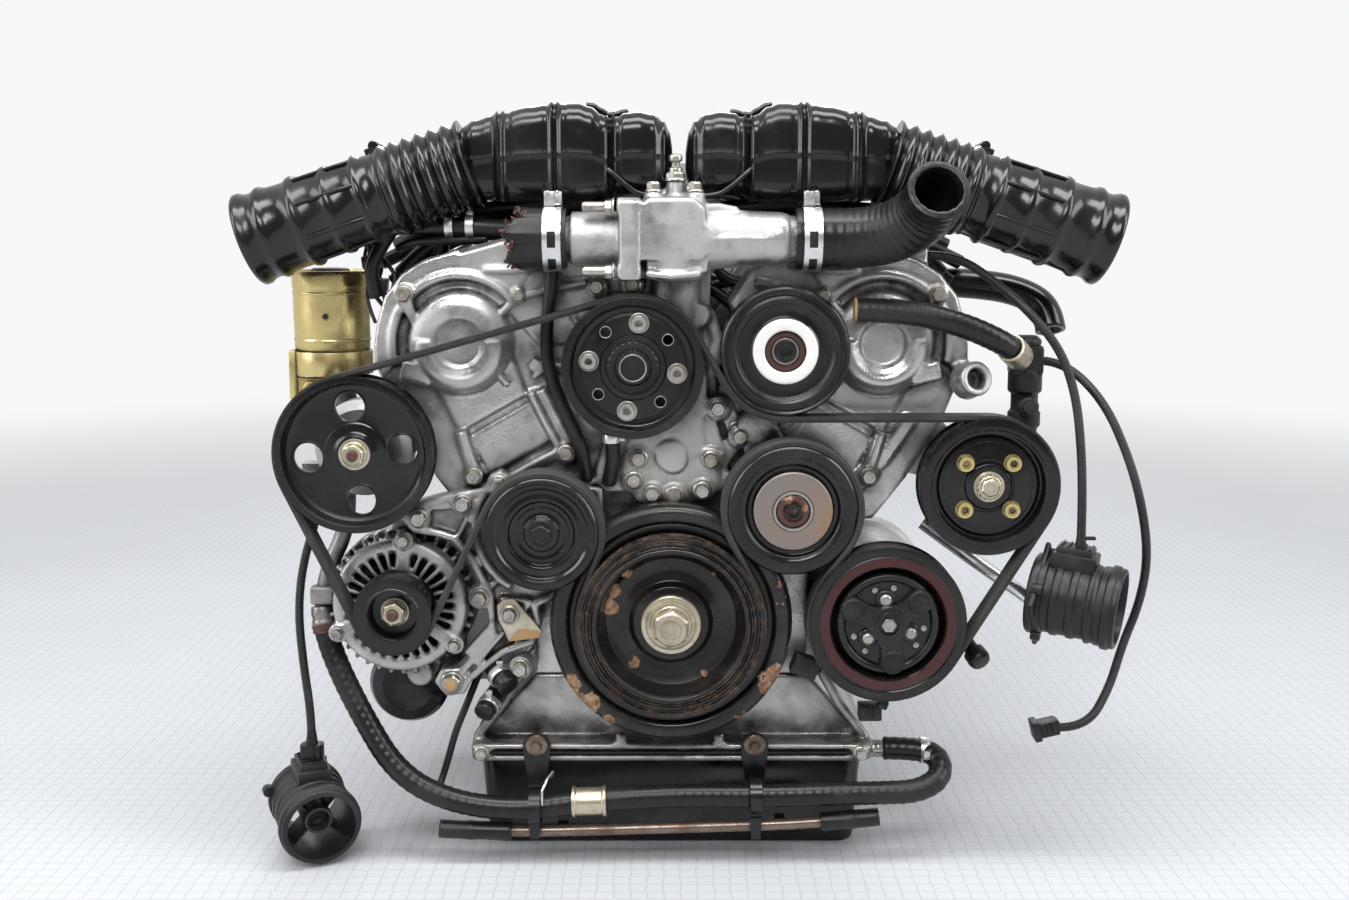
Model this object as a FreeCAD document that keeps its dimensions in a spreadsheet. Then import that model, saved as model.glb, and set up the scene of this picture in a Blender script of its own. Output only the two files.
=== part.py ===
import FreeCAD, Part
import math
import os
import Sketcher
from FreeCAD import Placement, Rotation, Vector

# V-twelve engine, sixty degrees between the banks, with its front accessories and belt drive.
# Millimetres. The origin is on the crank axis at the rear face of the drive plate.
# Y runs rearwards, X to the right of someone who faces the pulleys, and Z up.
SIZES = {
    # lengthwise planes, from the drive plate forwards
    "drive_plate_thick": 3,
    "block_rear": -16,
    "block_front": -606,
    "timing_front": -660,
    "front_cover_front": -642,
    "belt_plane": -690,
    # V block
    "bank_tilt": 30,
    "deck_height": 208,
    "bank_half_width": 72,
    "valley_half": 8,
    "crankcase_half": 122,
    "crankcase_floor": -60,
    "bell_radius": 180,
    "bell_bolt_wide": 320,
    "bell_bolt_high": 80,
    "case_wall": 6,
    "bell_flange": 20,
    "main_shaft_radius": 30,
    "shaft_clearance": 0.5,
    "mount_pad_wide": 100,
    "mount_pad_high": 70,
    "mount_pad_thick": 16,
    "mount_bolt_wide": 70,
    "mount_bolt_high": 44,
    "mount_hole": 5.5,
    # the left mount sits this far behind the middle of the crankcase, and the right one as far before it
    "mount_stagger": 12,
    "bore_spacing": 90,
    # heads and cam covers, measured along and across a bank
    "head_height": 92,
    "head_half_width": 85,
    "head_rear": -26,
    "cam_offset": 37,
    "cam_height": 296,
    "cam_cover_height": 50,
    "exhaust_port": 17,
    "exhaust_port_height": 42,
    "port_depth": 30,
    # timing covers
    "cover_outer": 112,
    "cover_inner": 66,
    "cover_shoulder": 97,
    "cover_foot": 127,
    "dome_radius": 48,
    "dome_depth": 12,
    "dome_lift": 5,
    "lip_radius": 36,
    "lip_tube": 5,
    # oil pans
    "rail_top": -118,
    "rail_floor": -132,
    "rail_half": 178,
    "rail_front": -665,
    "rail_step": 5,
    "sump_floor": -217,
    "sump_half": 172,
    "sump_front": -652,
    "sump_rear": -40,
    "sump_taper": 4,
    # belt and pulley rims
    "rim_width": 28,
    "belt_thick": 3.2,
    "belt_width": 22,
    "belt_gap": 0.3,
    "rib_pitch": 3.56,
    "rib_count": 6,
    "rib_depth": 3,
    "rim_lip": 1.5,
    "bearing_radius": 8,
    "bearing_gap": 0.4,
    "seat_gap": 0.4,
    # pulley places and radii
    "crank_pulley_radius": 80,
    "damper_radius": 104.5,
    "damper_front": -673,
    "damper_rear": -648,
    "damper_rubber_inner": 84,
    "damper_rubber_outer": 88,
    "nose_radius": 20,
    "fan_x": -31.6,
    "fan_z": 220.8,
    "fan_radius": 59.5,
    "steering_x": -266,
    "steering_z": 147.6,
    "steering_radius": 66.5,
    "alternator_x": -237,
    "alternator_z": 9.7,
    "alternator_radius": 33.7,
    "hydraulic_x": 267.4,
    "hydraulic_z": 120.5,
    "hydraulic_radius": 58.2,
    "compressor_x": 184.9,
    "compressor_z": 2.3,
    "compressor_radius": 67,
    "cap_circle": 33,
    "cap_radius": 10,
    "cap_turn": 37,
    "upper_idler_x": 95,
    "upper_idler_z": 234.5,
    "upper_idler_radius": 54,
    "left_idler_x": -109.5,
    "left_idler_z": 79.5,
    "left_idler_radius": 48.5,
    "tensioner_x": 102.9,
    "tensioner_z": 100,
    "tensioner_radius": 55,
    # crank ends
    "flange_radius": 45,
    "plate_radius": 150,
    "ring_gear_inner": 140,
    "ring_gear_thick": 10,
    "ring_teeth": 120,
    "tooth_height": 4,
    "converter_circle": 115,
    "converter_hole": 5.5,
    "converter_count": 6,
    # coolant outlet and hoses
    "outlet_z": 327,
    "outlet_y": -689,
    "outlet_left": -42,
    "outlet_right": 28,
    "outlet_top": 360,
    "housing_top": 300,
    "hose_outer": 25,
    "hose_bore": 19,
    "pipe_wall": 2.5,
    # air intake
    "intake_x": 7,
    "box_inner": 6,
    "box_outer": 188,
    "box_front": -668,
    "box_rear": -500,
    "duct_y": -645,
    "duct_z": 388,
    "duct_slope": 18.6,
    "duct_length": 196,
    "duct_radius": 33,
    "duct_wall": 3,
    "plenum_radius": 40,
    "plenum_x": 62,
    "plenum_z": 392,
    "plenum_rear": -70,
    "throttle_radius": 30,
    "throttle_outer": 36,
    "throttle_length": 76,
    "throttle_gap": 0.4,
    "runner_radius": 15,
    # accessories
    "alternator_body": 58,
    "alternator_front": -668,
    "alternator_rear": -560,
    "pump_front": -666,
    "pump_rear": -598,
    "reservoir_radius": 34,
    "reservoir_x": -306,
    "reservoir_y": -585,
    "reservoir_top": 298,
    "compressor_body": 57,
    "compressor_front": -664,
    "compressor_rear": -490,
    "filter_radius": 38,
    "filter_x": -250,
    "filter_z": -95,
    # small round stock
    "conduit_radius": 4,
    "cooler_hose_radius": 10.5,
    "cooler_pipe_radius": 5,
    "bolt_radius": 6,
    "bolt_flange": 8.5,
    "bolt_head": 7,
    "bolt_collar": 2,
}

doc = FreeCAD.newDocument("v_twelve_engine")
sheet = doc.addObject("Spreadsheet::Sheet", "Sizes")
for row, (name, value) in enumerate(SIZES.items(), start=1):
    sheet.set("A%d" % row, name)
    sheet.set("B%d" % row, str(value))
    sheet.setAlias("B%d" % row, name)
doc.recompute()


class Size(float):
    """A number that remembers the sheet formula that gives it."""

    def __new__(cls, value, text=None):
        self = float.__new__(cls, value)
        self.text = text or repr(float(value))
        return self

    def joined(self, other, sign, value, swap=False):
        words = [self.text, other.text if isinstance(other, Size) else repr(float(other))]
        if swap:
            words.reverse()
        return Size(value, "(%s %s %s)" % (words[0], sign, words[1]))

    def __add__(self, other):
        return self.joined(other, "+", float(self) + float(other))

    def __radd__(self, other):
        return self.joined(other, "+", float(self) + float(other), swap=True)

    def __sub__(self, other):
        return self.joined(other, "-", float(self) - float(other))

    def __rsub__(self, other):
        return self.joined(other, "-", float(other) - float(self), swap=True)

    def __mul__(self, other):
        return self.joined(other, "*", float(self) * float(other))

    def __rmul__(self, other):
        return self.joined(other, "*", float(self) * float(other), swap=True)

    def __truediv__(self, other):
        return self.joined(other, "/", float(self) / float(other))

    def __neg__(self):
        return Size(-float(self), "(-%s)" % self.text)


class Sizes:
    """The sheet's values, by alias."""


S = Sizes()
for name in SIZES:
    setattr(S, name, Size(float(sheet.get(name)), "Sizes." + name))

REAR = Vector(0, 1, 0)
FRONT = Vector(0, -1, 0)
UP = Vector(0, 0, 1)
RIGHT = Vector(1, 0, 0)
SIDES = {"left": -1, "right": 1}
SIN = math.sin(math.radians(S.bank_tilt))
COS = math.cos(math.radians(S.bank_tilt))
nodes = []


def node(label, piece):
    piece.Label = label
    nodes.append(piece)
    return piece


def fit(piece, prop, value):
    setattr(piece, prop, float(value))
    if isinstance(value, Size):
        piece.setExpression(prop, value.text)


def place(piece, at, rotation=Rotation()):
    piece.Placement = Placement(Vector(*[float(value) for value in at]), rotation)
    for letter, value in zip("xyz", at):
        if isinstance(value, Size):
            piece.setExpression("Placement.Base." + letter, value.text)
    return piece


def bank(across, along, side=1):
    """X and Z of a point measured across a bank (outwards) and along it (from the crank axis)."""
    return side * (along * SIN + across * COS), along * COS - across * SIN


def bank_turn(side):
    return Rotation(REAR, side * float(S.bank_tilt))


def cylinder(name, radius, length, at, along=REAR):
    piece = doc.addObject("Part::Cylinder", name)
    fit(piece, "Radius", radius)
    fit(piece, "Height", length)
    return place(piece, at, Rotation(UP, along))


def cone(name, radius_a, radius_b, length, at, along=REAR):
    piece = doc.addObject("Part::Cone", name)
    fit(piece, "Radius1", radius_a)
    fit(piece, "Radius2", radius_b)
    fit(piece, "Height", length)
    return place(piece, at, Rotation(UP, along))


def torus(name, ring, tube, at, along=REAR):
    piece = doc.addObject("Part::Torus", name)
    fit(piece, "Radius1", ring)
    fit(piece, "Radius2", tube)
    return place(piece, at, Rotation(UP, along))


def box(name, low, high):
    """A box between two corners."""
    piece = doc.addObject("Part::Box", name)
    for prop, start, end in zip(("Length", "Width", "Height"), low, high):
        fit(piece, prop, end - start)
    return place(piece, low)


def hexagon(name, radius, length, at, along=FRONT):
    piece = doc.addObject("Part::Prism", name)
    piece.Polygon = 6
    fit(piece, "Circumradius", radius)
    fit(piece, "Height", length)
    return place(piece, at, Rotation(UP, along))


def fuse(name, *pieces):
    joined = doc.addObject("Part::MultiFuse", name)
    joined.Shapes = list(pieces)
    joined.Refine = True
    return joined


def cut(name, base, *tools):
    piece = doc.addObject("Part::Cut", name)
    piece.Base = base
    piece.Tool = tools[0] if len(tools) == 1 else fuse(name + "_tools", *tools)
    piece.Refine = True
    return piece


def common(name, base, tool):
    piece = doc.addObject("Part::Common", name)
    piece.Base = base
    piece.Tool = tool
    return piece


def group(name, pieces):
    compound = doc.addObject("Part::Compound", name)
    compound.Links = list(pieces)
    return compound


def solid(name, shape):
    piece = doc.addObject("Part::Feature", name)
    piece.Shape = shape
    return piece


def body(name, at, rotation=Rotation()):
    return place(doc.addObject("PartDesign::Body", name), at, rotation)


def origin_item(part, role):
    return next(item for item in part.Origin.OriginFeatures if item.Role == role)


def sketch(part, role, name):
    drawing = part.newObject("Sketcher::SketchObject", name)
    drawing.AttachmentSupport = [(origin_item(part, role), "")]
    drawing.MapMode = "FlatFace"
    return drawing


def drive(drawing, kind, spot, value):
    """One driven distance of a point from the sketch's origin."""
    index = drawing.addConstraint(Sketcher.Constraint(kind, spot[0], spot[1], float(value)))
    if isinstance(value, Size):
        drawing.setExpression("Constraints[%d]" % index, value.text)


def polygon(part, role, name, points):
    """A closed outline of straight lines whose corners are all driven."""
    drawing = sketch(part, role, name)
    count = len(points)
    for index, (across, up) in enumerate(points):
        after = points[(index + 1) % count]
        drawing.addGeometry(Part.LineSegment(Vector(across, up, 0), Vector(after[0], after[1], 0)))
    for index in range(count):
        drawing.addConstraint(Sketcher.Constraint("Coincident", index, 2, (index + 1) % count, 1))
    for index, (across, up) in enumerate(points):
        drive(drawing, "DistanceX", (index, 1), across)
        drive(drawing, "DistanceY", (index, 1), up)
    return drawing


def prism(name, outline, front, rear, rotation=Rotation()):
    """An outline in X and Z, padded forwards from its rear plane to its front plane."""
    part = body(name, (0, rear, 0), rotation)
    pad = part.newObject("PartDesign::Pad", name + "_pad")
    pad.Profile = polygon(part, "XZ_Plane", name + "_outline", outline)
    fit(pad, "Length", rear - front)
    part.Tip = pad
    return part


def revolved(name, outline, at, rotation=Rotation()):
    """An outline of radius and Y, turned about the Y axis."""
    part = body(name, at, rotation)
    profile = polygon(part, "XY_Plane", name + "_profile", outline)
    turn = part.newObject("PartDesign::Revolution", name + "_turn")
    turn.Profile = profile
    turn.ReferenceAxis = (profile, ["V_Axis"])
    turn.Angle = 360
    part.Tip = turn
    return part


def ring_of_holes(part, circle, radius, count, turned=0.0):
    """Round holes through a turned part, spaced evenly about its axis."""
    name = part.Name + "_holes_%d" % len(part.Group)
    drawing = sketch(part, "XZ_Plane", name + "_sketch")
    across = circle * math.cos(math.radians(turned))
    up = circle * math.sin(math.radians(turned))
    drawing.addGeometry(Part.Circle(Vector(across, up, 0), Vector(0, 0, 1), float(radius)))
    drive(drawing, "DistanceX", (0, 3), across)
    drive(drawing, "DistanceY", (0, 3), up)
    index = drawing.addConstraint(Sketcher.Constraint("Radius", 0, float(radius)))
    if isinstance(radius, Size):
        drawing.setExpression("Constraints[%d]" % index, radius.text)
    pocket = part.newObject("PartDesign::Pocket", name)
    pocket.Profile = drawing
    pocket.Type = "ThroughAll"
    pocket.Midplane = True
    pattern = part.newObject("PartDesign::PolarPattern", name + "_pattern")
    pattern.Originals = [pocket]
    pattern.Axis = (origin_item(part, "Y_Axis"), [""])
    pattern.Angle = 360
    pattern.Occurrences = int(count)
    part.Tip = pattern
    return part


def rounded(part, radius, direction=REAR, keep=lambda edge: True):
    """Round the straight edges of a part that run in one direction of its own frame."""
    doc.recompute()
    feature = part.Tip
    turn = part.Placement.Rotation
    names = []
    for index, edge in enumerate(feature.Shape.Edges, start=1):
        if len(edge.Vertexes) != 2 or not isinstance(edge.Curve, (Part.Line, Part.LineSegment)):
            continue
        run = edge.Vertexes[1].Point - edge.Vertexes[0].Point
        if run.cross(direction).Length < 1e-6 * run.Length and keep(edge):
            names.append("Edge%d" % index)
    fillet = part.newObject("PartDesign::Fillet", part.Name + "_round")
    fillet.Base = (feature, names)
    fit(fillet, "Radius", radius)
    part.Tip = fillet
    return part


def arc_route(points, share=0.45):
    """A wire of straight runs joined by tangent arcs, each as large as its two runs allow."""
    spots = [Vector(*[float(value) for value in point]) for point in points]
    edges = []
    start = spots[0]
    tightest = None
    for before, corner, after in zip(spots, spots[1:], spots[2:]):
        come = (corner - before).normalize()
        leave = (after - corner).normalize()
        turn = come.getAngle(leave)
        trim = share * min((corner - before).Length, (after - corner).Length)
        first = corner - come * trim
        last = corner + leave * trim
        radius = trim / math.tan(turn / 2)
        tightest = radius if tightest is None else min(tightest, radius)
        middle = corner + (leave - come).normalize() * (radius / math.cos(turn / 2) - radius)
        edges.append(Part.LineSegment(start, first).toShape())
        edges.append(Part.Arc(first, middle, last).toShape())
        start = last
    edges.append(Part.LineSegment(start, spots[-1]).toShape())
    return Part.Wire(edges), tightest


def tube(points, radius, bore=0.0):
    """A round tube or rod along a route of straight runs and tangent arcs."""
    route, tightest = arc_route(points)
    start = route.Edges[0].valueAt(route.Edges[0].FirstParameter)
    along = route.Edges[0].tangentAt(route.Edges[0].FirstParameter)

    def swept(size):
        ring = Part.Wire([Part.Circle(start, along, float(size)).toShape()])
        return route.makePipeShell([ring], True, False)

    shape = swept(radius)
    if bore:
        shape = shape.cut(swept(bore))
    expected = math.pi * (float(radius) ** 2 - float(bore) ** 2) * route.Length
    print("tube: length %.0f, tightest radius %.0f, volume ratio %.3f"
          % (route.Length, tightest or 0, shape.Volume / expected))
    return shape


# Pulleys and belt: each rim is centred on the belt plane

def rib_outline(outer):
    """Front flange, V grooves and rear flange of a ribbed rim, as radius and Y."""
    half = S.rim_width / 2
    peak = outer - S.rim_lip
    wall = S.belt_width / 2 + S.bearing_gap
    grooves = [(outer, -half), (outer, -wall), (peak, -wall)]
    for index in range(int(S.rib_count)):
        start = S.rib_pitch * (index - S.rib_count / 2)
        grooves.append((peak, start))
        grooves.append((peak - S.rib_depth, start + S.rib_pitch / 2))
    grooves.append((peak, S.rib_pitch * S.rib_count / 2))
    grooves.append((peak, wall))
    grooves.append((outer, wall))
    grooves.append((outer, half))
    return grooves


class Wheel:
    """One pulley of the belt drive: its centre, its radius and which face of the belt runs on it."""

    def __init__(self, name, ribbed=True):
        self.x = getattr(S, name + "_x") if name != "crank" else Size(0)
        self.z = getattr(S, name + "_z") if name != "crank" else Size(0)
        self.radius = getattr(S, name + "_radius") if name != "crank" else S.crank_pulley_radius
        self.ribbed = ribbed

    @property
    def at(self):
        return (self.x, S.belt_plane, self.z)

    @property
    def belt_radius(self):
        """Radius at the middle of the belt's thickness."""
        seat = self.radius - S.rim_lip if self.ribbed else self.radius
        return seat + S.belt_gap + S.belt_thick / 2


WHEELS = {
    "crank": Wheel("crank"),
    "left_idler": Wheel("left_idler", ribbed=False),
    "alternator": Wheel("alternator"),
    "steering": Wheel("steering"),
    "fan": Wheel("fan"),
    "upper_idler": Wheel("upper_idler", ribbed=False),
    "hydraulic": Wheel("hydraulic"),
    "compressor": Wheel("compressor"),
    "tensioner": Wheel("tensioner", ribbed=False),
}


def belt_runs():
    """Tangent points of the belt on each pair of neighbouring wheels, clockwise seen from the front."""
    wheels = list(WHEELS.values())
    runs = []
    for first, second in zip(wheels, wheels[1:] + wheels[:1]):
        start = Vector(first.x, 0, first.z)
        gap = Vector(second.x, 0, second.z) - start
        # a wheel inside the loop lies to the right of the belt's travel, one outside to its left
        near = first.belt_radius * (1 if first.ribbed else -1)
        far = second.belt_radius * (1 if second.ribbed else -1)
        heading = math.atan2(gap.z, gap.x)
        lean = math.asin((far - near) / gap.Length)
        travel = heading + lean
        left = Vector(-math.sin(travel), 0, math.cos(travel))
        runs.append((start + left * float(near), start + gap + left * float(far)))
    return runs


def belt_section(spot, outward):
    """The belt's cross-section at a point of its path: a flat back and V ribs on the inner face."""
    half = S.belt_width / 2
    back = S.belt_thick / 2
    tip = S.rib_depth - 2 * S.belt_gap
    rib = S.rib_pitch / 2 - S.belt_gap
    points = [(-half, back), (-half, -back)]
    for index in range(int(S.rib_count)):
        centre = S.rib_pitch * (index - S.rib_count / 2 + 0.5)
        points.append((centre - rib, -back))
        points.append((centre, -back - tip))
        points.append((centre + rib, -back))
    points.append((half, -back))
    points.append((half, back))
    corners = [spot + REAR * float(along + S.belt_plane) + outward * float(out) for along, out in points]
    return Part.Face(Part.makePolygon(corners + corners[:1]))


def make_belt():
    runs = belt_runs()
    wheels = list(WHEELS.values())
    pieces = []
    for index, (start, end) in enumerate(runs):
        travel = (end - start).normalize()
        outward = Vector(-travel.z, 0, travel.x)
        pieces.append(belt_section(start, outward).extrude(end - start))
        wheel = wheels[(index + 1) % len(wheels)]
        leave_start, leave_end = runs[(index + 1) % len(runs)]
        leaving = (leave_end - leave_start).normalize()
        turn = math.degrees(math.atan2(travel.z * leaving.x - travel.x * leaving.z,
                                       travel.x * leaving.x + travel.z * leaving.z))
        if wheel.ribbed and turn < 0:
            turn += 360
        if not wheel.ribbed and turn > 0:
            turn -= 360
        centre = Vector(wheel.x, 0, wheel.z)
        pieces.append(belt_section(end, outward).revolve(centre, REAR, turn))
    return node("drive_belt", solid("drive_belt", pieces[0].multiFuse(pieces[1:]).removeSplitter()))


def stepped_pulley(name, wheel, face_steps, shaft, shaft_end, inner, web):
    """A ribbed pulley closed at its axis: steps on the front face, rim, web and a shaft to the rear."""
    web_front, web_rear = web
    outline = [(0, face_steps[0][1])] + face_steps
    outline += [(inner, web_front), (inner, -S.rim_width / 2)]
    outline += rib_outline(wheel.radius)
    outline += [(inner, S.rim_width / 2), (inner, web_rear), (shaft, web_rear)]
    outline += [(shaft, shaft_end), (0, shaft_end)]
    return revolved(name, outline, wheel.at)


def make_crank_parts():
    """Crankshaft, damper, pulley, bolt and drive plate: everything that turns with the crank."""
    rear = S.block_rear + S.shaft_clearance
    nose_end = S.belt_plane - 3
    shaft = revolved("crankshaft", [
        (0, nose_end), (S.nose_radius, nose_end), (S.nose_radius, S.block_front - 4),
        (S.main_shaft_radius, S.block_front - 4), (S.main_shaft_radius, rear),
        (S.flange_radius, rear), (S.flange_radius, -S.drive_plate_thick), (0, -S.drive_plate_thick),
    ], (0, 0, 0))
    node("crankshaft", shaft)

    local = S.belt_plane
    seat = nose_end - local
    ring_front = S.damper_front - local
    ring_rear = S.damper_rear - local
    inner = S.damper_rubber_inner
    outline = [(S.nose_radius, seat), (32, seat), (36, seat + 6), (50, seat + 9), (56, seat + 6)]
    outline += [(62, -S.rim_width / 2 - 1), (70, -S.rim_width / 2 - 1), (72, -S.rim_width / 2)]
    outline += rib_outline(S.crank_pulley_radius)
    outline += [(inner, ring_front - 1), (inner, ring_rear - 1), (58, ring_rear - 1), (58, ring_rear - 10)]
    outline += [(34, ring_rear - 14), (34, ring_rear + 2), (S.nose_radius, ring_rear + 2)]
    node("crank_pulley", revolved("crank_pulley", outline, (0, local, 0)))
    outer = S.damper_rubber_outer
    node("damper_rubber", revolved("damper_rubber", [
        (inner, ring_front + 2), (outer, ring_front + 2), (outer, ring_rear - 2), (inner, ring_rear - 2),
    ], (0, local, 0)))
    edge = S.damper_radius
    node("damper_ring", revolved("damper_ring", [
        (outer, ring_front + 1), (outer + 2, ring_front), (edge - 2, ring_front), (edge, ring_front + 2),
        (edge, ring_rear - 2), (edge - 2, ring_rear), (outer, ring_rear),
    ], (0, local, 0)))
    washer = revolved("crank_bolt_washer", [
        (0, 0), (26, 0), (26, -3), (22, -5), (0, -5),
    ], (0, nose_end, 0))
    head = hexagon("crank_bolt_head", 15, 16, (0, nose_end - 5, 0))
    crown = cone("crank_bolt_crown", 12.5, 9, 5, (0, nose_end - 21, 0), FRONT)
    node("crank_bolt", fuse("crank_bolt", washer, head, crown))


def make_drive_plate():
    """Pressed plate with the starter's ring gear shrunk on, drilled for the converter."""
    teeth = int(S.ring_teeth)
    corners = []
    for index in range(teeth):
        for step, radius in ((0.0, S.plate_radius), (0.25, S.plate_radius),
                             (0.4, S.plate_radius + S.tooth_height), (0.6, S.plate_radius + S.tooth_height),
                             (0.75, S.plate_radius)):
            angle = 2 * math.pi * (index + step) / teeth
            corners.append(Vector(radius * math.cos(angle), 0, radius * math.sin(angle)))
        corners.pop(-5)
    ring = Part.Face(Part.makePolygon(corners + corners[:1])).extrude(FRONT * float(S.ring_gear_thick))
    hollow = Part.makeCylinder(float(S.ring_gear_inner), float(S.ring_gear_thick - S.drive_plate_thick),
                               FRONT * float(S.drive_plate_thick), FRONT)
    plate = ring.cut(hollow)
    holes = [(S.converter_circle, S.converter_hole, int(S.converter_count), 0.0),
             (78, 16, 6, 30.0), (32, 5, 8, 0.0), (0, 12, 1, 0.0)]
    cutters = []
    for circle, radius, count, turned in holes:
        for index in range(count):
            angle = math.radians(turned + 360 * index / count)
            spot = Vector(circle * math.cos(angle), 1, circle * math.sin(angle))
            cutters.append(Part.makeCylinder(float(radius), 6, spot, FRONT))
    node("drive_plate", solid("drive_plate", plate.cut(Part.makeCompound(cutters))))


def make_fan_pulley():
    web = (-2, 4)
    steps = [(10, -12), (10, -8), (14, -7), (27, -7), (28, -4), (28, -2)]
    pulley = stepped_pulley("fan_pulley", WHEELS["fan"], steps, 12, 62, 52, web)
    ring_of_holes(pulley, 37, 4.3, 4, 38.0)
    node("fan_pulley", pulley)


def make_steering_pulley():
    steps = [(6, -14), (10, -14), (10, -8), (16, -6), (18, -4)]
    pulley = stepped_pulley("steering_pulley", WHEELS["steering"], steps, 10, 62, 60, (-4, 2))
    ring_of_holes(pulley, 40, 12.7, 4, 5.0)
    node("steering_pulley", pulley)


def make_alternator_pulley():
    steps = [(6, -18), (11, -18), (11, -10), (14, -9), (20, -9)]
    pulley = stepped_pulley("alternator_pulley", WHEELS["alternator"], steps, 8, 70, 21, (-9, 12))
    node("alternator_pulley", pulley)


def make_hydraulic_pulley():
    steps = [(7, -17), (12, -17), (12, -10), (19, -9), (20, -6), (42, -6)]
    pulley = stepped_pulley("hydraulic_pulley", WHEELS["hydraulic"], steps, 10, 62, 47, (-8, 2))
    node("hydraulic_pulley", pulley)


def make_compressor_pulleys():
    """The belt-driven rotor on its bearing, and the clutch plate that it grips."""
    wheel = WHEELS["compressor"]
    front = -S.rim_width / 2
    nose = 20
    outline = [(nose, front + 8), (46, front + 8), (49, front + 2), (49, front)]
    outline += rib_outline(wheel.radius)
    outline += [(58, S.rim_width / 2), (58, 2), (30, 2), (30, 10), (nose, 10)]
    node("compressor_pulley", revolved("compressor_pulley", outline, wheel.at))
    face = front + 7.5
    plate = revolved("clutch_disc", [
        (0, face), (44, face), (44, face - 4), (16, face - 4), (16, face - 9), (11, face - 9),
        (11, face - 12), (0, face - 12),
    ], wheel.at)
    shaft = cylinder("clutch_shaft", 8, 60, (wheel.x, S.belt_plane + face, wheel.z))
    caps = []
    star = []
    for index in range(3):
        angle = math.radians(S.cap_turn + 120 * index)
        across = wheel.x + S.cap_circle * math.cos(angle)
        up = wheel.z + S.cap_circle * math.sin(angle)
        caps.append(cylinder("clutch_cap_%d" % index, S.cap_radius, 9, (across, S.belt_plane + face - 12, up)))
        for lean, reach in ((-60, 19), (-19, 43), (19, 43)):
            edge = angle + math.radians(lean)
            star.append((wheel.x + reach * math.cos(edge), wheel.z + reach * math.sin(edge)))
    arms = prism("clutch_arms", star, S.belt_plane + face - 8, S.belt_plane + face - 3)
    node("clutch_plate", fuse("clutch_plate", plate, shaft, arms, *caps))


def idler(name, key, steps):
    """A smooth pulley on its bearing: bore, face steps given as radius and Y, rim."""
    wheel = WHEELS[key]
    bore = S.bearing_radius + S.bearing_gap
    half = S.rim_width / 2 - 1
    outline = [(bore, steps[0][1])] + steps
    outline += [(wheel.radius - 2, -half), (wheel.radius, -half + 2), (wheel.radius, half - 2)]
    outline += [(wheel.radius - 2, half), (wheel.radius - 6, half), (wheel.radius - 8, 4), (24, 4), (22, 10)]
    outline += [(bore, 10)]
    node(name, revolved(name, outline, wheel.at))


def make_idlers():
    front = -S.rim_width / 2 + 1
    idler("upper_idler", "upper_idler", [
        (16, front + 4), (17, front), (27, front), (28, front + 3), (40, front + 3), (42, front)])
    idler("left_idler", "left_idler", [
        (15, front + 3), (16, front + 5), (28, front + 5), (30, front + 2), (40, front + 2), (42, front)])
    idler("tensioner_pulley", "tensioner", [
        (16, front + 3), (17, front + 1), (33, front + 1), (34, front + 6), (38, front + 6), (40, front)])


# Block, heads and covers

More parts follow.
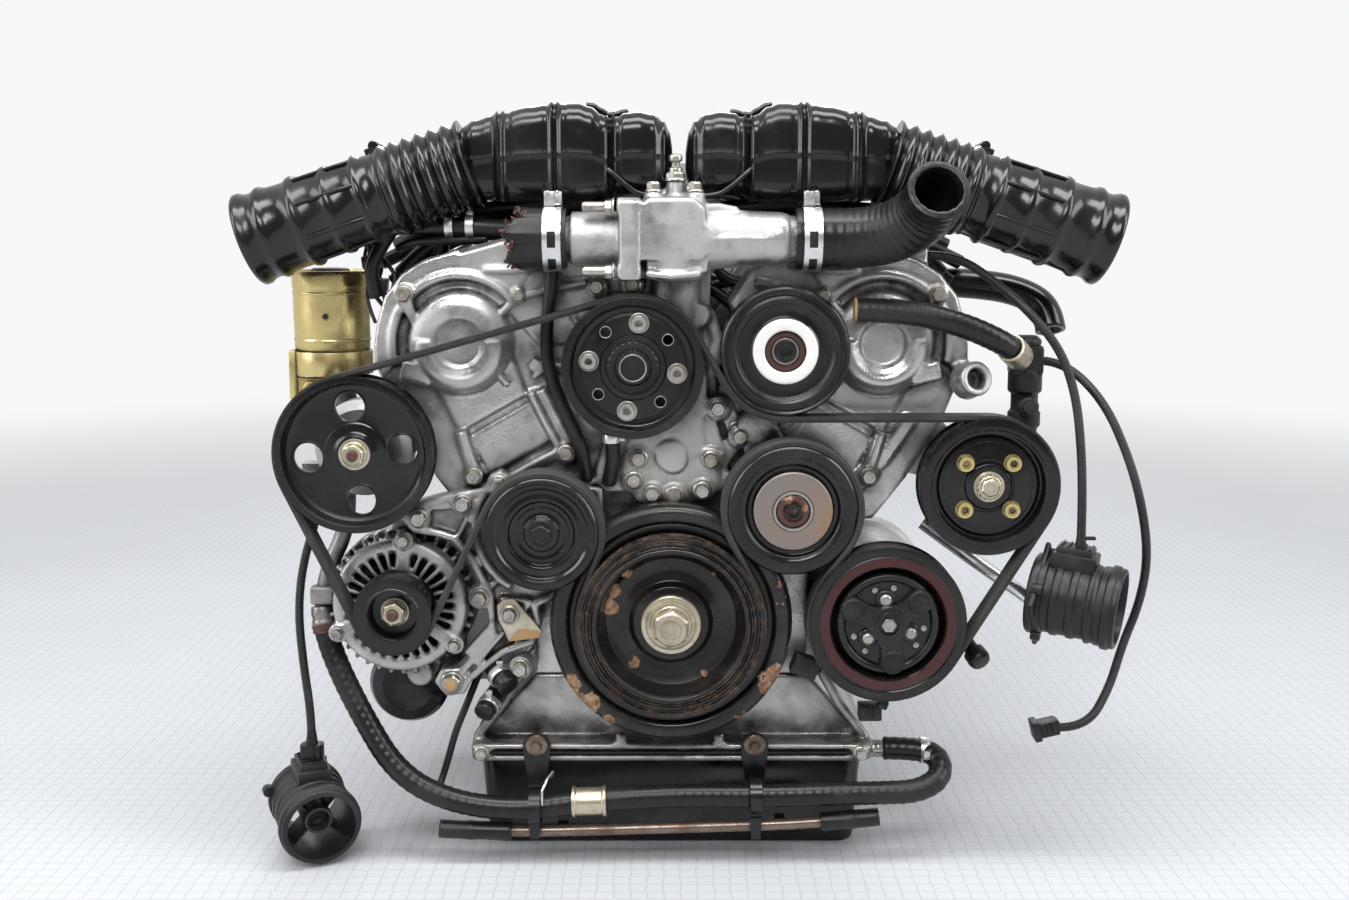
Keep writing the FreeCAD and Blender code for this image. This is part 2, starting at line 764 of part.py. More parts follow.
def make_block():
    deck_in = bank(-S.bank_half_width, S.deck_height)
    deck_out = bank(S.bank_half_width, S.deck_height)
    # where the bank's walls meet the valley floor and the crankcase side
    valley_z = (S.valley_half + S.bank_half_width / COS) * (COS / SIN)
    hip_z = (S.crankcase_half - S.bank_half_width / COS) * (COS / SIN)
    half = [(S.valley_half, valley_z), deck_in, deck_out, (S.crankcase_half, hip_z),
            (S.crankcase_half, S.crankcase_floor)]
    outline = half + [(-across, up) for across, up in reversed(half)]
    case = prism("block_case", outline, S.block_front, S.block_rear)
    bell = common("bell_flange",
                  cylinder("bell_disc", S.bell_radius, S.bell_flange, (0, S.block_rear - S.bell_flange, 0)),
                  box("bell_limit", (-S.bell_radius, S.block_rear - S.bell_flange, S.crankcase_floor),
                      (S.bell_radius, S.block_rear, S.bell_radius)))
    pieces = [case, bell]
    cutters = [cylinder("main_tunnel", S.main_shaft_radius + S.shaft_clearance,
                        S.block_rear - S.block_front + 2, (0, S.block_front - 1, 0))]
    middle = (S.block_front + S.block_rear) / 2
    for label, side in SIDES.items():
        station = middle - side * S.mount_stagger
        face = side * (S.crankcase_half + S.mount_pad_thick)
        root = side * (S.crankcase_half - 2)
        low = (min(face, root), station - S.mount_pad_wide / 2, -S.mount_pad_high / 2 - 10)
        high = (max(face, root), station + S.mount_pad_wide / 2, S.mount_pad_high / 2 - 10)
        pieces.append(box("mount_pad_" + label, low, high))
        for row in (-1, 1):
            for rank in (-1, 1):
                spot = (face, station + row * S.mount_bolt_wide / 2, rank * S.mount_bolt_high / 2 - 10)
                cutters.append(cylinder("mount_hole_%s_%d_%d" % (label, row, rank), S.mount_hole,
                                        S.mount_pad_thick + S.case_wall + 2, spot, RIGHT * -side))
        wall = side * (S.crankcase_half - S.case_wall)
        hollow = side * (S.crankcase_half - S.case_wall - 22)
        cutters.append(box("crankcase_core_" + label,
                           (min(wall, hollow), station - S.mount_pad_wide / 2, -S.mount_pad_high / 2 - 10),
                           (max(wall, hollow), station + S.mount_pad_wide / 2, S.mount_pad_high / 2 - 10)))
        for rank in (-1, 1):
            spot = (side * S.bell_bolt_wide / 2, S.block_rear + 1, rank * S.bell_bolt_high / 2)
            cutters.append(cylinder("bell_hole_%s_%d" % (label, rank), S.mount_hole, S.bell_flange + 2, spot, FRONT))
        for index in range(7):
            along = S.block_rear - 45 - index * S.bore_spacing * 0.83
            rib = [(side * (S.crankcase_half - 1), S.crankcase_floor + 2),
                   (side * (S.crankcase_half + 5), S.crankcase_floor + 2),
                   (side * (S.crankcase_half + 5), hip_z - 14), (side * (S.crankcase_half - 1), hip_z)]
            pieces.append(prism("block_rib_%s_%d" % (label, index), rib, along - 4, along + 4))
    pad = [(-S.crankcase_half, -20), (-S.crankcase_half, -58), (-180, -116), (-275, -116), (-275, -70),
           (-200, -20)]
    pieces.append(prism("filter_pad", pad, -480, -455))
    node("engine_block", cut("engine_block", fuse("block_solid", *pieces), *cutters))


def make_heads():
    for label, side in SIDES.items():
        low = S.deck_height
        high = S.deck_height + S.head_height
        half = S.head_half_width
        outline = [(-side * S.bank_half_width, low), (-side * half, low + 14), (-side * half, high),
                   (side * half, high), (side * half, low + 14), (side * S.bank_half_width, low)]
        name = "cylinder_head_" + label
        head = prism(name, outline, S.block_front, S.head_rear, bank_turn(side))
        ports = sketch(head, "YZ_Plane", name + "_port_sketch")
        ports.AttachmentOffset = Placement(Vector(0, 0, side * float(half)), Rotation())
        ports.setExpression("AttachmentOffset.Base.z", "%d * Sizes.head_half_width" % side)
        start = -S.bore_spacing / 2 - 10
        spot = Vector(start, low + S.exhaust_port_height, 0)
        ports.addGeometry(Part.Circle(spot, Vector(0, 0, 1), float(S.exhaust_port)))
        drive(ports, "DistanceX", (0, 3), start)
        drive(ports, "DistanceY", (0, 3), low + S.exhaust_port_height)
        index = ports.addConstraint(Sketcher.Constraint("Radius", 0, float(S.exhaust_port)))
        ports.setExpression("Constraints[%d]" % index, S.exhaust_port.text)
        pocket = head.newObject("PartDesign::Pocket", name + "_port")
        pocket.Profile = ports
        fit(pocket, "Length", S.port_depth)
        pocket.Reversed = side < 0
        row = head.newObject("PartDesign::LinearPattern", name + "_ports")
        row.Originals = [pocket]
        row.Direction = (origin_item(head, "Y_Axis"), [""])
        row.Reversed = True
        row.Occurrences = 6
        fit(row, "Length", S.bore_spacing * 5)
        head.Tip = row
        node(name, head)


def make_cam_covers():
    for label, side in SIDES.items():
        base = S.deck_height + S.head_height
        top = base + S.cam_cover_height
        half = S.head_half_width - 3
        # two long humps over the camshafts with a plug valley between them
        crest = [(-half, base), (-half, base + 26), (-half + 14, top), (-22, top), (-12, base + 34),
                 (12, base + 34), (22, top), (half - 14, top), (half, base + 26), (half, base)]
        outline = [(side * across, up) for across, up in crest]
        name = "cam_cover_" + label
        cover = rounded(prism(name + "_shell", outline, S.block_front, S.head_rear - 6, bank_turn(side)), 5,
                        keep=lambda edge: abs(edge.Vertexes[0].Point.z - float(base)) > 1)
        if side > 0:
            node(name, cover)
            continue
        across, up = bank(S.cam_offset, top - 3, side)
        along = Vector(*[bank(0, 1, side)[0], 0, bank(0, 1, side)[1]])
        neck = cylinder("filler_neck", 20, 15, (across, S.block_front + 150, up), along)
        node(name, fuse(name, cover, neck))
        across, up = bank(S.cam_offset, top + 12 + S.seat_gap, side)
        skirt = cylinder("cap_body", 26, 14, (across, S.block_front + 150, up), along)
        across, up = bank(S.cam_offset, top + 26, side)
        grip = box("cap_grip", (-6, -22, 0), (6, 22, 10))
        place(grip, (across - 6 * COS, S.block_front + 150 - 22, up + 6 * SIN * side), bank_turn(side))
        node("oil_filler_cap", fuse("oil_filler_cap", skirt, grip))


def make_timing_covers():
    for label, side in SIDES.items():
        turn = bank_turn(side)
        name = "timing_cover_" + label
        outer, inner, shoulder = S.cover_outer, S.cover_inner, S.cover_shoulder
        cam = S.cam_height
        crest = [(-inner, 150), (0, S.cover_foot), (60, S.cover_foot), (outer, 160), (outer, cam + 5),
                 (outer - 22, cam + 52), (outer - 68, cam + 75), (-40, cam + 60), (-shoulder + 18, cam + 42),
                 (-shoulder, cam), (-shoulder, 262), (-inner, 236)]
        outline = [(side * across, up) for across, up in crest]
        plate = rounded(prism(name + "_plate", outline, S.timing_front, S.block_front, turn), 9)
        pieces = [plate]
        across, up = bank(S.cam_offset + 2, cam + S.dome_lift, side)
        front = S.timing_front
        dome = revolved(name + "_dome", [
            (0, -S.dome_depth), (S.dome_radius - 16, -S.dome_depth), (S.dome_radius - 4, -S.dome_depth + 5),
            (S.dome_radius, -2), (S.dome_radius, 4), (0, 4),
        ], (across, front, up))
        pieces.append(dome)
        lip_x, lip_z = bank(S.cam_offset + 2, cam - 4, side)
        pieces.append(torus(name + "_lip", S.lip_radius, S.lip_tube,
                            (lip_x, front - S.dome_depth, lip_z)))
        # cast ribs that run from the dome down the face
        for index, (start, width) in enumerate(((-30, 5), (8, 5), (46, 5))):
            rib = [(side * start, 200), (side * (start + width), 200), (side * (start + width), 262),
                   (side * start, 262)]
            pieces.append(prism("%s_rib_%d" % (name, index), rib, front - 4, front + 2, turn))
        rim = [(side * (outer - 5), 200), (side * outer, 200), (side * outer, 290), (side * (outer - 5), 290)]
        pieces.append(prism(name + "_edge", rim, front - 5, front + 2, turn))
        nose_x, nose_z = bank(-S.cam_offset, cam, side)
        pieces.append(cylinder(name + "_cam_nose", 16, 6, (nose_x, front - 6, nose_z)))
        if side > 0:
            key = WHEELS["upper_idler"]
            pieces.append(cylinder("upper_idler_boss", 17, 13, (key.x, front - 13, key.z)))
            pieces.append(box("harness_clip", (196, -652, 296), (222, -628, 322)))
        node(name, fuse(name, *pieces))


def make_front_cover():
    foot = S.cover_foot - 1
    side_z = (foot - S.crankcase_half * SIN) / COS
    knee_z = (foot - 62 * SIN) / COS
    half = [(S.crankcase_half, S.crankcase_floor), (S.crankcase_half, side_z), (62, knee_z), (8, 138)]
    outline = half + [(-across, up) for across, up in reversed(half)]
    plate = prism("front_cover_plate", outline, S.front_cover_front, S.block_front)
    # the raised pad above the damper laps over the feet of the two timing covers
    neck = box("front_cover_neck", (-40, S.timing_front - 8, 112), (34, S.block_front, 122))
    lap = [(-62, 110), (46, 110), (50, 126), (40, 172), (-52, 172), (-66, 126)]
    pad = rounded(prism("front_cover_lap", lap, S.timing_front - 8, S.timing_front), 8)
    boss = cylinder("front_cover_boss", 13, 4, (0, S.timing_front - 12, 142))
    seal = cylinder("front_seal", S.nose_radius + 14, 2, (0, S.front_cover_front - 2, 0))
    hole = cylinder("front_cover_bore", S.nose_radius + S.shaft_clearance + 12, 60, (0, S.block_front - 50, 0))
    node("front_cover", cut("front_cover", fuse("front_cover_body", plate, neck, pad, boss, seal), hole))


def make_pans():
    top = S.crankcase_floor
    shoulder = S.rail_top + 6
    outline = [(-S.crankcase_half, top), (S.crankcase_half, top), (S.rail_half - 8, shoulder),
               (S.rail_half - 8, S.rail_floor), (-S.rail_half + 8, S.rail_floor), (-S.rail_half + 8, shoulder)]
    shell = prism("pan_shell", outline, S.front_cover_front, S.block_rear - 4)
    pieces = [shell]
    for name, low, high in (("upper", S.rail_top - S.rail_step, S.rail_top),
                            ("lower", S.rail_floor, S.rail_floor + S.rail_step)):
        pieces.append(box("pan_rail_" + name, (-S.rail_half, S.rail_front, low),
                          (S.rail_half, S.block_rear - 4, high)))
    pieces.append(box("pan_rail_core", (-S.rail_half + 4, S.rail_front + 4, S.rail_floor),
                      (S.rail_half - 4, S.block_rear - 10, S.rail_top)))
    for index in range(5):
        for side in (-1, 1):
            station = S.block_rear - 70 - index * 110
            rib = [(side * S.crankcase_half, top), (side * (S.crankcase_half + 10), top),
                   (side * (S.rail_half - 2), S.rail_top), (side * (S.rail_half - 12), S.rail_top)]
            pieces.append(prism("pan_rib_%d_%d" % (index, side), rib, station - 4, station + 4))
    pieces.append(cylinder("pan_nipple", 8, 12, (S.rail_half, S.rail_front + 10, S.rail_floor + 7), RIGHT))
    node("upper_oil_pan", fuse("upper_oil_pan", *pieces))

    sump = body("oil_sump", (0, 0, S.rail_floor))
    edge = S.sump_half
    drawing = polygon(sump, "XY_Plane", "sump_outline", [
        (-edge, S.sump_front), (edge, S.sump_front), (edge, S.sump_rear), (-edge, S.sump_rear)])
    pad = sump.newObject("PartDesign::Pad", "sump_pad")
    pad.Profile = drawing
    fit(pad, "Length", S.rail_floor - S.sump_floor)
    pad.Reversed = True
    fit(pad, "TaperAngle", -S.sump_taper)
    sump.Tip = pad
    doc.recompute()
    corners = [edge_item for edge_item in pad.Shape.Edges]
    names = ["Edge%d" % (index + 1) for index, item in enumerate(corners)
             if abs(item.Vertexes[0].Point.z - item.Vertexes[1].Point.z) > 10]
    fillet = sump.newObject("PartDesign::Fillet", "sump_corners")
    fillet.Base = (pad, names)
    fillet.Radius = 16
    sump.Tip = fillet
    node("oil_sump", sump)


def make_water_pump():
    outline = [(-S.valley_half + 1, 178), (S.valley_half - 1, 178), (50, 226), (34, 252),
               (34, S.housing_top), (-34, S.housing_top), (-34, 252), (-50, 226)]
    case = prism("pump_case", outline, S.timing_front + 6, S.block_front)
    wheel = WHEELS["fan"]
    volute = cylinder("pump_volute", 46, 6, (wheel.x, S.timing_front - 6, wheel.z))
    snout = cylinder("pump_snout", 20, 7, (wheel.x, S.timing_front - 12, wheel.z))
    link = box("pump_link", (-34, S.timing_front - 6, 214), (8, S.timing_front + 6, 262))
    neck = cylinder("pump_neck", 23, S.housing_top - 240, (5, S.timing_front + 14, 240), UP)
    bore = cylinder("pump_bore", 12 + S.bearing_gap, 80, (wheel.x, S.belt_plane + 10, wheel.z))
    node("water_pump_housing", cut("water_pump_housing",
                                   fuse("pump_solid", case, volute, snout, link, neck), bore))


def make_outlet():
    level = S.outlet_z
    middle = S.outlet_y
    right, left = S.outlet_right, S.outlet_left
    block = rounded(prism("outlet_block", [
        (-25, S.housing_top + 10), (right, S.housing_top + 10), (right, S.outlet_top - 8), (18, S.outlet_top),
        (-18, S.outlet_top), (-25, S.outlet_top - 6)], middle - 26, middle + 26), 4)
    foot = box("outlet_foot", (-20, middle - 22, S.housing_top), (30, S.timing_front + 36, S.housing_top + 10))
    flange = rounded(prism("outlet_flange", [
        (left, level - 33), (-25, level - 33), (-25, level + 30), (left, level + 30)],
        middle - 28, middle + 28), 3, direction=UP)
    sleeve = cylinder("outlet_sleeve", 22, 40, (left, middle, level), -RIGHT)
    stub = cylinder("outlet_stub_left", S.hose_bore - S.seat_gap, 40, (left - 38, middle, level), -RIGHT)
    taper = cone("outlet_taper", 25, S.hose_bore - S.seat_gap, 74, (right - 2, middle, level), RIGHT)
    spout = cylinder("outlet_stub_right", S.hose_bore - S.seat_gap, 26, (right + 70, middle, level), RIGHT)
    bleed = hexagon("outlet_bleed", 9, 14, (5, middle, S.outlet_top), UP)
    bleed_top = cylinder("outlet_bleed_top", 5, 12, (5, middle, S.outlet_top + 14), UP)
    node("water_outlet", fuse("water_outlet", block, foot, flange, sleeve, stub, taper, spout, bleed, bleed_top))

    start = left - 44
    outer, bore = S.hose_outer, S.hose_bore
    node("radiator_hose_left", cut("radiator_hose_left",
                                   cylinder("left_hose_skin", outer, 46, (start, middle, level), -RIGHT),
                                   cylinder("left_hose_bore", bore, 50, (start + 2, middle, level), -RIGHT)))
    route = [(right + 75, middle, level), (152, middle, level), (180, middle - 10, level + 4),
             (200, middle - 26, level + 16), (209, middle - 44, level + 30), (210, middle - 62, level + 39)]
    node("radiator_hose_right", solid("radiator_hose_right", tube(route, outer, bore)))
    clamps = []
    for name, across in (("left", start - 18), ("right", right + 80)):
        band = cut("clamp_band_" + name,
                   cylinder("clamp_outer_" + name, outer + 1.5, 16, (across, middle, level), RIGHT),
                   cylinder("clamp_inner_" + name, outer, 18, (across - 1, middle, level), RIGHT))
        lug = box("clamp_lug_" + name, (across + 4, middle - 16, level + outer - 1),
                  (across + 12, middle - 9, level + outer + 6))
        clamps.append(fuse("clamp_" + name, band, lug))
    node("hose_clamps", group("hose_clamps", clamps))


# Air intake

def make_air_boxes():
    for label, side in SIDES.items():
        name = "air_box_" + label
        inner, outer = S.box_inner, S.box_outer
        shape = [(inner, 392), (inner, 421), (inner + 12, 433), (inner + 44, 439), (inner + 78, 439),
                 (outer, 420), (outer, 357), (inner + 60, 359), (inner + 16, 374)]
        outline = [(S.intake_x + side * across, up) for across, up in shape]
        shell = rounded(prism(name + "_shell", outline, S.box_front, S.box_rear), 12)
        grown = [(S.intake_x + side * across, up + (3 if up > 400 else -3)) for across, up in shape]
        skin = rounded(prism(name + "_ridge_skin", grown, S.box_front - 4, S.box_rear + 2), 12)
        ridges = []
        for index, across in enumerate((58, 104, 150)):
            middle = S.intake_x + side * across
            slab = box("%s_slab_%d" % (name, index), (middle - 4, S.box_front - 6, 340),
                       (middle + 4, S.box_rear + 4, 450))
            ridges.append(slab)
        bands = common(name + "_bands", skin, group(name + "_slabs", ridges))
        collar = cylinder(name + "_collar", S.throttle_outer + 3, 8,
                          (S.intake_x + side * S.plenum_x, S.box_rear - 4, S.plenum_z))
        node(name, fuse(name, shell, bands, collar))


def make_air_ducts():
    """Moulded ducts with bellows, strengthening rings and an open cuff."""
    for label, side in SIDES.items():
        radius, wall = S.duct_radius, S.duct_wall
        length = S.duct_length
        outline = [(radius - wall, 0), (radius, 0)]
        for index in range(6):
            crest = 6 + index * 11
            outline += [(radius, crest - 4), (radius + 5, crest), (radius + 5, crest + 2), (radius, crest + 6)]
        for crest in (90, 118, 145):
            outline += [(radius, crest), (radius + 2.5, crest + 1), (radius + 2.5, crest + 4), (radius, crest + 5)]
        outline += [(radius, length - 41), (radius + 4, length - 38), (radius + 4, length - 12),
                    (radius + 6, length - 11), (radius + 6, length - 3), (radius + 4, length),
                    (radius + 4 - wall, length), (radius + 4 - wall, length - 34), (radius - wall, length - 37)]
        slope = math.radians(S.duct_slope)
        along = Vector(side * math.cos(slope), 0, -math.sin(slope))
        start = (S.intake_x + side * (S.box_outer - 8), S.duct_y, S.duct_z)
        duct = revolved("air_duct_%s_tube" % label, outline, start, Rotation(REAR, along))
        limit = box("air_duct_%s_limit" % label,
                    (start[0] - (50 if side > 0 else 8), start[1] - 60, start[2] - 60),
                    (start[0] + (8 if side > 0 else 50), start[1] + 60, start[2] + 60))
        node("air_duct_" + label, cut("air_duct_" + label, duct, limit))


def make_throttles():
    for label, side in SIDES.items():
        centre = S.intake_x + side * S.plenum_x
        front = S.box_rear + 4
        middle = front + S.throttle_length / 2
        shell = cylinder("throttle_shell_" + label, S.throttle_outer, S.throttle_length, (centre, front, S.plenum_z))
        boss = cylinder("throttle_boss_" + label, 10, 2 * S.throttle_outer + 16,
                        (centre, middle, S.plenum_z - S.throttle_outer - 8), UP)
        bore = cylinder("throttle_bore_" + label, S.throttle_radius + S.throttle_gap, S.throttle_length + 2,
                        (centre, front - 1, S.plenum_z))
        spindle_hole = cylinder("throttle_hole_" + label, 4 + S.bearing_gap, 2 * S.throttle_outer + 30,
                                (centre, middle, S.plenum_z - S.throttle_outer - 15), UP)
        flange = box("throttle_flange_" + label, (centre - 36, front + S.throttle_length - 8, S.plenum_z - 36),
                     (centre + 36, front + S.throttle_length, S.plenum_z + 36))
        node("throttle_body_" + label, cut("throttle_body_" + label,
                                           fuse("throttle_solid_" + label, shell, boss, flange),
                                           bore, spindle_hole))
        plate = cylinder("throttle_disc_" + label, S.throttle_radius, 2.5, (centre, middle - 1.25, S.plenum_z))
        spindle = cylinder("throttle_spindle_" + label, 4, 2 * S.throttle_outer + 30,
                           (centre, middle, S.plenum_z - S.throttle_outer - 15), UP)
        wheel = cylinder("throttle_wheel_" + label, 18, 5,
                         (centre, middle, S.plenum_z + S.throttle_outer + 8 + S.seat_gap), UP)
        node("throttle_plate_" + label, fuse("throttle_plate_" + label, plate, spindle, wheel))


def make_manifold():
    """Two plenums over the valley, six runners each, and a flange along each head."""
    front = S.box_rear + 4 + S.throttle_length
    pieces = []
    for label, side in SIDES.items():
        centre = S.intake_x + side * S.plenum_x
        barrel = Part.makeCylinder(float(S.plenum_radius), float(S.plenum_rear - front),
                                   Vector(centre, front, S.plenum_z), REAR)
        barrel = barrel.makeFillet(14, [edge for edge in barrel.Edges if edge.Closed
                                        and abs(edge.Vertexes[0].Point.y - float(S.plenum_rear)) < 1])
        pieces.append(barrel)
        reach = S.head_half_width
        flange = Part.makeBox(9, float(S.head_rear - S.block_front) - 70, 46)
        low = -reach - 9 if side > 0 else reach
        flange.Placement = Placement(Vector(0, S.block_front + 40, 0), bank_turn(side)).multiply(
            Placement(Vector(low, 0, S.deck_height + 24), Rotation()))
        pieces.append(flange)
        for index in range(6):
            station = S.block_front + 70 + index * S.bore_spacing + (8 if side > 0 else -8)
            entry = front + 26 + index * (S.plenum_rear - front - 52) / 5
            foot = bank(-reach - 4, S.deck_height + 47, side)
            knee = bank(-reach - 38, S.deck_height + 49, side)
            route = [(foot[0], station, foot[1]), (knee[0], station, knee[1]),
                     (side * 26 + S.intake_x / 2, station + (entry - station) * 0.5, 306),
                     (side * 40 + S.intake_x / 2, entry, 330), (centre, entry, S.plenum_z - 20)]
            pieces.append(tube(route, S.runner_radius))
    bridge = Part.makeBox(2 * float(S.plenum_x) - 60, 60, 20, Vector(S.intake_x - S.plenum_x + 30, -300, S.plenum_z - 10))
    pieces.append(bridge)
    shape = pieces[0].multiFuse(pieces[1:])
    node("intake_manifold", solid("intake_manifold", shape))


# Accessories

def make_alternator():
    wheel = WHEELS["alternator"]
    radius = S.alternator_body
    front = S.alternator_front
    rear = S.alternator_rear
    bore = 8 + S.bearing_gap
    case = revolved("alternator_case", [
        (bore, 0), (22, 0), (24, 3), (48, 5), (radius, 14), (radius, 38), (radius - 3, 40),
        (radius - 3, 70), (radius, 72), (radius, 94), (radius - 10, rear - front), (bore, rear - front),
    ], (wheel.x, front, wheel.z))
    drawing = sketch(case, "XZ_Plane", "vent_sketch")
    ends = [(32, -3), (52, -3), (52, 3), (32, 3)]
    for index, (across, up) in enumerate(ends):
        after = ends[(index + 1) % 4]
        drawing.addGeometry(Part.LineSegment(Vector(across, up, 0), Vector(after[0], after[1], 0)))
    for index, (across, up) in enumerate(ends):
        drawing.addConstraint(Sketcher.Constraint("Coincident", index, 2, (index + 1) % 4, 1))
        drive(drawing, "DistanceX", (index, 1), across)
        drive(drawing, "DistanceY", (index, 1), up)
    vent = case.newObject("PartDesign::Pocket", "vent")
    vent.Profile = drawing
    vent.Reversed = True
    vent.Length = 24
    vents = case.newObject("PartDesign::PolarPattern", "vents")
    vents.Originals = [vent]
    vents.Axis = (origin_item(case, "Y_Axis"), [""])
    vents.Angle = 360
    vents.Occurrences = 14
    case.Tip = vents
    ears = []
    for index, (across, up) in enumerate(((4, 66), (14, -66))):
        ears.append(cylinder("alternator_ear_%d" % index, 11, 30, (wheel.x + across, front + 14, wheel.z + up)))
        ears.append(box("alternator_web_%d" % index,
                        (wheel.x + across - 9, front + 16, wheel.z + min(up, up * 0.7)),
                        (wheel.x + across + 9, front + 42, wheel.z + max(up, up * 0.7))))
    node("alternator_housing", fuse("alternator_housing", case, *ears))


def make_bracket():
    """Left accessory bracket: a webbed casting that carries the idler and the alternator."""
    outline = [(-70, 96), (-85, 76), (-104, 42), (-112, 0), (-124, -44), (-160, -84), (-206, -88),
               (-212, -72), (-182, -40), (-170, -6), (-170, 36), (-192, 66), (-224, 84), (-226, 104),
               (-190, 114), (-120, 122), (-72, 122)]
    front = S.timing_front - 13
    plate = rounded(prism("bracket_plate", outline, front, S.front_cover_front), 6)
    key = WHEELS["left_idler"]
    hub = cylinder("bracket_hub", 20, 15, (key.x, front - 2, key.z))
    pockets = []
    for index, (across, up, radius) in enumerate(((-150, -38, 12), (-138, 2, 11), (-146, 40, 10),
                                                  (-178, -66, 9), (-160, 84, 10), (-192, 92, 8),
                                                  (-132, -20, 7))):
        pockets.append(cylinder("bracket_pocket_%d" % index, radius, 9, (across, front - 1, up)))
    slot = prism("bracket_slot", [(-160, 2), (-150, 2), (-152, 26), (-162, 26)], front - 1, S.front_cover_front + 1)
    turn = bank_turn(-1)
    step = prism("bracket_step", [(-130, S.cover_foot - 1), (80, S.cover_foot - 1), (80, 300), (-130, 300)],
                 S.timing_front, S.front_cover_front + 2, turn)
    node("accessory_bracket", cut("accessory_bracket", fuse("bracket_solid", plate, hub), slot, step, *pockets))


def pump_body(name, key, side, radius, shaft):
    """A belt-driven pump: round body with a bearing snout and a lug down to its bank."""
    wheel = WHEELS[key]
    length = S.pump_rear - S.pump_front
    bore = shaft + S.bearing_gap
    case = revolved(name + "_case", [
        (bore, -8), (18, -8), (18, 0), (radius - 8, 0), (radius, 8), (radius, 30), (radius - 5, 34),
        (radius - 5, length - 12), (radius - 14, length), (bore, length),
    ], (wheel.x, S.pump_front, wheel.z))
    centre = (float(wheel.x) * side * SIN + float(wheel.z) * COS)
    inner = S.cover_outer
    lug = prism(name + "_lug", [(side * inner, centre - 28), (side * (inner + 30), centre - 20),
                                (side * (inner + 30), centre + 20), (side * inner, centre + 28)],
                S.pump_front + 12, S.pump_front + 50, bank_turn(side))
    through = cylinder(name + "_bore", bore, length, (wheel.x, S.pump_front, wheel.z))
    return cut(name + "_body", fuse(name + "_solid", case, lug), through)


def make_steering_pump():
    pump = pump_body("steering_pump", "steering", -1, 42, 10)
    outlet = cylinder("steering_outlet", 8, 18, (-284, -646, 104), UP)
    socket = box("steering_socket", (-322, -650, 108), (-296, -630, 132))
    bore = cylinder("steering_clear", 10 + S.bearing_gap, 90, (S.steering_x, S.pump_front - 10, S.steering_z))
    node("steering_pump", cut("steering_pump", fuse("steering_solid", pump, outlet, socket), bore))
    radius = S.reservoir_radius
    top = S.reservoir_top
    base = S.steering_z + 42
    height = top - base - 5
    can = revolved("reservoir_can", [
        (0, 0), (radius - 6, 0), (radius, 5), (radius, height - 20), (radius - 3, height - 17),
        (radius - 3, height - 13), (radius, height - 10), (radius, height - 3), (radius - 3, height), (0, height),
    ], (S.reservoir_x, S.reservoir_y, base + 5), Rotation(REAR, UP))
    bracket = box("reservoir_foot", (S.reservoir_x - 16, S.pump_front + 10, base), (-256, S.reservoir_y + 20, base + 5))
    strap = box("reservoir_strap", (S.reservoir_x - 26, S.pump_front + 14, base - 26),
                (S.reservoir_x - 16, S.reservoir_y + 14, base + 5))
    node("fluid_reservoir", fuse("fluid_reservoir", can, bracket, strap))


def make_hydraulic_pump():
    wheel = WHEELS["hydraulic"]
    stem = cylinder("valve_stem", 10, 64, (306, -650, wheel.z + 28), UP)
    head = box("valve_head", (294, -662, 212), (318, -638, 232))
    bore = cylinder("valve_clear", 10 + S.bearing_gap, 90, (wheel.x, S.pump_front - 10, wheel.z))
    pump = pump_body("hydraulic_pump", "hydraulic", 1, 44, 10)
    node("hydraulic_pump", cut("hydraulic_pump", fuse("hydraulic_solid", pump, stem, head), bore))


def make_compressor():
    wheel = WHEELS["compressor"]
    radius = S.compressor_body
    front, rear = S.compressor_front, S.compressor_rear
    nose = 20 - S.bearing_gap
    nose_front = S.belt_plane - front - S.rim_width / 2 + 9
    bore = 8 + S.bearing_gap
    case = revolved("compressor_case", [
        (bore, nose_front), (nose, nose_front), (nose, -8), (26, -8), (26, 0), (radius - 8, 0), (radius, 8),
        (radius, 40), (radius - 4, 44), (radius - 4, 120), (radius, 124), (radius, 150),
        (radius - 10, rear - front), (0, rear - front), (0, 60), (bore, 60),
    ], (wheel.x, front, wheel.z))
    lugs = []
    for index, (low, high) in enumerate(((-36, -14), (14, 36))):
        for place_y in (S.block_front + 8, S.block_front + 58):
            lugs.append(box("compressor_lug_%d_%d" % (index, int(-place_y)),
                            (S.crankcase_half, place_y, low), (S.crankcase_half + 34, place_y + 20, high)))
    node("ac_compressor", fuse("ac_compressor", case, *lugs))


def make_filter():
    radius = S.filter_radius
    can = revolved("oil_filter", [
        (0, -90), (radius - 14, -90), (radius - 4, -86), (radius, -78), (radius, -6), (radius - 3, 0), (0, 0),
    ], (S.filter_x, -480, S.filter_z))
    node("oil_filter", can)


def make_tensioner_arm():
    key = WHEELS["tensioner"]
    front = S.timing_front
    hub = cylinder("tensioner_hub", 24, 12, (key.x, front - 12, key.z))
    base = cylinder("tensioner_base", 16, 12, (72, front - 12, 168))
    arm = prism("tensioner_link", [(80, 96), (58, 160), (84, 180), (118, 118)], front - 10, front)
    node("tensioner_arm", fuse("tensioner_arm", hub, base, arm))


def flange_bolt(name, spot, face, scale=1.0):
    """A hexagon bolt with a collar, seated on a face that looks forwards."""
    collar = cylinder(name + "_collar", S.bolt_flange * scale, S.bolt_collar, (spot[0], face, spot[1]), FRONT)
    head = hexagon(name + "_head", S.bolt_radius * scale, S.bolt_head, (spot[0], face, spot[1]))
    return fuse(name, collar, head)


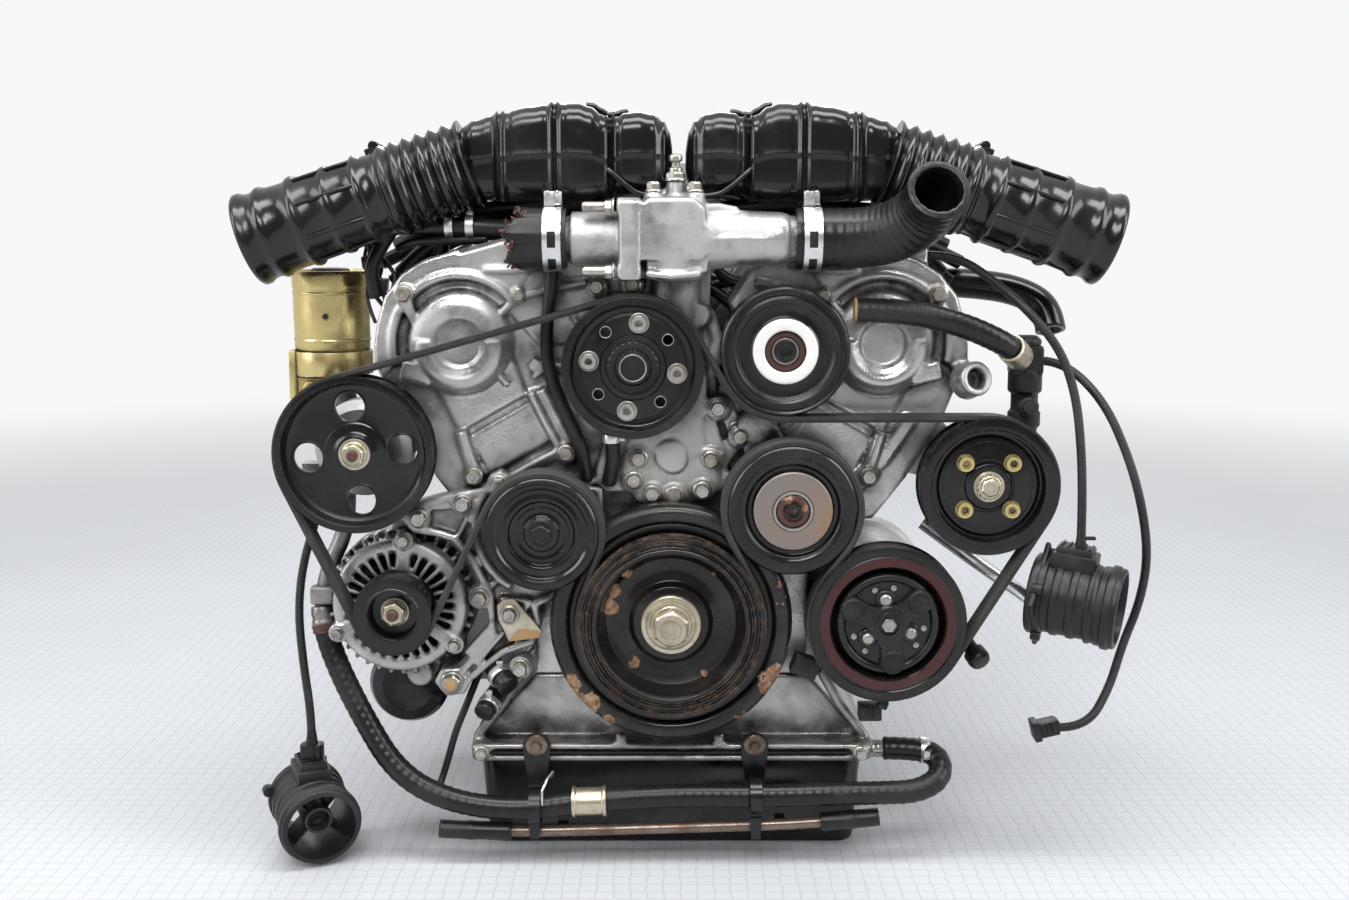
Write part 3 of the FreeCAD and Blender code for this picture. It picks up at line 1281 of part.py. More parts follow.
def make_bolts():
    """Cover bolts and the three idler posts, each a solid of its own."""
    bolts = []
    lap = S.timing_front - 8
    for index, spot in enumerate(((-50, 140), (36, 140), (-30, 120), (-14, 118), (12, 118), (28, 120), (44, 164))):
        bolts.append(flange_bolt("lap_bolt_%d" % index, spot, lap))
    for side in (-1, 1):
        for index, (across, along) in enumerate(((98, 215), (98, 258), (58, 357), (-88, 275), (10, 352))):
            spot = bank(across, along, side)
            bolts.append(flange_bolt("timing_bolt_%d_%d" % (side, index), spot, S.timing_front))
    bracket = S.timing_front - 13
    for index, spot in enumerate(((-184, 101), (-212, 93), (-161, 112), (-148, -8), (-192, -74))):
        bolts.append(flange_bolt("bracket_bolt_%d" % index, spot, bracket))
    front = S.belt_plane - S.rim_width / 2
    for key, seat, depth in (("left_idler", S.timing_front - 15, 5), ("upper_idler", S.timing_front - 13, 5),
                             ("tensioner", S.timing_front - 12, 5)):
        wheel = WHEELS[key]
        post = cylinder(key + "_post", S.bearing_radius, seat - front, (wheel.x, front, wheel.z))
        head = hexagon(key + "_head", 12, 7, (wheel.x, front + 1, wheel.z))
        bolts.append(fuse(key + "_bolt", post, head))
    node("cover_bolts", group("cover_bolts", bolts))


# Hoses, pipes and harness

COOLER_ROUTE = [(-284, -646, 104), (-284, -646, 76), (-303, -648, 38), (-310, -650, 0), (-300, -656, -38),
                (-274, -668, -88), (-240, -684, -138), (-192, -690, -162), (-132, -690, -169),
                (-71, -690, -160), (8, -690, -155), (78, -690, -156), (139, -690, -154), (185, -690, -153),
                (216, -690, -152), (238, -682, -142), (238, -664, -128), (216, -655, -125), (190, -655, -125)]
PIPE_ROUTE = [(-203, -690, -186), (-146, -690, -189), (-60, -690, -187), (40, -690, -184), (125, -690, -181),
              (182, -690, -175)]
HEATER_ROUTE = [(154, -688, 268), (191, -689, 268), (238, -689, 258), (276, -686, 242), (294, -674, 230),
                (302, -650, 222)]
LEFT_HARNESS = [(-312, -640, 108), (-312, -640, 84), (-326, -642, 44), (-330, -652, 0), (-324, -662, -50),
                (-318, -668, -86), (-318, -668, -112)]
RIGHT_HARNESS = [(222, -640, 312), (246, -640, 312), (280, -652, 288), (306, -674, 262), (329, -682, 232),
                 (342, -684, 194), (346, -692, 150), (346, -702, 104), (346, -702, 70)]
SENSOR_HARNESS = [(318, -650, 222), (338, -650, 222), (366, -680, 192), (386, -694, 144), (400, -694, 98),
                  (409, -684, 54), (408, -670, 12), (396, -666, -26), (382, -680, -62), (358, -700, -90),
                  (334, -700, -90)]


def make_hoses():
    node("cooler_hose", solid("cooler_hose", tube(COOLER_ROUTE, S.cooler_hose_radius)))
    rod = tube(PIPE_ROUTE, S.cooler_pipe_radius)
    cuffs = [tube(run, S.cooler_pipe_radius + 3) for run in (PIPE_ROUTE[:2], PIPE_ROUTE[-2:])]
    node("cooler_pipe", solid("cooler_pipe", rod.multiFuse(cuffs)))
    valve = Part.makeBox(40, 40, 40, Vector(294, -670, 202))
    node("heater_hose", solid("heater_hose", tube(HEATER_ROUTE, S.cooler_hose_radius).cut(valve)))
    straps = []
    for index, (across, rail) in enumerate(((-119, -124), (74, -124))):
        plate = box("strap_plate_%d" % index, (across - 12, S.rail_front - 3, -166), (across + 12, S.rail_front, rail + 8))
        grip = box("strap_grip_%d" % index, (across - 14, S.rail_front - 38, -194), (across + 6, S.rail_front - 3, -143))
        straps.append(fuse("strap_%d" % index, plate, grip))
    hose_bed = tube(COOLER_ROUTE, S.cooler_hose_radius + S.belt_gap)
    pipe_bed = tube(PIPE_ROUTE, S.cooler_pipe_radius + S.belt_gap)
    beds = [solid("hose_bed", hose_bed), solid("pipe_bed", pipe_bed)]
    node("hose_brackets", group("hose_brackets", [
        cut("strap_%d_cut" % index, strap, group("strap_beds_%d" % index, beds))
        for index, strap in enumerate(straps)]))


def meter(name, at, axis, connector):
    """An airflow meter: open round throat, box on its side and a connector."""
    ring_out, ring_in = 34, 29
    start = Vector(*[float(value) for value in at])
    pieces = [Part.makeCylinder(ring_out, 26, start - axis * 36, axis),
              Part.makeCylinder(ring_out - 3, 46, start - axis * 12, axis),
              Part.makeCylinder(ring_out + 2, 6, start - axis * 30, axis)]
    shape = pieces[0].multiFuse(pieces[1:])
    block = Part.makeBox(30, 34, 22, start + Vector(-15, -17, 26))
    plug = Part.makeCylinder(8, 18, Vector(*connector) - UP * 18, UP)
    shape = shape.multiFuse([block, plug])
    shape = shape.cut(Part.makeCylinder(ring_in, 90, start - axis * 40, axis))
    node(name, solid(name, shape))


def make_harness():
    node("harness_left", solid("harness_left", tube(LEFT_HARNESS, S.conduit_radius)))
    node("harness_right", solid("harness_right", tube(RIGHT_HARNESS, S.conduit_radius)))
    node("harness_sensor", solid("harness_sensor", tube(SENSOR_HARNESS, S.conduit_radius)))
    meter("airflow_meter_left", (-318, -672, -176), Vector(-0.42, 0.9, 0.1).normalize(), LEFT_HARNESS[-1])
    meter("airflow_meter_right", (346, -700, 22), Vector(-0.9, 0.42, 0.1).normalize(), RIGHT_HARNESS[-1])
    node("sensor_plug", solid("sensor_plug", Part.makeBox(22, 18, 12, Vector(312, -709, -96))))


def build():
    make_crank_parts()
    make_drive_plate()
    make_fan_pulley()
    make_steering_pulley()
    make_alternator_pulley()
    make_hydraulic_pulley()
    make_compressor_pulleys()
    make_idlers()
    make_belt()
    make_block()
    make_heads()
    make_cam_covers()
    make_timing_covers()
    make_front_cover()
    make_pans()
    make_water_pump()
    make_outlet()
    make_air_boxes()
    make_air_ducts()
    make_throttles()
    make_manifold()
    make_alternator()
    make_bracket()
    make_steering_pump()
    make_hydraulic_pump()
    make_compressor()
    make_filter()
    make_tensioner_arm()
    make_bolts()
    make_hoses()
    make_harness()


def check_and_export():
    doc.recompute()
    faults = [item.Label for item in doc.Objects if "Invalid" in item.State or "Error" in item.State]
    if faults:
        raise RuntimeError("failed objects: " + ", ".join(faults))
    for piece in nodes:
        shape = piece.Shape
        if shape.isNull() or not shape.isValid() or not shape.Solids:
            raise RuntimeError("bad shape: " + piece.Label)
    os.makedirs("parts", exist_ok=True)
    for piece in nodes:
        piece.Shape.exportStep("parts/%s.step" % piece.Label)
    print("%d nodes" % len(nodes))


build()
check_and_export()
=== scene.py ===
import random
from math import atan2, cos, degrees, exp, hypot, pi, radians, sin, sqrt

import bmesh
import bpy
from mathutils import Matrix, Vector


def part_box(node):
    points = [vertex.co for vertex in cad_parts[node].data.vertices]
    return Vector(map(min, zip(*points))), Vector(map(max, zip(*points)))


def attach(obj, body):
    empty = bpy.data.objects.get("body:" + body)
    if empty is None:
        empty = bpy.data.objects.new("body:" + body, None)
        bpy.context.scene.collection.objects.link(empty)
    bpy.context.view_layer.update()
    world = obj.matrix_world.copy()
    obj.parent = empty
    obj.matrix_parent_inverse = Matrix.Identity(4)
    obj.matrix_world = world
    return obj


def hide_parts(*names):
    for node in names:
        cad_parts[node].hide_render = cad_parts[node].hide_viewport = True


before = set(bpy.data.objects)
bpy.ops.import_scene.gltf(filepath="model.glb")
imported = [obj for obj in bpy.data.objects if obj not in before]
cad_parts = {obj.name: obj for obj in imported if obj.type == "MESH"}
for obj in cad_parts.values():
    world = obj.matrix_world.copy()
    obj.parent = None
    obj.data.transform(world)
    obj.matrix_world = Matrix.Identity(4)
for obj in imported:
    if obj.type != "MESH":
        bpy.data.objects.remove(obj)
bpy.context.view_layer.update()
scene = bpy.context.scene
scene.view_settings.view_transform = "Standard"

# All shapes below are written in millimetres and scaled once when they become pieces
MM = 0.001
FRONT = Vector((0, -1, 0))
REAR = Vector((0, 1, 0))
UP = Vector((0, 0, 1))
RIGHT = Vector((1, 0, 0))
SIDES = {"left": -1, "right": 1}
BELT_PLANE = -690.0

# Each belt wheel's centre across and up, and its radius
WHEELS = {
    "crank": (0.0, 0.0, 80.0),
    "fan": (-31.6, 220.8, 59.5),
    "steering": (-266.0, 147.6, 66.5),
    "alternator": (-237.0, 9.7, 33.7),
    "hydraulic": (267.4, 120.5, 58.2),
    "compressor": (184.9, 2.3, 67.0),
    "upper_idler": (95.0, 234.5, 54.0),
    "left_idler": (-109.5, 79.5, 48.5),
    "tensioner": (102.9, 100.0, 55.0),
}


# Camera, in front of the pulleys and a little above them

eye = bpy.data.cameras.new("front_camera")
eye.lens = 40.03
eye.clip_end = 50
camera = bpy.data.objects.new("front_camera", eye)
camera.location = (0.003, -1.941, 0.344)
camera.rotation_euler = (radians(90 - 8.8), 0, 0)
scene.collection.objects.link(camera)
scene.camera = camera


# Shader wiring

def put(tree, kind, settings=None, inputs=None):
    """Adds one shader node, with its settings and its inputs, each a value or another node's socket."""
    made = tree.nodes.new("ShaderNode" + kind)
    for key, value in (settings or {}).items():
        setattr(made, key, value)
    for key, value in (inputs or {}).items():
        if isinstance(value, bpy.types.NodeSocket):
            tree.links.new(value, made.inputs[key])
        else:
            made.inputs[key].default_value = value
    return made


def calculate(tree, operation, *values, clamp=False):
    return put(tree, "Math", {"operation": operation, "use_clamp": clamp}, dict(enumerate(values))).outputs[0]


def times(tree, *values, clamp=False):
    return calculate(tree, "MULTIPLY", *values, clamp=clamp)


def plus(tree, *values, clamp=False):
    return calculate(tree, "ADD", *values, clamp=clamp)


def mix_colour(tree, mask, under, over):
    return put(tree, "Mix", {"data_type": "RGBA"}, {0: mask, 6: under, 7: over}).outputs[2]


def mix_value(tree, mask, under, over):
    return put(tree, "Mix", {}, {0: mask, 2: under, 3: over}).outputs[0]


def tint(red, green, blue):
    return (red, green, blue, 1)


def dimmed(colour, share):
    return [share * part for part in colour[:3]] + [1]


def noise_field(tree, scale, detail=3.0, rough=0.55, shift=None):
    """Noise over the object's own coordinates, in metres."""
    spot = put(tree, "TexCoord").outputs["Object"]
    if shift:
        spot = put(tree, "Mapping", {}, {"Vector": spot, "Location": shift}).outputs[0]
    return put(tree, "TexNoise", {}, {"Vector": spot, "Scale": scale, "Detail": detail,
        "Roughness": rough}).outputs["Fac"]


def span(tree, value, low, high, start=0.0, end=1.0):
    made = put(tree, "MapRange", {"interpolation_type": "SMOOTHSTEP"}, {"Value": value, "From Min": low,
        "From Max": high, "To Min": start, "To Max": end})
    return made.outputs[0]


def shader_group(name, inputs, outputs):
    tree = bpy.data.node_groups.new(name, "ShaderNodeTree")
    for label, value in inputs.items():
        tree.interface.new_socket(label, in_out="INPUT", socket_type="NodeSocketFloat").default_value = value
    for label in outputs:
        tree.interface.new_socket(label, in_out="OUTPUT", socket_type="NodeSocketFloat")
    return tree, tree.nodes.new("NodeGroupInput").outputs, tree.nodes.new("NodeGroupOutput").inputs


def corner_shade_and_dirt():
    """Painted shade in corners and hollows, taken from ambient occlusion and broken up by noise so that it
    also stands for the oil and dust gathered there.
    """
    tree, given, out = shader_group("corner_shade_and_dirt", {"Reach": 0.02, "Strength": 1.0}, ["Mask"])
    # painted shade: ambient occlusion darkens the colour in corners and hollows, where shade falls
    hollow = put(tree, "AmbientOcclusion", {"samples": 6}, {"Distance": given["Reach"]}).outputs["AO"]
    closed = calculate(tree, "SUBTRACT", 1.0, hollow)
    broken = span(tree, noise_field(tree, 60, 4), 0.3, 0.7, 0.4, 1.5)
    mask = times(tree, times(tree, closed, broken), given["Strength"], clamp=True)
    tree.links.new(mask, out["Mask"])
    return tree


def stain_patches():
    """Soft patches of any size, between two noise levels."""
    tree, given, out = shader_group("stain_patches", {"Scale": 12.0, "Low": 0.45, "High": 0.65, "Seed": 0.0},
        ["Mask"])
    spot = put(tree, "TexCoord").outputs["Object"]
    moved = put(tree, "VectorMath", {"operation": "ADD"}, {0: spot}).outputs[0]
    seed = put(tree, "CombineXYZ", {}, {"X": given["Seed"], "Y": given["Seed"],
        "Z": given["Seed"]}).outputs[0]
    tree.links.new(seed, moved.node.inputs[1])
    field = put(tree, "TexNoise", {}, {"Vector": moved, "Scale": given["Scale"], "Detail": 5.0,
        "Roughness": 0.6}).outputs["Fac"]
    made = put(tree, "MapRange", {"interpolation_type": "SMOOTHSTEP"}, {"Value": field,
        "From Min": given["Low"], "From Max": given["High"]})
    tree.links.new(made.outputs[0], out["Mask"])
    return tree


def worn_edges():
    """Edges rubbed or chipped through to what lies under them."""
    tree, given, out = shader_group("worn_edges", {"Width": 0.0015, "Coverage": 0.5}, ["Mask"])
    soft = put(tree, "Bevel", {"samples": 4}, {"Radius": given["Width"]}).outputs[0]
    hard = put(tree, "NewGeometry").outputs["Normal"]
    across = put(tree, "VectorMath", {"operation": "DOT_PRODUCT"}, {0: soft, 1: hard}).outputs["Value"]
    edge = span(tree, across, 0.97, 0.8)
    chips = calculate(tree, "LESS_THAN", noise_field(tree, 160, 4), given["Coverage"])
    tree.links.new(times(tree, edge, chips), out["Mask"])
    return tree


def cast_skin():
    """Height of a sand-cast skin: fine grain, shallow waves and a few pits."""
    tree, given, out = shader_group("cast_skin", {"Grain": 700.0}, ["Height"])
    spot = put(tree, "TexCoord").outputs["Object"]
    grain = put(tree, "TexNoise", {}, {"Vector": spot, "Scale": given["Grain"], "Detail": 3.0}).outputs["Fac"]
    waves = noise_field(tree, 70, 2)
    pits = span(tree, noise_field(tree, 240, 1), 0.7, 0.8, 0.0, -0.7)
    height = plus(tree, times(tree, waves, 1.5), plus(tree, grain, pits))
    tree.links.new(height, out["Height"])
    return tree


# the corner mask is painted shade, broken up like oil and dust
CORNER_SHADE_AND_DIRT = corner_shade_and_dirt()
PATCHES = stain_patches()
EDGES = worn_edges()
SKIN = cast_skin()


def use(tree, group, **inputs):
    made = tree.nodes.new("ShaderNodeGroup")
    made.node_tree = group
    for key, value in inputs.items():
        made.inputs[key].default_value = value
    return made.outputs[0]


def finish_named(name, **shader_inputs):
    """A material with its shader, ready for wiring."""
    made = bpy.data.materials.new(name)
    made.use_nodes = True
    tree = made.node_tree
    shader = tree.nodes["Principled BSDF"]
    for key, value in shader_inputs.items():
        shader.inputs[key.replace("_", " ")].default_value = value
    return made, tree, shader


def bump(tree, shader, height, strength, distance=0.001):
    made = put(tree, "Bump", {}, {"Height": height, "Strength": strength, "Distance": distance})
    tree.links.new(made.outputs[0], shader.inputs["Normal"])


def feed(tree, shader, **sockets):
    for key, socket in sockets.items():
        tree.links.new(socket, shader.inputs[key.replace("_", " ")])


def cast_metal(name, light, stain=0.5, seed=0.0, rough=0.4, shade_and_oil=1.6, reach=0.02):
    """Sand-cast aluminium under old oil: pale where wiped, brown-black in corners with painted shade mixed
    with oil, and wet in patches.
    """
    made, tree, shader = finish_named(name, Specular_IOR_Level=0.5)
    corner = use(tree, CORNER_SHADE_AND_DIRT, Reach=reach, Strength=shade_and_oil)
    broad = use(tree, PATCHES, Scale=9.0, Low=0.62 - 0.25 * stain, High=0.78, Seed=seed)
    small = use(tree, PATCHES, Scale=45.0, Low=0.52, High=0.72, Seed=seed + 3)
    shade = mix_colour(tree, small, light, dimmed(light, 0.72))
    film = times(tree, broad, 0.55 * stain + 0.1)
    brown = mix_colour(tree, film, shade, tint(0.09, 0.075, 0.06))
    # painted shade mixed with oil: corners turn brown-black and lose their metal look
    black = mix_colour(tree, corner, brown, tint(0.018, 0.014, 0.011))
    metal = mix_value(tree, corner, 0.85, 0.1)
    wet = use(tree, PATCHES, Scale=14.0, Low=0.45, High=0.6, Seed=seed + 7)
    gloss = mix_value(tree, wet, rough + 0.1, rough - 0.15)
    feed(tree, shader, Base_Color=black, Metallic=metal, Roughness=gloss)
    bump(tree, shader, use(tree, SKIN, Grain=700.0), 0.22)
    return made


def black_coating(name, colour, under, chips=0.42, rough=0.32, seed=0.0):
    """Black paint on a turned pulley: oily, with chips along its edges and dull dust."""
    made, tree, shader = finish_named(name, Specular_IOR_Level=0.42, Coat_Weight=0.08, Coat_Roughness=0.12)
    chip = use(tree, EDGES, Width=0.0012, Coverage=chips)
    dust = use(tree, PATCHES, Scale=26.0, Low=0.5, High=0.75, Seed=seed)
    wet = use(tree, PATCHES, Scale=11.0, Low=0.42, High=0.6, Seed=seed + 5)
    dusty = mix_colour(tree, times(tree, dust, 0.2), colour, tint(0.07, 0.062, 0.055))
    feed(tree, shader, Base_Color=mix_colour(tree, chip, dusty, under), Roughness=mix_value(tree, chip,
        mix_value(tree, wet, rough + 0.12, rough - 0.14), 0.7))
    bump(tree, shader, noise_field(tree, 420, 3), 0.08)
    return made


def moulded(name, colour, rough, ripple=0.06, dust=0.25, seed=0.0, coat=0.0):
    """Moulded plastic or rubber under an uneven film of oil and dust."""
    made, tree, shader = finish_named(name, Specular_IOR_Level=0.4, Coat_Weight=coat, Coat_Roughness=0.1)
    film = use(tree, PATCHES, Scale=16.0, Low=0.45, High=0.7, Seed=seed)
    specks = use(tree, PATCHES, Scale=120.0, Low=0.6, High=0.75, Seed=seed + 2)
    powder = times(tree, plus(tree, film, specks, clamp=True), dust)
    feed(tree, shader, Base_Color=mix_colour(tree, powder, colour, tint(0.11, 0.1, 0.09)),
        Roughness=mix_value(tree, film, rough, min(1.0, rough + 0.18)))
    waves = noise_field(tree, 45, 2)
    grain = times(tree, noise_field(tree, 900, 2), 0.25)
    bump(tree, shader, plus(tree, waves, grain), ripple, 0.002)
    return made


def plated(name, colour, dirt=0.5, rough=0.3, seed=0.0, metal=0.95, dull=tint(0.16, 0.12, 0.08), scale=55.0):
    """Plated or bare steel with tarnish, painted shade mixed with dirt in its corners, and small scratches.
    """
    made, tree, shader = finish_named(name)
    corner = use(tree, CORNER_SHADE_AND_DIRT, Reach=0.006, Strength=1.3)
    tarnish = use(tree, PATCHES, Scale=scale, Low=0.4, High=0.7, Seed=seed)
    worn = mix_colour(tree, times(tree, tarnish, dirt), colour, dull)
    # painted shade mixed with dirt: corners turn near-black and lose their metal look
    feed(tree, shader, Base_Color=mix_colour(tree, corner, worn, tint(0.02, 0.016, 0.012)),
        Metallic=mix_value(tree, corner, metal, 0.2), Roughness=mix_value(tree, tarnish, rough, rough + 0.22))
    bump(tree, shader, noise_field(tree, 800, 3), 0.08)
    return made


def rusted(name, paint, amount, seed=0.0, bare=()):
    """Old black paint that flakes off to tan and orange rust in irregular spots.

    Each place in bare, given as across, up and reach in millimetres from the crank, has lost more of it.
    """
    made, tree, shader = finish_named(name, Specular_IOR_Level=0.4, Coat_Weight=0.08, Coat_Roughness=0.15)
    broad = noise_field(tree, 16, 2, shift=(seed, seed, 0))
    flakes = noise_field(tree, 75, 6, 0.62, shift=(0, seed, seed))
    level = plus(tree, times(tree, broad, 0.7), times(tree, flakes, 0.5))
    here = put(tree, "TexCoord").outputs["Object"]
    for across, up, reach in bare:
        flat = put(tree, "VectorMath", {"operation": "MULTIPLY"}, {0: here, 1: (1, 0, 1)}).outputs[0]
        gap = put(tree, "VectorMath", {"operation": "DISTANCE"}, {0: flat, 1: (across * MM, 0,
            up * MM)}).outputs["Value"]
        level = plus(tree, level, span(tree, gap, reach * MM, reach * MM * 0.3, 0.0, 0.22))
    edge = use(tree, EDGES, Width=0.0016, Coverage=0.5)
    spot = calculate(tree, "MAXIMUM", span(tree, level, amount, amount + 0.012), times(tree, edge, 0.9))
    tone = noise_field(tree, 130, 4)
    rust = mix_colour(tree, span(tree, tone, 0.4, 0.62), tint(0.15, 0.07, 0.035), tint(0.36, 0.235, 0.14))
    dust = use(tree, PATCHES, Scale=22.0, Low=0.45, High=0.7, Seed=seed)
    skin = mix_colour(tree, times(tree, dust, 0.4), paint, tint(0.05, 0.043, 0.036))
    wet = use(tree, PATCHES, Scale=12.0, Low=0.42, High=0.58, Seed=seed + 4)
    feed(tree, shader, Base_Color=mix_colour(tree, spot, skin, rust), Roughness=mix_value(tree, spot,
        mix_value(tree, wet, 0.42, 0.2), 0.75))
    bump(tree, shader, calculate(tree, "SUBTRACT", times(tree, noise_field(tree, 500, 3), 0.3), spot), 0.25,
        0.0006)
    return made


# each casting darkens in its corners with painted shade mixed with oil
CAST = {
    "block": cast_metal("block_casting", tint(0.34, 0.33, 0.32), stain=0.8, seed=1.0),
    "cover": cast_metal("cover_casting", tint(0.52, 0.515, 0.505), stain=0.6, seed=4.0, rough=0.38,
        shade_and_oil=1.8),
    "bright": cast_metal("bright_casting", tint(0.47, 0.47, 0.465), stain=0.4, seed=9.0, shade_and_oil=1.4),
    "pan": cast_metal("pan_casting", tint(0.42, 0.41, 0.395), stain=0.75, seed=12.0, rough=0.32, shade_and_oil=2.0,
        reach=0.03),
}
PULLEY_BLACK = black_coating("pulley_black", tint(0.0045, 0.004, 0.0045), tint(0.10, 0.075, 0.06), rough=0.25)
RED_BLACK = black_coating("worn_red_black", tint(0.04, 0.006, 0.007), tint(0.12, 0.06, 0.05), chips=0.35,
    rough=0.25)
DAMPER_BLACK = rusted("damper_black", tint(0.006, 0.0052, 0.005), 0.76, seed=2.0,
    bare=((-86, -54, 16), (-72, -72, 18), (-56, -86, 12), (92, -44, 13), (84, -58, 12), (62, -82, 15)))
FACE_BLACK = rusted("pulley_face_rust", tint(0.006, 0.0045, 0.0045), 0.775, seed=6.0,
    bare=((-52, 12, 12), (-46, 28, 11), (-36, 43, 10), (-31, -36, 9), (28, -46, 5)))
STEEL_BLACK = black_coating("sump_black", tint(0.006, 0.006, 0.0065), tint(0.12, 0.07, 0.04), chips=0.35,
    rough=0.28, seed=3.0)
WET_BLACK = moulded("duct_black", tint(0.0035, 0.0035, 0.004), 0.2, ripple=0.05, dust=0.03, coat=0.25)
DULL_BLACK = moulded("meter_black", tint(0.007, 0.007, 0.0075), 0.4, ripple=0.05, dust=0.16, seed=5.0)
HOSE_RUBBER = moulded("hose_rubber", tint(0.006, 0.006, 0.0065), 0.32, ripple=0.12, dust=0.12, seed=8.0)
BELT_RUBBER = moulded("belt_rubber", tint(0.022, 0.021, 0.02), 0.55, ripple=0.04, dust=0.3, seed=11.0)
CONDUIT_BLACK = moulded("conduit_black", tint(0.011, 0.011, 0.012), 0.38, dust=0.22, seed=13.0)
BARE_STEEL = plated("bare_steel", tint(0.42, 0.41, 0.39), dirt=0.5, seed=2.0)
BOLT_STEEL = plated("bolt_steel", tint(0.52, 0.5, 0.46), dirt=0.7, seed=6.0)
ZINC = plated("yellow_zinc", tint(0.6, 0.55, 0.42), dirt=0.45, seed=8.0)
GOLD = plated("gold_passivate", tint(0.66, 0.54, 0.25), dirt=0.2, rough=0.25, seed=14.0,
    dull=tint(0.4, 0.3, 0.12))
BRIGHT_STEEL = plated("clamp_steel", tint(0.74, 0.74, 0.73), dirt=0.15, rough=0.26, seed=16.0)
RUSTY_PIPE = plated("rusty_pipe", tint(0.22, 0.17, 0.14), dirt=0.8, rough=0.24, seed=9.0, metal=0.7,
    dull=tint(0.09, 0.045, 0.025), scale=40.0)
RAW_RUST = rusted("raw_rust", tint(0.075, 0.032, 0.026), 0.73, seed=21.0)
WHITE_SEAL = plated("white_seal", tint(0.78, 0.775, 0.75), dirt=0.12, rough=0.35, seed=22.0, metal=0.15)
TAN_SEAL = plated("tan_seal", tint(0.22, 0.195, 0.185), dirt=0.95, rough=0.36, seed=29.0, metal=0.5,
    dull=tint(0.3, 0.18, 0.10), scale=17.0)
CUT_CORD = moulded("cut_cord", tint(0.42, 0.26, 0.12), 0.7, ripple=0.3, dust=0.25, seed=31.0)
TORN_CORE = moulded("torn_core", tint(0.095, 0.032, 0.022), 0.75, ripple=0.3, dust=0.35, seed=24.0)
PORT_BLACK = moulded("port_black", tint(0.03, 0.03, 0.031), 0.4, dust=0.3, seed=25.0)


# Shapes, each added to a mesh in the making

def square_to(axis):
    """The axis made unit long, and two directions square to it."""
    axis = Vector(axis).normalized()
    side = RIGHT if abs(axis.x) < 0.8 else UP
    side = (side - axis * side.dot(axis)).normalized()
    return axis, side, axis.cross(side)


def eased(points, reach=0.8):
    """A line whose corners are rounded off."""
    points = [Vector(point) for point in points]
    made = [points[0]]
    for before, here, after in zip(points, points[1:], points[2:]):
        near = min(reach, 0.45 * (here - before).length, 0.45 * (after - here).length)
        if near < 1e-4:
            made.append(here)
            continue
        start = here + (before - here).normalized() * near
        end = here + (after - here).normalized() * near
        made += [start, (start + here * 2 + end) / 4, end]
    return made + [points[-1]]


def skin(work, rows, closed=True):
    """Joins neighbouring rows of vertices with faces."""
    for low, high in zip(rows, rows[1:]):
        count = max(len(low), len(high))
        for index in range(count if closed else count - 1):
            after = (index + 1) % count
            corners = [low[index % len(low)], low[after % len(low)], high[after % len(high)],
                high[index % len(high)]]
            corners = list(dict.fromkeys(corners))
            if len(corners) > 2:
                work.faces.new(corners)


def lathe(work, profile, centre, steps=64, axis=FRONT, turn=0.0, wobble=None):
    """Turns (radius, height) pairs about an axis through centre, with heights along the axis."""
    axis, across, over = square_to(axis)
    rows = []
    for radius, height in profile:
        middle = Vector(centre) + axis * height
        if radius < 1e-4:
            rows.append([work.verts.new(middle)])
            continue
        row = []
        for index in range(steps):
            angle = turn + 2 * pi * index / steps
            reach = radius + (wobble(angle, height) if wobble else 0)
            row.append(work.verts.new(middle + (across * cos(angle) + over * sin(angle)) * reach))
        rows.append(row)
    skin(work, rows)


def closed_lathe(work, profile, centre, steps=64, axis=FRONT):
    lathe(work, list(profile) + [profile[0]], centre, steps, axis)


def spun(work, points, reach, centre, steps=64, axis=FRONT, turn=0.0, wobble=None):
    """A solid turned shape with its corners eased by reach, closed straight to its axis at both ends."""
    first = [] if points[0][0] == 0 else [(0, points[0][1])]
    last = [] if points[-1][0] == 0 else [(0, points[-1][1])]
    lathe(work, eased(first + list(points) + last, reach), centre, steps, axis, turn, wobble)


def hoop(work, points, reach, centre, steps=64, axis=FRONT):
    """The same round an open middle."""
    closed_lathe(work, eased(points, reach), centre, steps, axis)


def oblong(inner, outer, low, high):
    """The corners of a plain ring, from its inside at the low end round to its inside at the high one."""
    return [(inner, low), (outer, low), (outer, high), (inner, high)]


def smooth_line(points, fineness=10):
    """Points along the smooth line that has these control points."""
    data = bpy.data.curves.new("line", "CURVE")
    data.dimensions = "3D"
    data.resolution_u = fineness
    spline = data.splines.new("NURBS")
    spline.points.add(len(points) - 1)
    for made, point in zip(spline.points, points):
        made.co = (*point, 1)
    spline.order_u = 3
    spline.use_endpoint_u = True
    holder = bpy.data.objects.new("line", data)
    mesh = bpy.data.meshes.new_from_object(holder)
    line = [vertex.co.copy() for vertex in mesh.vertices]
    bpy.data.objects.remove(holder)
    bpy.data.meshes.remove(mesh)
    bpy.data.curves.remove(data)
    return line


def run_length(line):
    return sum((after - here).length for here, after in zip(line, line[1:]))


def spaced(line, step):
    """The same line with its points an even step apart."""
    total = run_length(line)
    count = max(2, round(total / step))
    made = []
    index = 0
    passed = 0.0
    for number in range(count + 1):
        wanted = total * number / count
        while index < len(line) - 2 and passed + (line[index + 1] - line[index]).length < wanted:
            passed += (line[index + 1] - line[index]).length
            index += 1
        reach = (line[index + 1] - line[index]).length or 1.0
        made.append(line[index].lerp(line[index + 1], min(1.0, (wanted - passed) / reach)))
    return made


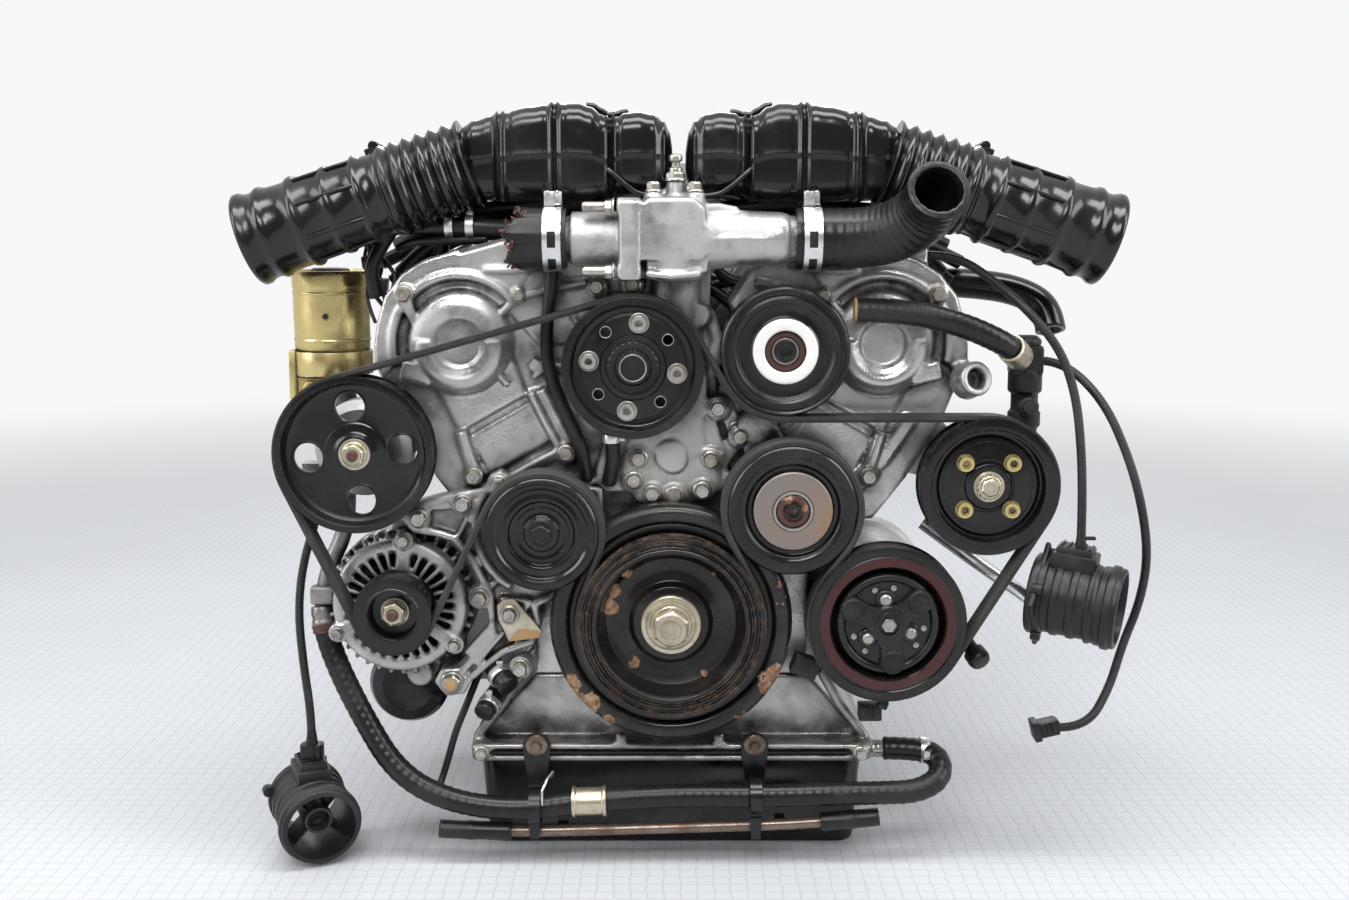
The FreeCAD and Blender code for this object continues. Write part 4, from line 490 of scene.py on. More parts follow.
def tube(work, line, radius, sides=16, bore=None):
    """A round skin along a line. Its radius is a number or follows the run, and a bore opens its ends."""
    line = [Vector(point) for point in line]
    across = square_to(line[1] - line[0])[1]
    rows = []
    passed = 0.0
    directions = []
    for index, point in enumerate(line):
        before = line[max(0, index - 1)]
        after = line[min(len(line) - 1, index + 1)]
        along = (after - before).normalized()
        directions.append(along)
        across = (across - along * across.dot(along)).normalized()
        over = along.cross(across)
        reach = radius(passed) if callable(radius) else radius
        rows.append([work.verts.new(point + (across * cos(turn) + over * sin(turn)) * reach)
            for turn in (2 * pi * side / sides for side in range(sides))])
        if index < len(line) - 1:
            passed += (line[index + 1] - point).length
    for end, point, along in ((0, line[0], -directions[0]), (-1, line[-1], directions[-1])):
        rim = rows[end]
        closing = []
        if bore:
            for depth, share in ((0.0, bore), (-bore_depth(radius), bore)):
                closing.append([work.verts.new(point + (vertex.co - point) * share + along * depth)
                    for vertex in rim])
            closing.append([work.verts.new(point + along * -bore_depth(radius))])
        else:
            lip = [work.verts.new(point + (vertex.co - point) * 0.86 + along * 0.5) for vertex in rim]
            closing = [lip, [work.verts.new(point + along * 0.6)]]
        if end == 0:
            rows = list(reversed(closing)) + rows
        else:
            rows = rows + closing
    skin(work, rows)


def bore_depth(radius):
    return 14 if callable(radius) or radius > 8 else 5


def merge(work, part):
    data = bpy.data.meshes.new("part")
    part.to_mesh(data)
    part.free()
    work.from_mesh(data)
    bpy.data.meshes.remove(data)


def block(work, centre, size, ease=1.0, turn=None):
    """A block with eased edges, perhaps turned."""
    part = bmesh.new()
    bmesh.ops.create_cube(part, size=1.0)
    bmesh.ops.scale(part, vec=size, verts=part.verts)
    bmesh.ops.bevel(part, geom=list(part.edges), offset=ease, segments=2, affect="EDGES", profile=0.5)
    place = Matrix.Translation(Vector(centre)) @ (turn or Matrix.Identity(4))
    bmesh.ops.transform(part, matrix=place, verts=part.verts)
    merge(work, part)


def tilt(facing, axis="Y"):
    return Matrix.Rotation(radians(facing), 4, axis)


def slab(work, outline, back, front, ease=1.0):
    """A plate drawn as (across, up) corners, from y back to y front, with its front edge eased."""
    part = bmesh.new()
    far = [part.verts.new((x, back, z)) for x, z in outline]
    near = [part.verts.new((x, front, z)) for x, z in outline]
    part.faces.new(far)
    face = part.faces.new(list(reversed(near)))
    skin(part, [far, near])
    bmesh.ops.recalc_face_normals(part, faces=part.faces)
    if ease:
        bmesh.ops.bevel(part, geom=list(face.edges), offset=ease, segments=2, affect="EDGES", profile=0.5)
    merge(work, part)


def rib(work, points, radius, y=None, sides=10):
    """A rounded bead along a line; with y, the points are (across, up) pairs at that depth."""
    line = [(point[0], y, point[1]) if y is not None else point for point in points]
    tube(work, [Vector(point) for point in line], radius, sides)


def ring_points(centre, radius, start=0.0, end=360.0, step=6.0):
    """(across, up) pairs on a circle, between two angles in degrees."""
    count = max(2, int(abs(end - start) / step))
    return [(centre[0] + radius * cos(radians(start + (end - start) * index / count)),
        centre[1] + radius * sin(radians(start + (end - start) * index / count)))
        for index in range(count + 1)]


def boss(work, spot, radius, back, front, ease=1.5):
    """A round cast pad that stands forward from a face."""
    depth = back - front
    lathe(work, [(0, 0)] + eased([(radius * 1.15, 0), (radius, 2), (radius, depth), (0, depth)], ease),
        (spot[0], back, spot[1]), 28)


# Fasteners

def hex_bolt(work, at, across, head, washer=0.0, turn=0.3, axis=FRONT):
    corner = across / sqrt(3)
    if washer:
        lathe(work, [(0, 0)] + eased([(washer, 0), (washer, 1.2), (corner, 2.2), (0, 2.2)], 0.5), at, 24,
            axis)
    base = 1.6 if washer else 0.0
    lathe(work, [(0, base), (corner, base), (corner, base + head - 1.2), (corner * 0.84, base + head),
        (0, base + head)], at, 6, axis, turn)
    dish = [(corner * 0.8, base + head - 0.6), (corner * 0.74, base + head + 0.5),
        (corner * 0.5, base + head + 0.5), (corner * 0.42, base + head - 1.2), (0, base + head - 1.4)]
    lathe(work, [(0, base + head - 1.6)] + dish, at, 20, axis)


def socket_bolt(work, at, radius, head, turn):
    lathe(work, eased([(0, 0), (radius, 0), (radius, head), (radius * 0.6, head), (radius * 0.56, head - 1)],
        0.6), at, 24)
    lathe(work, [(radius * 0.62, head - 0.8), (radius * 0.5, head - 1.0), (radius * 0.5, head - 4),
        (0, head - 4.4)], at, 6, FRONT, turn)


# Pieces from meshes

def settle(work, name, finish, body="root", stands_for=(), crease=32.0):
    """Turns a mesh in millimetres into a piece in place, with its finish, riding on its body."""
    bmesh.ops.recalc_face_normals(work, faces=work.faces)
    bmesh.ops.scale(work, vec=(MM, MM, MM), verts=work.verts)
    data = bpy.data.meshes.new(name)
    work.to_mesh(data)
    work.free()
    return place_piece(data, name, finish, body, stands_for, crease)


def place_piece(data, name, finish, body="root", stands_for=(), crease=32.0):
    piece = bpy.data.objects.new(name, data)
    scene.collection.objects.link(piece)
    data.materials.clear()
    data.materials.append(finish)
    data.shade_smooth()
    if crease:
        data.set_sharp_from_angle(angle=radians(crease))
    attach(piece, body)
    if stands_for:
        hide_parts(*([stands_for] if isinstance(stands_for, str) else stands_for))
    return piece


def applied(data, *modifiers):
    """The mesh after Blender's modifiers, each a kind with its settings."""
    holder = bpy.data.objects.new("holder", data)
    scene.collection.objects.link(holder)
    for kind, settings in modifiers:
        made = holder.modifiers.new(kind, kind)
        for key, value in settings.items():
            setattr(made, key, value)
    bpy.context.view_layer.update()
    solid = holder.evaluated_get(bpy.context.evaluated_depsgraph_get())
    result = bpy.data.meshes.new_from_object(solid)
    bpy.data.objects.remove(holder)
    bpy.data.meshes.remove(data)
    return result


def node_mesh(work, name):
    """Adds a CAD node's own solid to a mesh, in millimetres."""
    part = bmesh.new()
    part.from_mesh(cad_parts[name].data)
    bmesh.ops.scale(part, vec=(1 / MM, 1 / MM, 1 / MM), verts=part.verts)
    bmesh.ops.remove_doubles(part, verts=part.verts, dist=0.002)
    merge(work, part)


def cast_piece(work, name, finish, stands_for, grain=1.8, rounds=4, keep=0.45):
    """Melts overlapping solids into one casting whose edges and inner corners are soft."""
    bmesh.ops.recalc_face_normals(work, faces=work.faces)
    data = bpy.data.meshes.new(name)
    work.to_mesh(data)
    work.free()
    data = applied(data, ("REMESH", {"mode": "VOXEL", "voxel_size": grain, "use_smooth_shade": True}),
        ("SMOOTH", {"factor": 0.5, "iterations": rounds}), ("DECIMATE", {"ratio": keep,
        "use_collapse_triangulate": False}))
    data.transform(Matrix.Scale(MM, 4))
    return place_piece(data, name, finish, "root", stands_for, 0)


def drilled(data, cutters):
    """The mesh with round holes through it, each given as centre, axis, radius and depth."""
    tool = bmesh.new()
    for at, axis, radius, depth in cutters:
        lathe(tool, oblong(0, radius, -depth, depth), at, 28, axis)
    bmesh.ops.recalc_face_normals(tool, faces=tool.faces)
    tool_data = bpy.data.meshes.new("drill")
    tool.to_mesh(tool_data)
    tool.free()
    drill = bpy.data.objects.new("drill", tool_data)
    scene.collection.objects.link(drill)
    data = applied(data, ("BOOLEAN", {"object": drill, "operation": "DIFFERENCE", "solver": "EXACT"}))
    bpy.data.objects.remove(drill)
    return data


# Free harness leads in ribbed conduit, with what hangs on them

HARNESS_ROUTES = {
    "left": [(-312, -640, 108), (-312, -640, 84), (-326, -642, 44), (-330, -652, 0), (-324, -662, -50),
             (-318, -668, -86), (-318, -668, -112)],
    "right": [(222, -640, 312), (246, -640, 312), (280, -652, 288), (306, -674, 262), (329, -682, 232),
              (342, -684, 194), (346, -692, 150), (346, -702, 104), (346, -702, 70)],
    "sensor": [(318, -650, 222), (338, -650, 222), (366, -680, 192), (386, -694, 144), (400, -694, 98),
               (409, -684, 54), (408, -670, 12), (396, -666, -26), (382, -680, -62), (358, -700, -90),
               (334, -700, -90)],
}
CONDUIT_RADIUS, CONDUIT_PITCH = 4.0, 2.6


def plug_body(work, top, wide, deep, tall):
    """A moulded two-row connector with its latch, collar and a rubber boot above it."""
    def at(x, y, z):
        return top + Vector((x, y, z))

    block(work, at(0, 0, -tall * 0.62), (wide, deep, tall * 0.75), 1.2)
    block(work, at(0, 0, -tall * 0.95), (wide + 4, deep + 4, tall * 0.22), 1.0)
    block(work, at(0, -deep * 0.55, -tall * 0.55), (wide * 0.42, 2.4, tall * 0.62), 0.7)
    for side in (-1, 1):
        block(work, at(side * wide * 0.52, 0, -tall * 0.5), (1.8, deep * 0.6, tall * 0.5), 0.5)
    for index in range(4):
        block(work, at(-wide * 0.36 + index * wide * 0.24, -deep * 0.52, -tall * 0.84),
            (1.2, 1.6, tall * 0.2), 0.3)
    line = [at(0, 0, -tall * 0.3), at(0, 0, -2), at(0, 0, 4), at(0, 0, 10)]
    tube(work, line, lambda run: 5.6 - 0.13 * run, 14)


def flow_meter(side, centre, axis, connector):
    """An airflow meter: ribbed round body, honeycomb flow core, sensor box and its connector."""
    axis = Vector(axis).normalized()
    centre = Vector(centre)
    body = bmesh.new()
    outer = [(29.5, -36), (33.2, -36), (34.4, -34.5), (34.4, -31.5), (36, -30.5), (36, -25), (34, -24),
        (34, -19), (33, -18), (33, -15), (34, -14), (34, -11), (31.6, -10), (31.6, -2), (33, -1), (33, 4),
        (31.6, 5), (31.6, 12), (33, 13), (33, 18), (31.6, 19), (31.6, 25), (34, 26), (34, 32), (32.6, 34),
        (28.6, 34)]
    inner = [(28.6, 30), (27, 24), (27, -8), (28.4, -30)]
    closed_lathe(body, eased(outer, 0.7) + inner, centre, 72, axis)
    across, over = square_to(axis)[1:]
    for facing in (20, 110, 200, 290):
        angle = radians(facing)
        spot = centre + (across * cos(angle) + over * sin(angle)) * 35.5 + axis * 29
        spun(body, [(5, -4), (5, 4)], 0.8, spot, 18, axis)
    box_at = centre + UP * 37
    lean = axis.to_track_quat("Y", "Z").to_matrix().to_4x4()
    block(body, centre + axis * 3 + UP * 34, (30, 36, 16), 2.0, lean)
    block(body, centre + axis * 3 + UP * 43, (24, 30, 8), 1.6, lean)
    for index in range(5):
        block(body, centre + axis * (index * 6 - 10) + UP * 47.5, (20, 1.6, 2), 0.5, lean)
    block(body, box_at + axis * 20 + UP * -8, (26, 6, 20), 1.5, lean)
    piece = settle(body, "airflow_meter_body_" + side, DULL_BLACK, stands_for="airflow_meter_" + side)

    core = bmesh.new()
    hoop(core, [(10, -22), (12, -22), (12.6, -20), (12.6, 16), (10, 16)], 0.6, centre, 36, axis)
    lathe(core, [(0, -6), (7, -6), (9.8, -8), (9.8, 10), (0, 10)], centre, 24, axis)
    for facing in (45, 135, 225, 315):
        angle = radians(facing)
        out = across * cos(angle) + over * sin(angle)
        turn = Matrix((out, axis, out.cross(axis))).transposed().to_4x4()
        block(core, centre + out * 20 + axis * -2, (17, 30, 1.6), 0.5, turn)
    flow = settle(core, "airflow_core_" + side, PORT_BLACK)

    plug = bmesh.new()
    plug_body(plug, Vector(connector) + UP * 2, 17, 15, 24)
    clip = settle(plug, "airflow_connector_" + side, DULL_BLACK)
    return [piece, flow, clip]


def conduit(name, points):
    """A ribbed conduit along its smooth line, and that line in metres."""
    line = smooth_line(points, 12)

    def ribbed(run):
        return CONDUIT_RADIUS * (0.94 + 0.075 * sin(2 * pi * run / CONDUIT_PITCH))

    work = bmesh.new()
    tube(work, spaced(line, CONDUIT_PITCH / 3), ribbed, 12)
    path = [point * MM for point in spaced(line, 4)]
    return settle(work, name, CONDUIT_BLACK, stands_for=name, crease=0), path


meter_pieces = {
    "left": flow_meter("left", (-318, -672, -176), (-0.42, 0.9, 0.1), HARNESS_ROUTES["left"][-1]),
    "right": flow_meter("right", (346, -700, 22), (-0.9, 0.42, 0.1), HARNESS_ROUTES["right"][-1]),
}

# The right meter's rear flange with its ears, and the loose tabs on it
flange = bmesh.new()
meter_axis = Vector((-0.9, 0.42, 0.1)).normalized()
flange_at = Vector((346, -700, 22)) + meter_axis * 31
flange_turn = meter_axis.to_track_quat("Y", "Z").to_matrix().to_4x4()
block(flange, flange_at, (66, 5, 66), 2.2, flange_turn @ tilt(45))
hoop(flange, [(30, 0), (35, 0), (35, 6), (33, 8), (30, 8)], 1, flange_at, 48, meter_axis)
block(flange, Vector((351, -703, 77)), (14, 4, 3), 0.8)
block(flange, Vector((345, -703, 74)), (4, 4, 6), 0.8)
meter_flange = settle(flange, "airflow_flange_right", DULL_BLACK)
meter_pieces["right"].append(meter_flange)

plug = bmesh.new()
block(plug, (323, -700, -90), (20, 16, 13), 1.2, tilt(-14))
block(plug, (314, -700, -92), (6, 19, 17), 1.0, tilt(-14))
for step in range(3):
    block(plug, (319 + step * 4, -709, -89 + step), (1.6, 2, 9), 0.4, tilt(-14))
block(plug, (331, -700, -87), (6, 12, 9), 1.2, tilt(-14))
sensor_plug = settle(plug, "sensor_plug_body", DULL_BLACK, stands_for="sensor_plug")

lead, path = conduit("harness_left", HARNESS_ROUTES["left"])
lead, path = conduit("harness_right", HARNESS_ROUTES["right"])
lead, path = conduit("harness_sensor", HARNESS_ROUTES["sensor"])


# Air boxes and ducts

INTAKE_X = 7.0
BOX_FRONT, BOX_REAR = -669.0, -500.0
# Across from the engine's middle: top, bottom and how far the front face stands in
BOX_STATIONS = [(6, 404, 380, 24), (8, 416, 373, 14), (13, 425, 368, 6), (22, 430, 364, 1.5),
    (34, 432, 363, 0), (46, 431, 363, 0), (54, 428, 361, 1.5), (60, 427, 358, 3), (66, 431, 357, 1),
    (74, 436, 356.5, 0), (84, 439, 356, 0), (104, 439, 356, 0), (126, 436, 357, 0), (150, 431, 358, 0),
    (172, 425, 359, 0.5), (182, 420, 361, 3), (187, 414, 365, 8), (189, 404, 374, 16)]
BOX_BANDS = (58, 104, 150)


def between_stations(across):
    for low, high in zip(BOX_STATIONS, BOX_STATIONS[1:]):
        if low[0] <= across <= high[0]:
            share = (across - low[0]) / (high[0] - low[0])
            share = share * share * (3 - 2 * share)
            return [a + (b - a) * share for a, b in zip(low[1:], high[1:])]
    return list(BOX_STATIONS[-1][1:])


def band_height(across):
    """Two beads side by side at each band, with a shallow groove before and after them."""
    height = 0.0
    for band in BOX_BANDS:
        gap = across - band
        height += 2.6 * exp(-((gap - 2.6) / 1.35) ** 2) + 2.6 * exp(-((gap + 2.6) / 1.35) ** 2)
        height -= 0.8 * exp(-((abs(gap) - 7.5) / 2.0) ** 2)
    return height


def air_box(label, side):
    work = bmesh.new()
    rows = []
    stops = sorted({6 + 183 * index / 130 for index in range(131)} | {station[0] for station in BOX_STATIONS})
    for across in stops:
        top, bottom, inset = between_stations(across)
        swell = band_height(across)
        front, rear = BOX_FRONT + inset - swell, BOX_REAR - inset * 0.6
        top, bottom = top + swell * 0.8, bottom - swell * 0.5
        corner = min(17.0, (top - bottom) * 0.34)
        row = []
        for quarter, (middle_y, middle_z) in enumerate(((rear - corner, top - corner),
                (front + corner, top - corner), (front + corner, bottom + corner),
                (rear - corner, bottom + corner))):
            for step in range(9):
                turn = radians(quarter * 90 + step * 11.25)
                row.append((middle_y + corner * cos(turn), middle_z + corner * sin(turn)))
            if quarter == 1:
                # the mould's parting line runs along the middle of the front face
                seam = (top + bottom) / 2
                row += [(front, seam + shift) for shift in (6.0, 2.0)]
                row += [(front - 0.5, seam + 0.6), (front - 0.5, seam - 0.6)]
                row += [(front, seam + shift) for shift in (-2.0, -6.0)]
        place = INTAKE_X + side * across
        rows.append([work.verts.new((place, y, z)) for y, z in row])
    skin(work, rows)
    for end in (rows[0], rows[-1]):
        work.faces.new(end)
    # the stepped saddle between the nose and the box, the lid's rear lip and its clips
    for index in range(3):
        line = []
        for step in range(15):
            share = step / 14
            across = 44 + 34 * share
            top = between_stations(across)[0]
            line.append((INTAKE_X + side * across, BOX_FRONT + 26 + 9 * index,
                top + 1.2 + 1.6 * sin(pi * share)))
        tube(work, line, 2.6, 10)
    lip = [(INTAKE_X + side * across, BOX_REAR - 22, between_stations(across)[0] + 1.0)
        for across in range(20, 184, 6)]
    tube(work, lip, 2.8, 8)
    for across in (36, 92, 138):
        block(work, (INTAKE_X + side * across, BOX_REAR - 30, between_stations(across)[0] + 2), (9, 16, 5),
            1.2)
    block(work, (INTAKE_X + side * 62, BOX_REAR, 392), (84, 8, 60), 3.0)
    # the moulded tongue that runs down to the outlet housing
    tongue = [(INTAKE_X + side * 60, BOX_FRONT - 1, 384), (INTAKE_X + side * 44, BOX_FRONT - 2, 370),
        (INTAKE_X + side * 32, BOX_FRONT - 1, 362), (INTAKE_X + side * 16, BOX_FRONT + 2, 362)]
    tube(work, smooth_line(tongue, 6), 2.4, 8)
    return settle(work, "air_box_%s_shell" % label, WET_BLACK, stands_for="air_box_" + label, crease=50)


def air_duct(label, side):
    slope = radians(18.6)
    along = Vector((side * cos(slope), 0, -sin(slope)))
    start = Vector((INTAKE_X + side * 180, -645, 388))
    profile = []
    for step in range(0, 78):
        run = -4 + step
        wave = 0.5 - 0.5 * cos(2 * pi * (run - 2) / 11.6)
        profile.append((34.2 + 4.0 * wave ** 0.65 + run * 0.02, run))
    profile += [(35.4, 76), (35.6, 84), (37.6, 86.5), (39.0, 88.5), (39.0, 90.5), (37.4, 92.5), (36.0, 95),
        (36.2, 112), (37.8, 114), (38.4, 116), (38.4, 118), (37.8, 120), (36.4, 122), (36.6, 141),
        (38.8, 143.5), (39.6, 145.5), (39.6, 147.5), (38.6, 150), (36.8, 152), (36.8, 160), (37.2, 168),
        (38.2, 172), (39.6, 174), (39.8, 177), (38.0, 180), (37.2, 183), (37.4, 187), (38.6, 190),
        (40.2, 193), (40.2, 196.5), (38.8, 198), (36.6, 198)]
    bore = [(35.6, 190), (34.4, 170), (32.6, 140), (31.6, 96), (30.2, 60), (26, 20), (24, 0)]
    work = bmesh.new()
    lathe(work, [(0, -4)] + profile + bore + [(0, -1)], start, 88, along)
    # long stiffening ribs on the tube between the rings
    across, over = square_to(along)[1:]
    for facing in (20, 65, 110, 155, 200, 245, 290, 335):
        angle = radians(facing)
        out = across * cos(angle) + over * sin(angle)
        line = [start + along * run + out * (36.2 + 0.01 * run) for run in (91, 104, 118, 132, 146)]
        tube(work, line, 1.5, 8)
    # the clamp's screw tab stands on the top of the last bellows
    tab = start + along * 84 + Vector((0, 4, 40))
    lean = tilt(side * 18.6)
    block(work, tab, (16, 9, 5), 1.2, lean)
    spun(work, [(4.5, -5), (4.5, 5)], 0.8, tab + UP * 3, 16, REAR)
    block(work, start + along * 84 + Vector((side * -8, -6, 39)), (22, 3, 3), 0.8, lean)
    return settle(work, "air_duct_%s_moulding" % label, WET_BLACK, stands_for="air_duct_" + label, crease=50)


for label, side in SIDES.items():
    air_box(label, side)
    air_duct(label, side)


# Coolant outlet, its hoses and their clamps

OUTLET_Y, OUTLET_Z = -689.0, 327.0
HOSE_OUTER, HOSE_BORE = 25.0, 19.0


def water_outlet():
    work = bmesh.new()
    node_mesh(work, "water_outlet")
    y, z = OUTLET_Y, OUTLET_Z
    spun(work, [(26, -34), (27, 0), (26, 30), (20, 34)], 6, (2, y, z), 40, UP)
    spun(work, [(27, 0), (24.5, 18), (22.5, 44), (21.5, 74)], 6, (24, y, z), 40, RIGHT)
    for up in (26, -26):
        for depth in (-20, 20):
            spun(work, [(7.5, 0), (7.5, 20)], 1.5, (-44, y + depth, z + up), 20, RIGHT)
    for depth in (-9, 3):
        rib(work, [(-24, y + depth * 2.4, z + 27), (0, y + depth * 2.6, z + 29),
            (26, y + depth * 2.4, z + 24)], 2.6)
    rib(work, [(26, y - 24, z - 2), (44, y - 24, z), (66, y - 21.5, z), (84, y - 20.5, z)], 2.2)
    rib(work, [(26, y - 12, z + 24), (38, y - 8, z + 25), (54, y - 4, z + 22)], 4.5)
    for across in (-14, 20):
        spun(work, [(9, 0), (8, 16)], 2, (across, y - 12, z + 22), 24, UP)
    spun(work, [(10, 0), (8, 14), (6.5, 24)], 2, (4, y - 6, z + 24), 24, UP)
    rib(work, [(-20, y - 24, z - 28), (0, y - 27, z - 30), (24, y - 24, z - 28)], 3)
    block(work, (-33, y, z), (13, 56, 64), 3.5)
    cast_piece(work, "water_outlet_casting", CAST["bright"], stands_for="water_outlet", grain=1.6, rounds=4)

    trim = bmesh.new()
    for up in (26, -26):
        hex_bolt(trim, (-46, y - 20, z + up), 10, 6, 7, axis=-RIGHT)
        spun(trim, [(4, 0), (4, 20), (3.4, 22)], 0.6, (-50, y - 20, z + up), 16, -RIGHT)
    for across in (-14, 20):
        hex_bolt(trim, (across, y - 12, z + 38), 10, 6, 7, axis=UP)
    hex_bolt(trim, (4, y - 6, z + 47), 14, 5, 9, axis=UP)
    spun(trim, [(5.5, 0), (5.5, 5), (3.5, 6), (3.5, 10), (5.6, 11), (5.6, 15), (2.5, 17)], 0.6,
        (4, y - 6, z + 52), 20, UP)
    settle(trim, "water_outlet_fasteners", BOLT_STEEL)


def torn_hose():
    """The left hose stub: cut through raggedly, with its cords and rusty scale in the tear."""
    work = bmesh.new()
    start = -86.0
    steps = 84
    rng = random.Random(4)
    jag = [rng.uniform(-1, 1) for _ in range(steps)]

    def edge(index):
        angle = 2 * pi * index / steps
        return 5.0 * sin(angle * 2 + 1) + 3.0 * sin(angle * 5) + 2.4 * jag[index]

    rows = []
    for radius, run, share in ((HOSE_BORE, 0, 0), (24.4, 0, 0), (25, 2, 0), (25, 16, 0), (25.4, 30, 0.2),
            (25.7, 38, 0.7), (25.4, 42, 1), (24.2, 43.4, 1.1), (21.2, 43.4, 1.1), (19.6, 41, 1),
            (19.2, 32, 0.6), (18.8, 20, 0.1), (18.8, 4, 0)):
        row = []
        for index in range(steps):
            angle = 2 * pi * index / steps
            ripple = 0.3 * sin(run * 1.9) + 0.12 * sin(angle * 24)
            reach = radius + ripple + 0.9 * share * jag[(index * 3) % steps]
            row.append(work.verts.new((start - run - share * edge(index), OUTLET_Y + reach * cos(angle),
                OUTLET_Z + reach * sin(angle))))
        rows.append(row)
    skin(work, rows + [rows[0]])
    settle(work, "radiator_hose_left_stub", HOSE_RUBBER, stands_for="radiator_hose_left", crease=60)

    scale = bmesh.new()
    for index in range(steps):
        angle = 2 * pi * index / steps
        reach = rng.uniform(19.5, 25.4)
        spot = Vector((start - 40 - edge(index) - rng.uniform(-2, 4), OUTLET_Y + reach * cos(angle),
            OUTLET_Z + reach * sin(angle)))
        line = [spot]
        for _ in range(3):
            line.append(line[-1] + Vector((rng.uniform(-1.7, 0.7), rng.uniform(-1.7, 1.7),
                rng.uniform(-1.7, 1.7))))
        tube(scale, line, rng.uniform(0.6, 1.5), 6)
    closed = eased([(0, 26), (18.6, 26), (18.6, 31), (12, 30), (0, 33)], 1)
    lathe(scale, closed, (start, OUTLET_Y, OUTLET_Z), 30, -RIGHT, 0,
        lambda angle, run: 1.2 * sin(angle * 7 + run))
    settle(scale, "radiator_hose_left_tear", TORN_CORE, crease=60)


RIGHT_HOSE = [(103, -689, 327), (130, -689, 327), (152, -689, 327), (180, -699, 331), (200, -715, 343),
    (209, -733, 357), (210, -751, 366)]


def open_hose():
    work = bmesh.new()
    line = spaced(smooth_line(RIGHT_HOSE, 12), 1.5)
    directions = [(after - before).normalized() for before, after in zip([line[0]] + line,
        line[1:] + [line[-1]])]
    steps = 64
    rows = []
    across = UP
    frames = []
    for point, along in zip(line, directions):
        across = (across - along * across.dot(along)).normalized()
        frames.append((point, along, across.copy(), along.cross(across)))

    def ring(frame_at, radius, grain=0.0):
        point, _, side, over = frame_at
        row = []
        for index in range(steps):
            angle = 2 * pi * index / steps
            reach = radius + grain * sin(angle * 16 + grain * 40)
            row.append(work.verts.new(point + (side * cos(angle) + over * sin(angle)) * reach))
        return row

    for number, frame_at in enumerate(frames):
        rows.append(ring(frame_at, HOSE_OUTER + 0.22 * sin(number * 1.1), 0.12))
    last = frames[-1]
    rows.append(ring(last, HOSE_OUTER - 1.2, 0.5))
    rows.append(ring((last[0] + last[1] * 0.8, *last[1:]), HOSE_OUTER - 3, 0.6))
    rows.append(ring(last, HOSE_BORE + 0.6, 0.3))
    for frame_at in reversed(frames[3:-3]):
        rows.append(ring(frame_at, HOSE_BORE, 0.15))
    rows.append([work.verts.new(frames[3][0])])
    rows.insert(0, ring(frames[0], HOSE_BORE))
    rows.insert(0, [work.verts.new(frames[0][0])])
    skin(work, rows)
    settle(work, "radiator_hose_right_bend", HOSE_RUBBER, stands_for="radiator_hose_right", crease=60)


def band_clamp(work, at, width=15.0):
    """A pressed constant-tension clamp: broad band with punched slots and two upright ears."""
    radius = HOSE_OUTER + 0.5
    steps = 96
    rows = []
    lines = [(radius, -width / 2), (radius + 1.7, -width / 2), (radius + 1.7, -3.4), (radius + 1.7, 3.4),
        (radius + 1.7, width / 2), (radius, width / 2)]
    for index in range(steps + 1):
        angle = radians(110 + 340 * index / steps)
        rows.append([work.verts.new((at + across, OUTLET_Y + reach * cos(angle),
            OUTLET_Z + reach * sin(angle))) for reach, across in lines])
    slots = {first + step for first in (16, 30, 46, 60) for step in range(8)}
    for index, (low, high) in enumerate(zip(rows, rows[1:])):
        for corner in range(6):
            after = (corner + 1) % 6
            if corner not in (2, 5) or index not in slots:
                work.faces.new((low[corner], low[after], high[after], high[corner]))
    for end in (rows[0], rows[-1]):
        work.faces.new(end)
    for lean, shift in ((-1, -5.0), (1, 5.0)):
        block(work, (at + lean * 2.4, OUTLET_Y + shift - 1, OUTLET_Z + radius + 6.5),
            (width * 0.62, 1.8, 13), 0.7)
        for end in (-0.26, 0.26):
            block(work, (at + width * end, OUTLET_Y + shift * 1.2, OUTLET_Z + radius + 12), (2.6, 6, 3), 0.7)
    block(work, (at, OUTLET_Y, OUTLET_Z + radius + 2.2), (width * 0.9, 12, 2.2), 0.8)


water_outlet()
torn_hose()
open_hose()
clamps = bmesh.new()
band_clamp(clamps, -97.0)
band_clamp(clamps, 116.0)
settle(clamps, "hose_clamp_bands", BRIGHT_STEEL, stands_for="hose_clamps", crease=40)
for label, across in (("left", -97.0), ("right", 116.0)):
    liner = bmesh.new()
    hoop(liner, oblong(HOSE_OUTER - 0.3, HOSE_OUTER + 1.2, -7.8, 7.8), 0.4, (across, OUTLET_Y, OUTLET_Z), 64,
        RIGHT)
    settle(liner, "hose_clamp_liner_" + label, DULL_BLACK)


# Pulleys, all turned about their own centres in the belt plane

def wheel_at(name):
    across, up, radius = WHEELS[name.removesuffix("_pulley")]
    return Vector((across, BELT_PLANE, up)), radius


def ribbed_rim(radius, front=14.0, back=-14.0):
    """The outside of a belt wheel from its front lip to its back lip, with six grooves."""
    line = [(radius - 1.4, front), (radius - 0.4, front - 0.3), (radius, front - 1.2), (radius, 12.2),
        (radius - 0.5, 11.6)]
    for groove in range(6):
        middle = (2.5 - groove) * 3.56
        line += [(radius - 1.5, middle + 1.45), (radius - 4.4, middle + 0.45), (radius - 4.4, middle - 0.45),
            (radius - 1.5, middle - 1.45)]
    return line + [(radius - 0.5, -11.6), (radius, -12.2), (radius, back + 1.0), (radius - 1.0, back)]


def smooth_rim(radius, front=13.0, back=-13.0):
    return eased([(radius - 2.2, front), (radius, front - 1.6), (radius, back + 1.6), (radius - 2.2, back)],
        0.9)


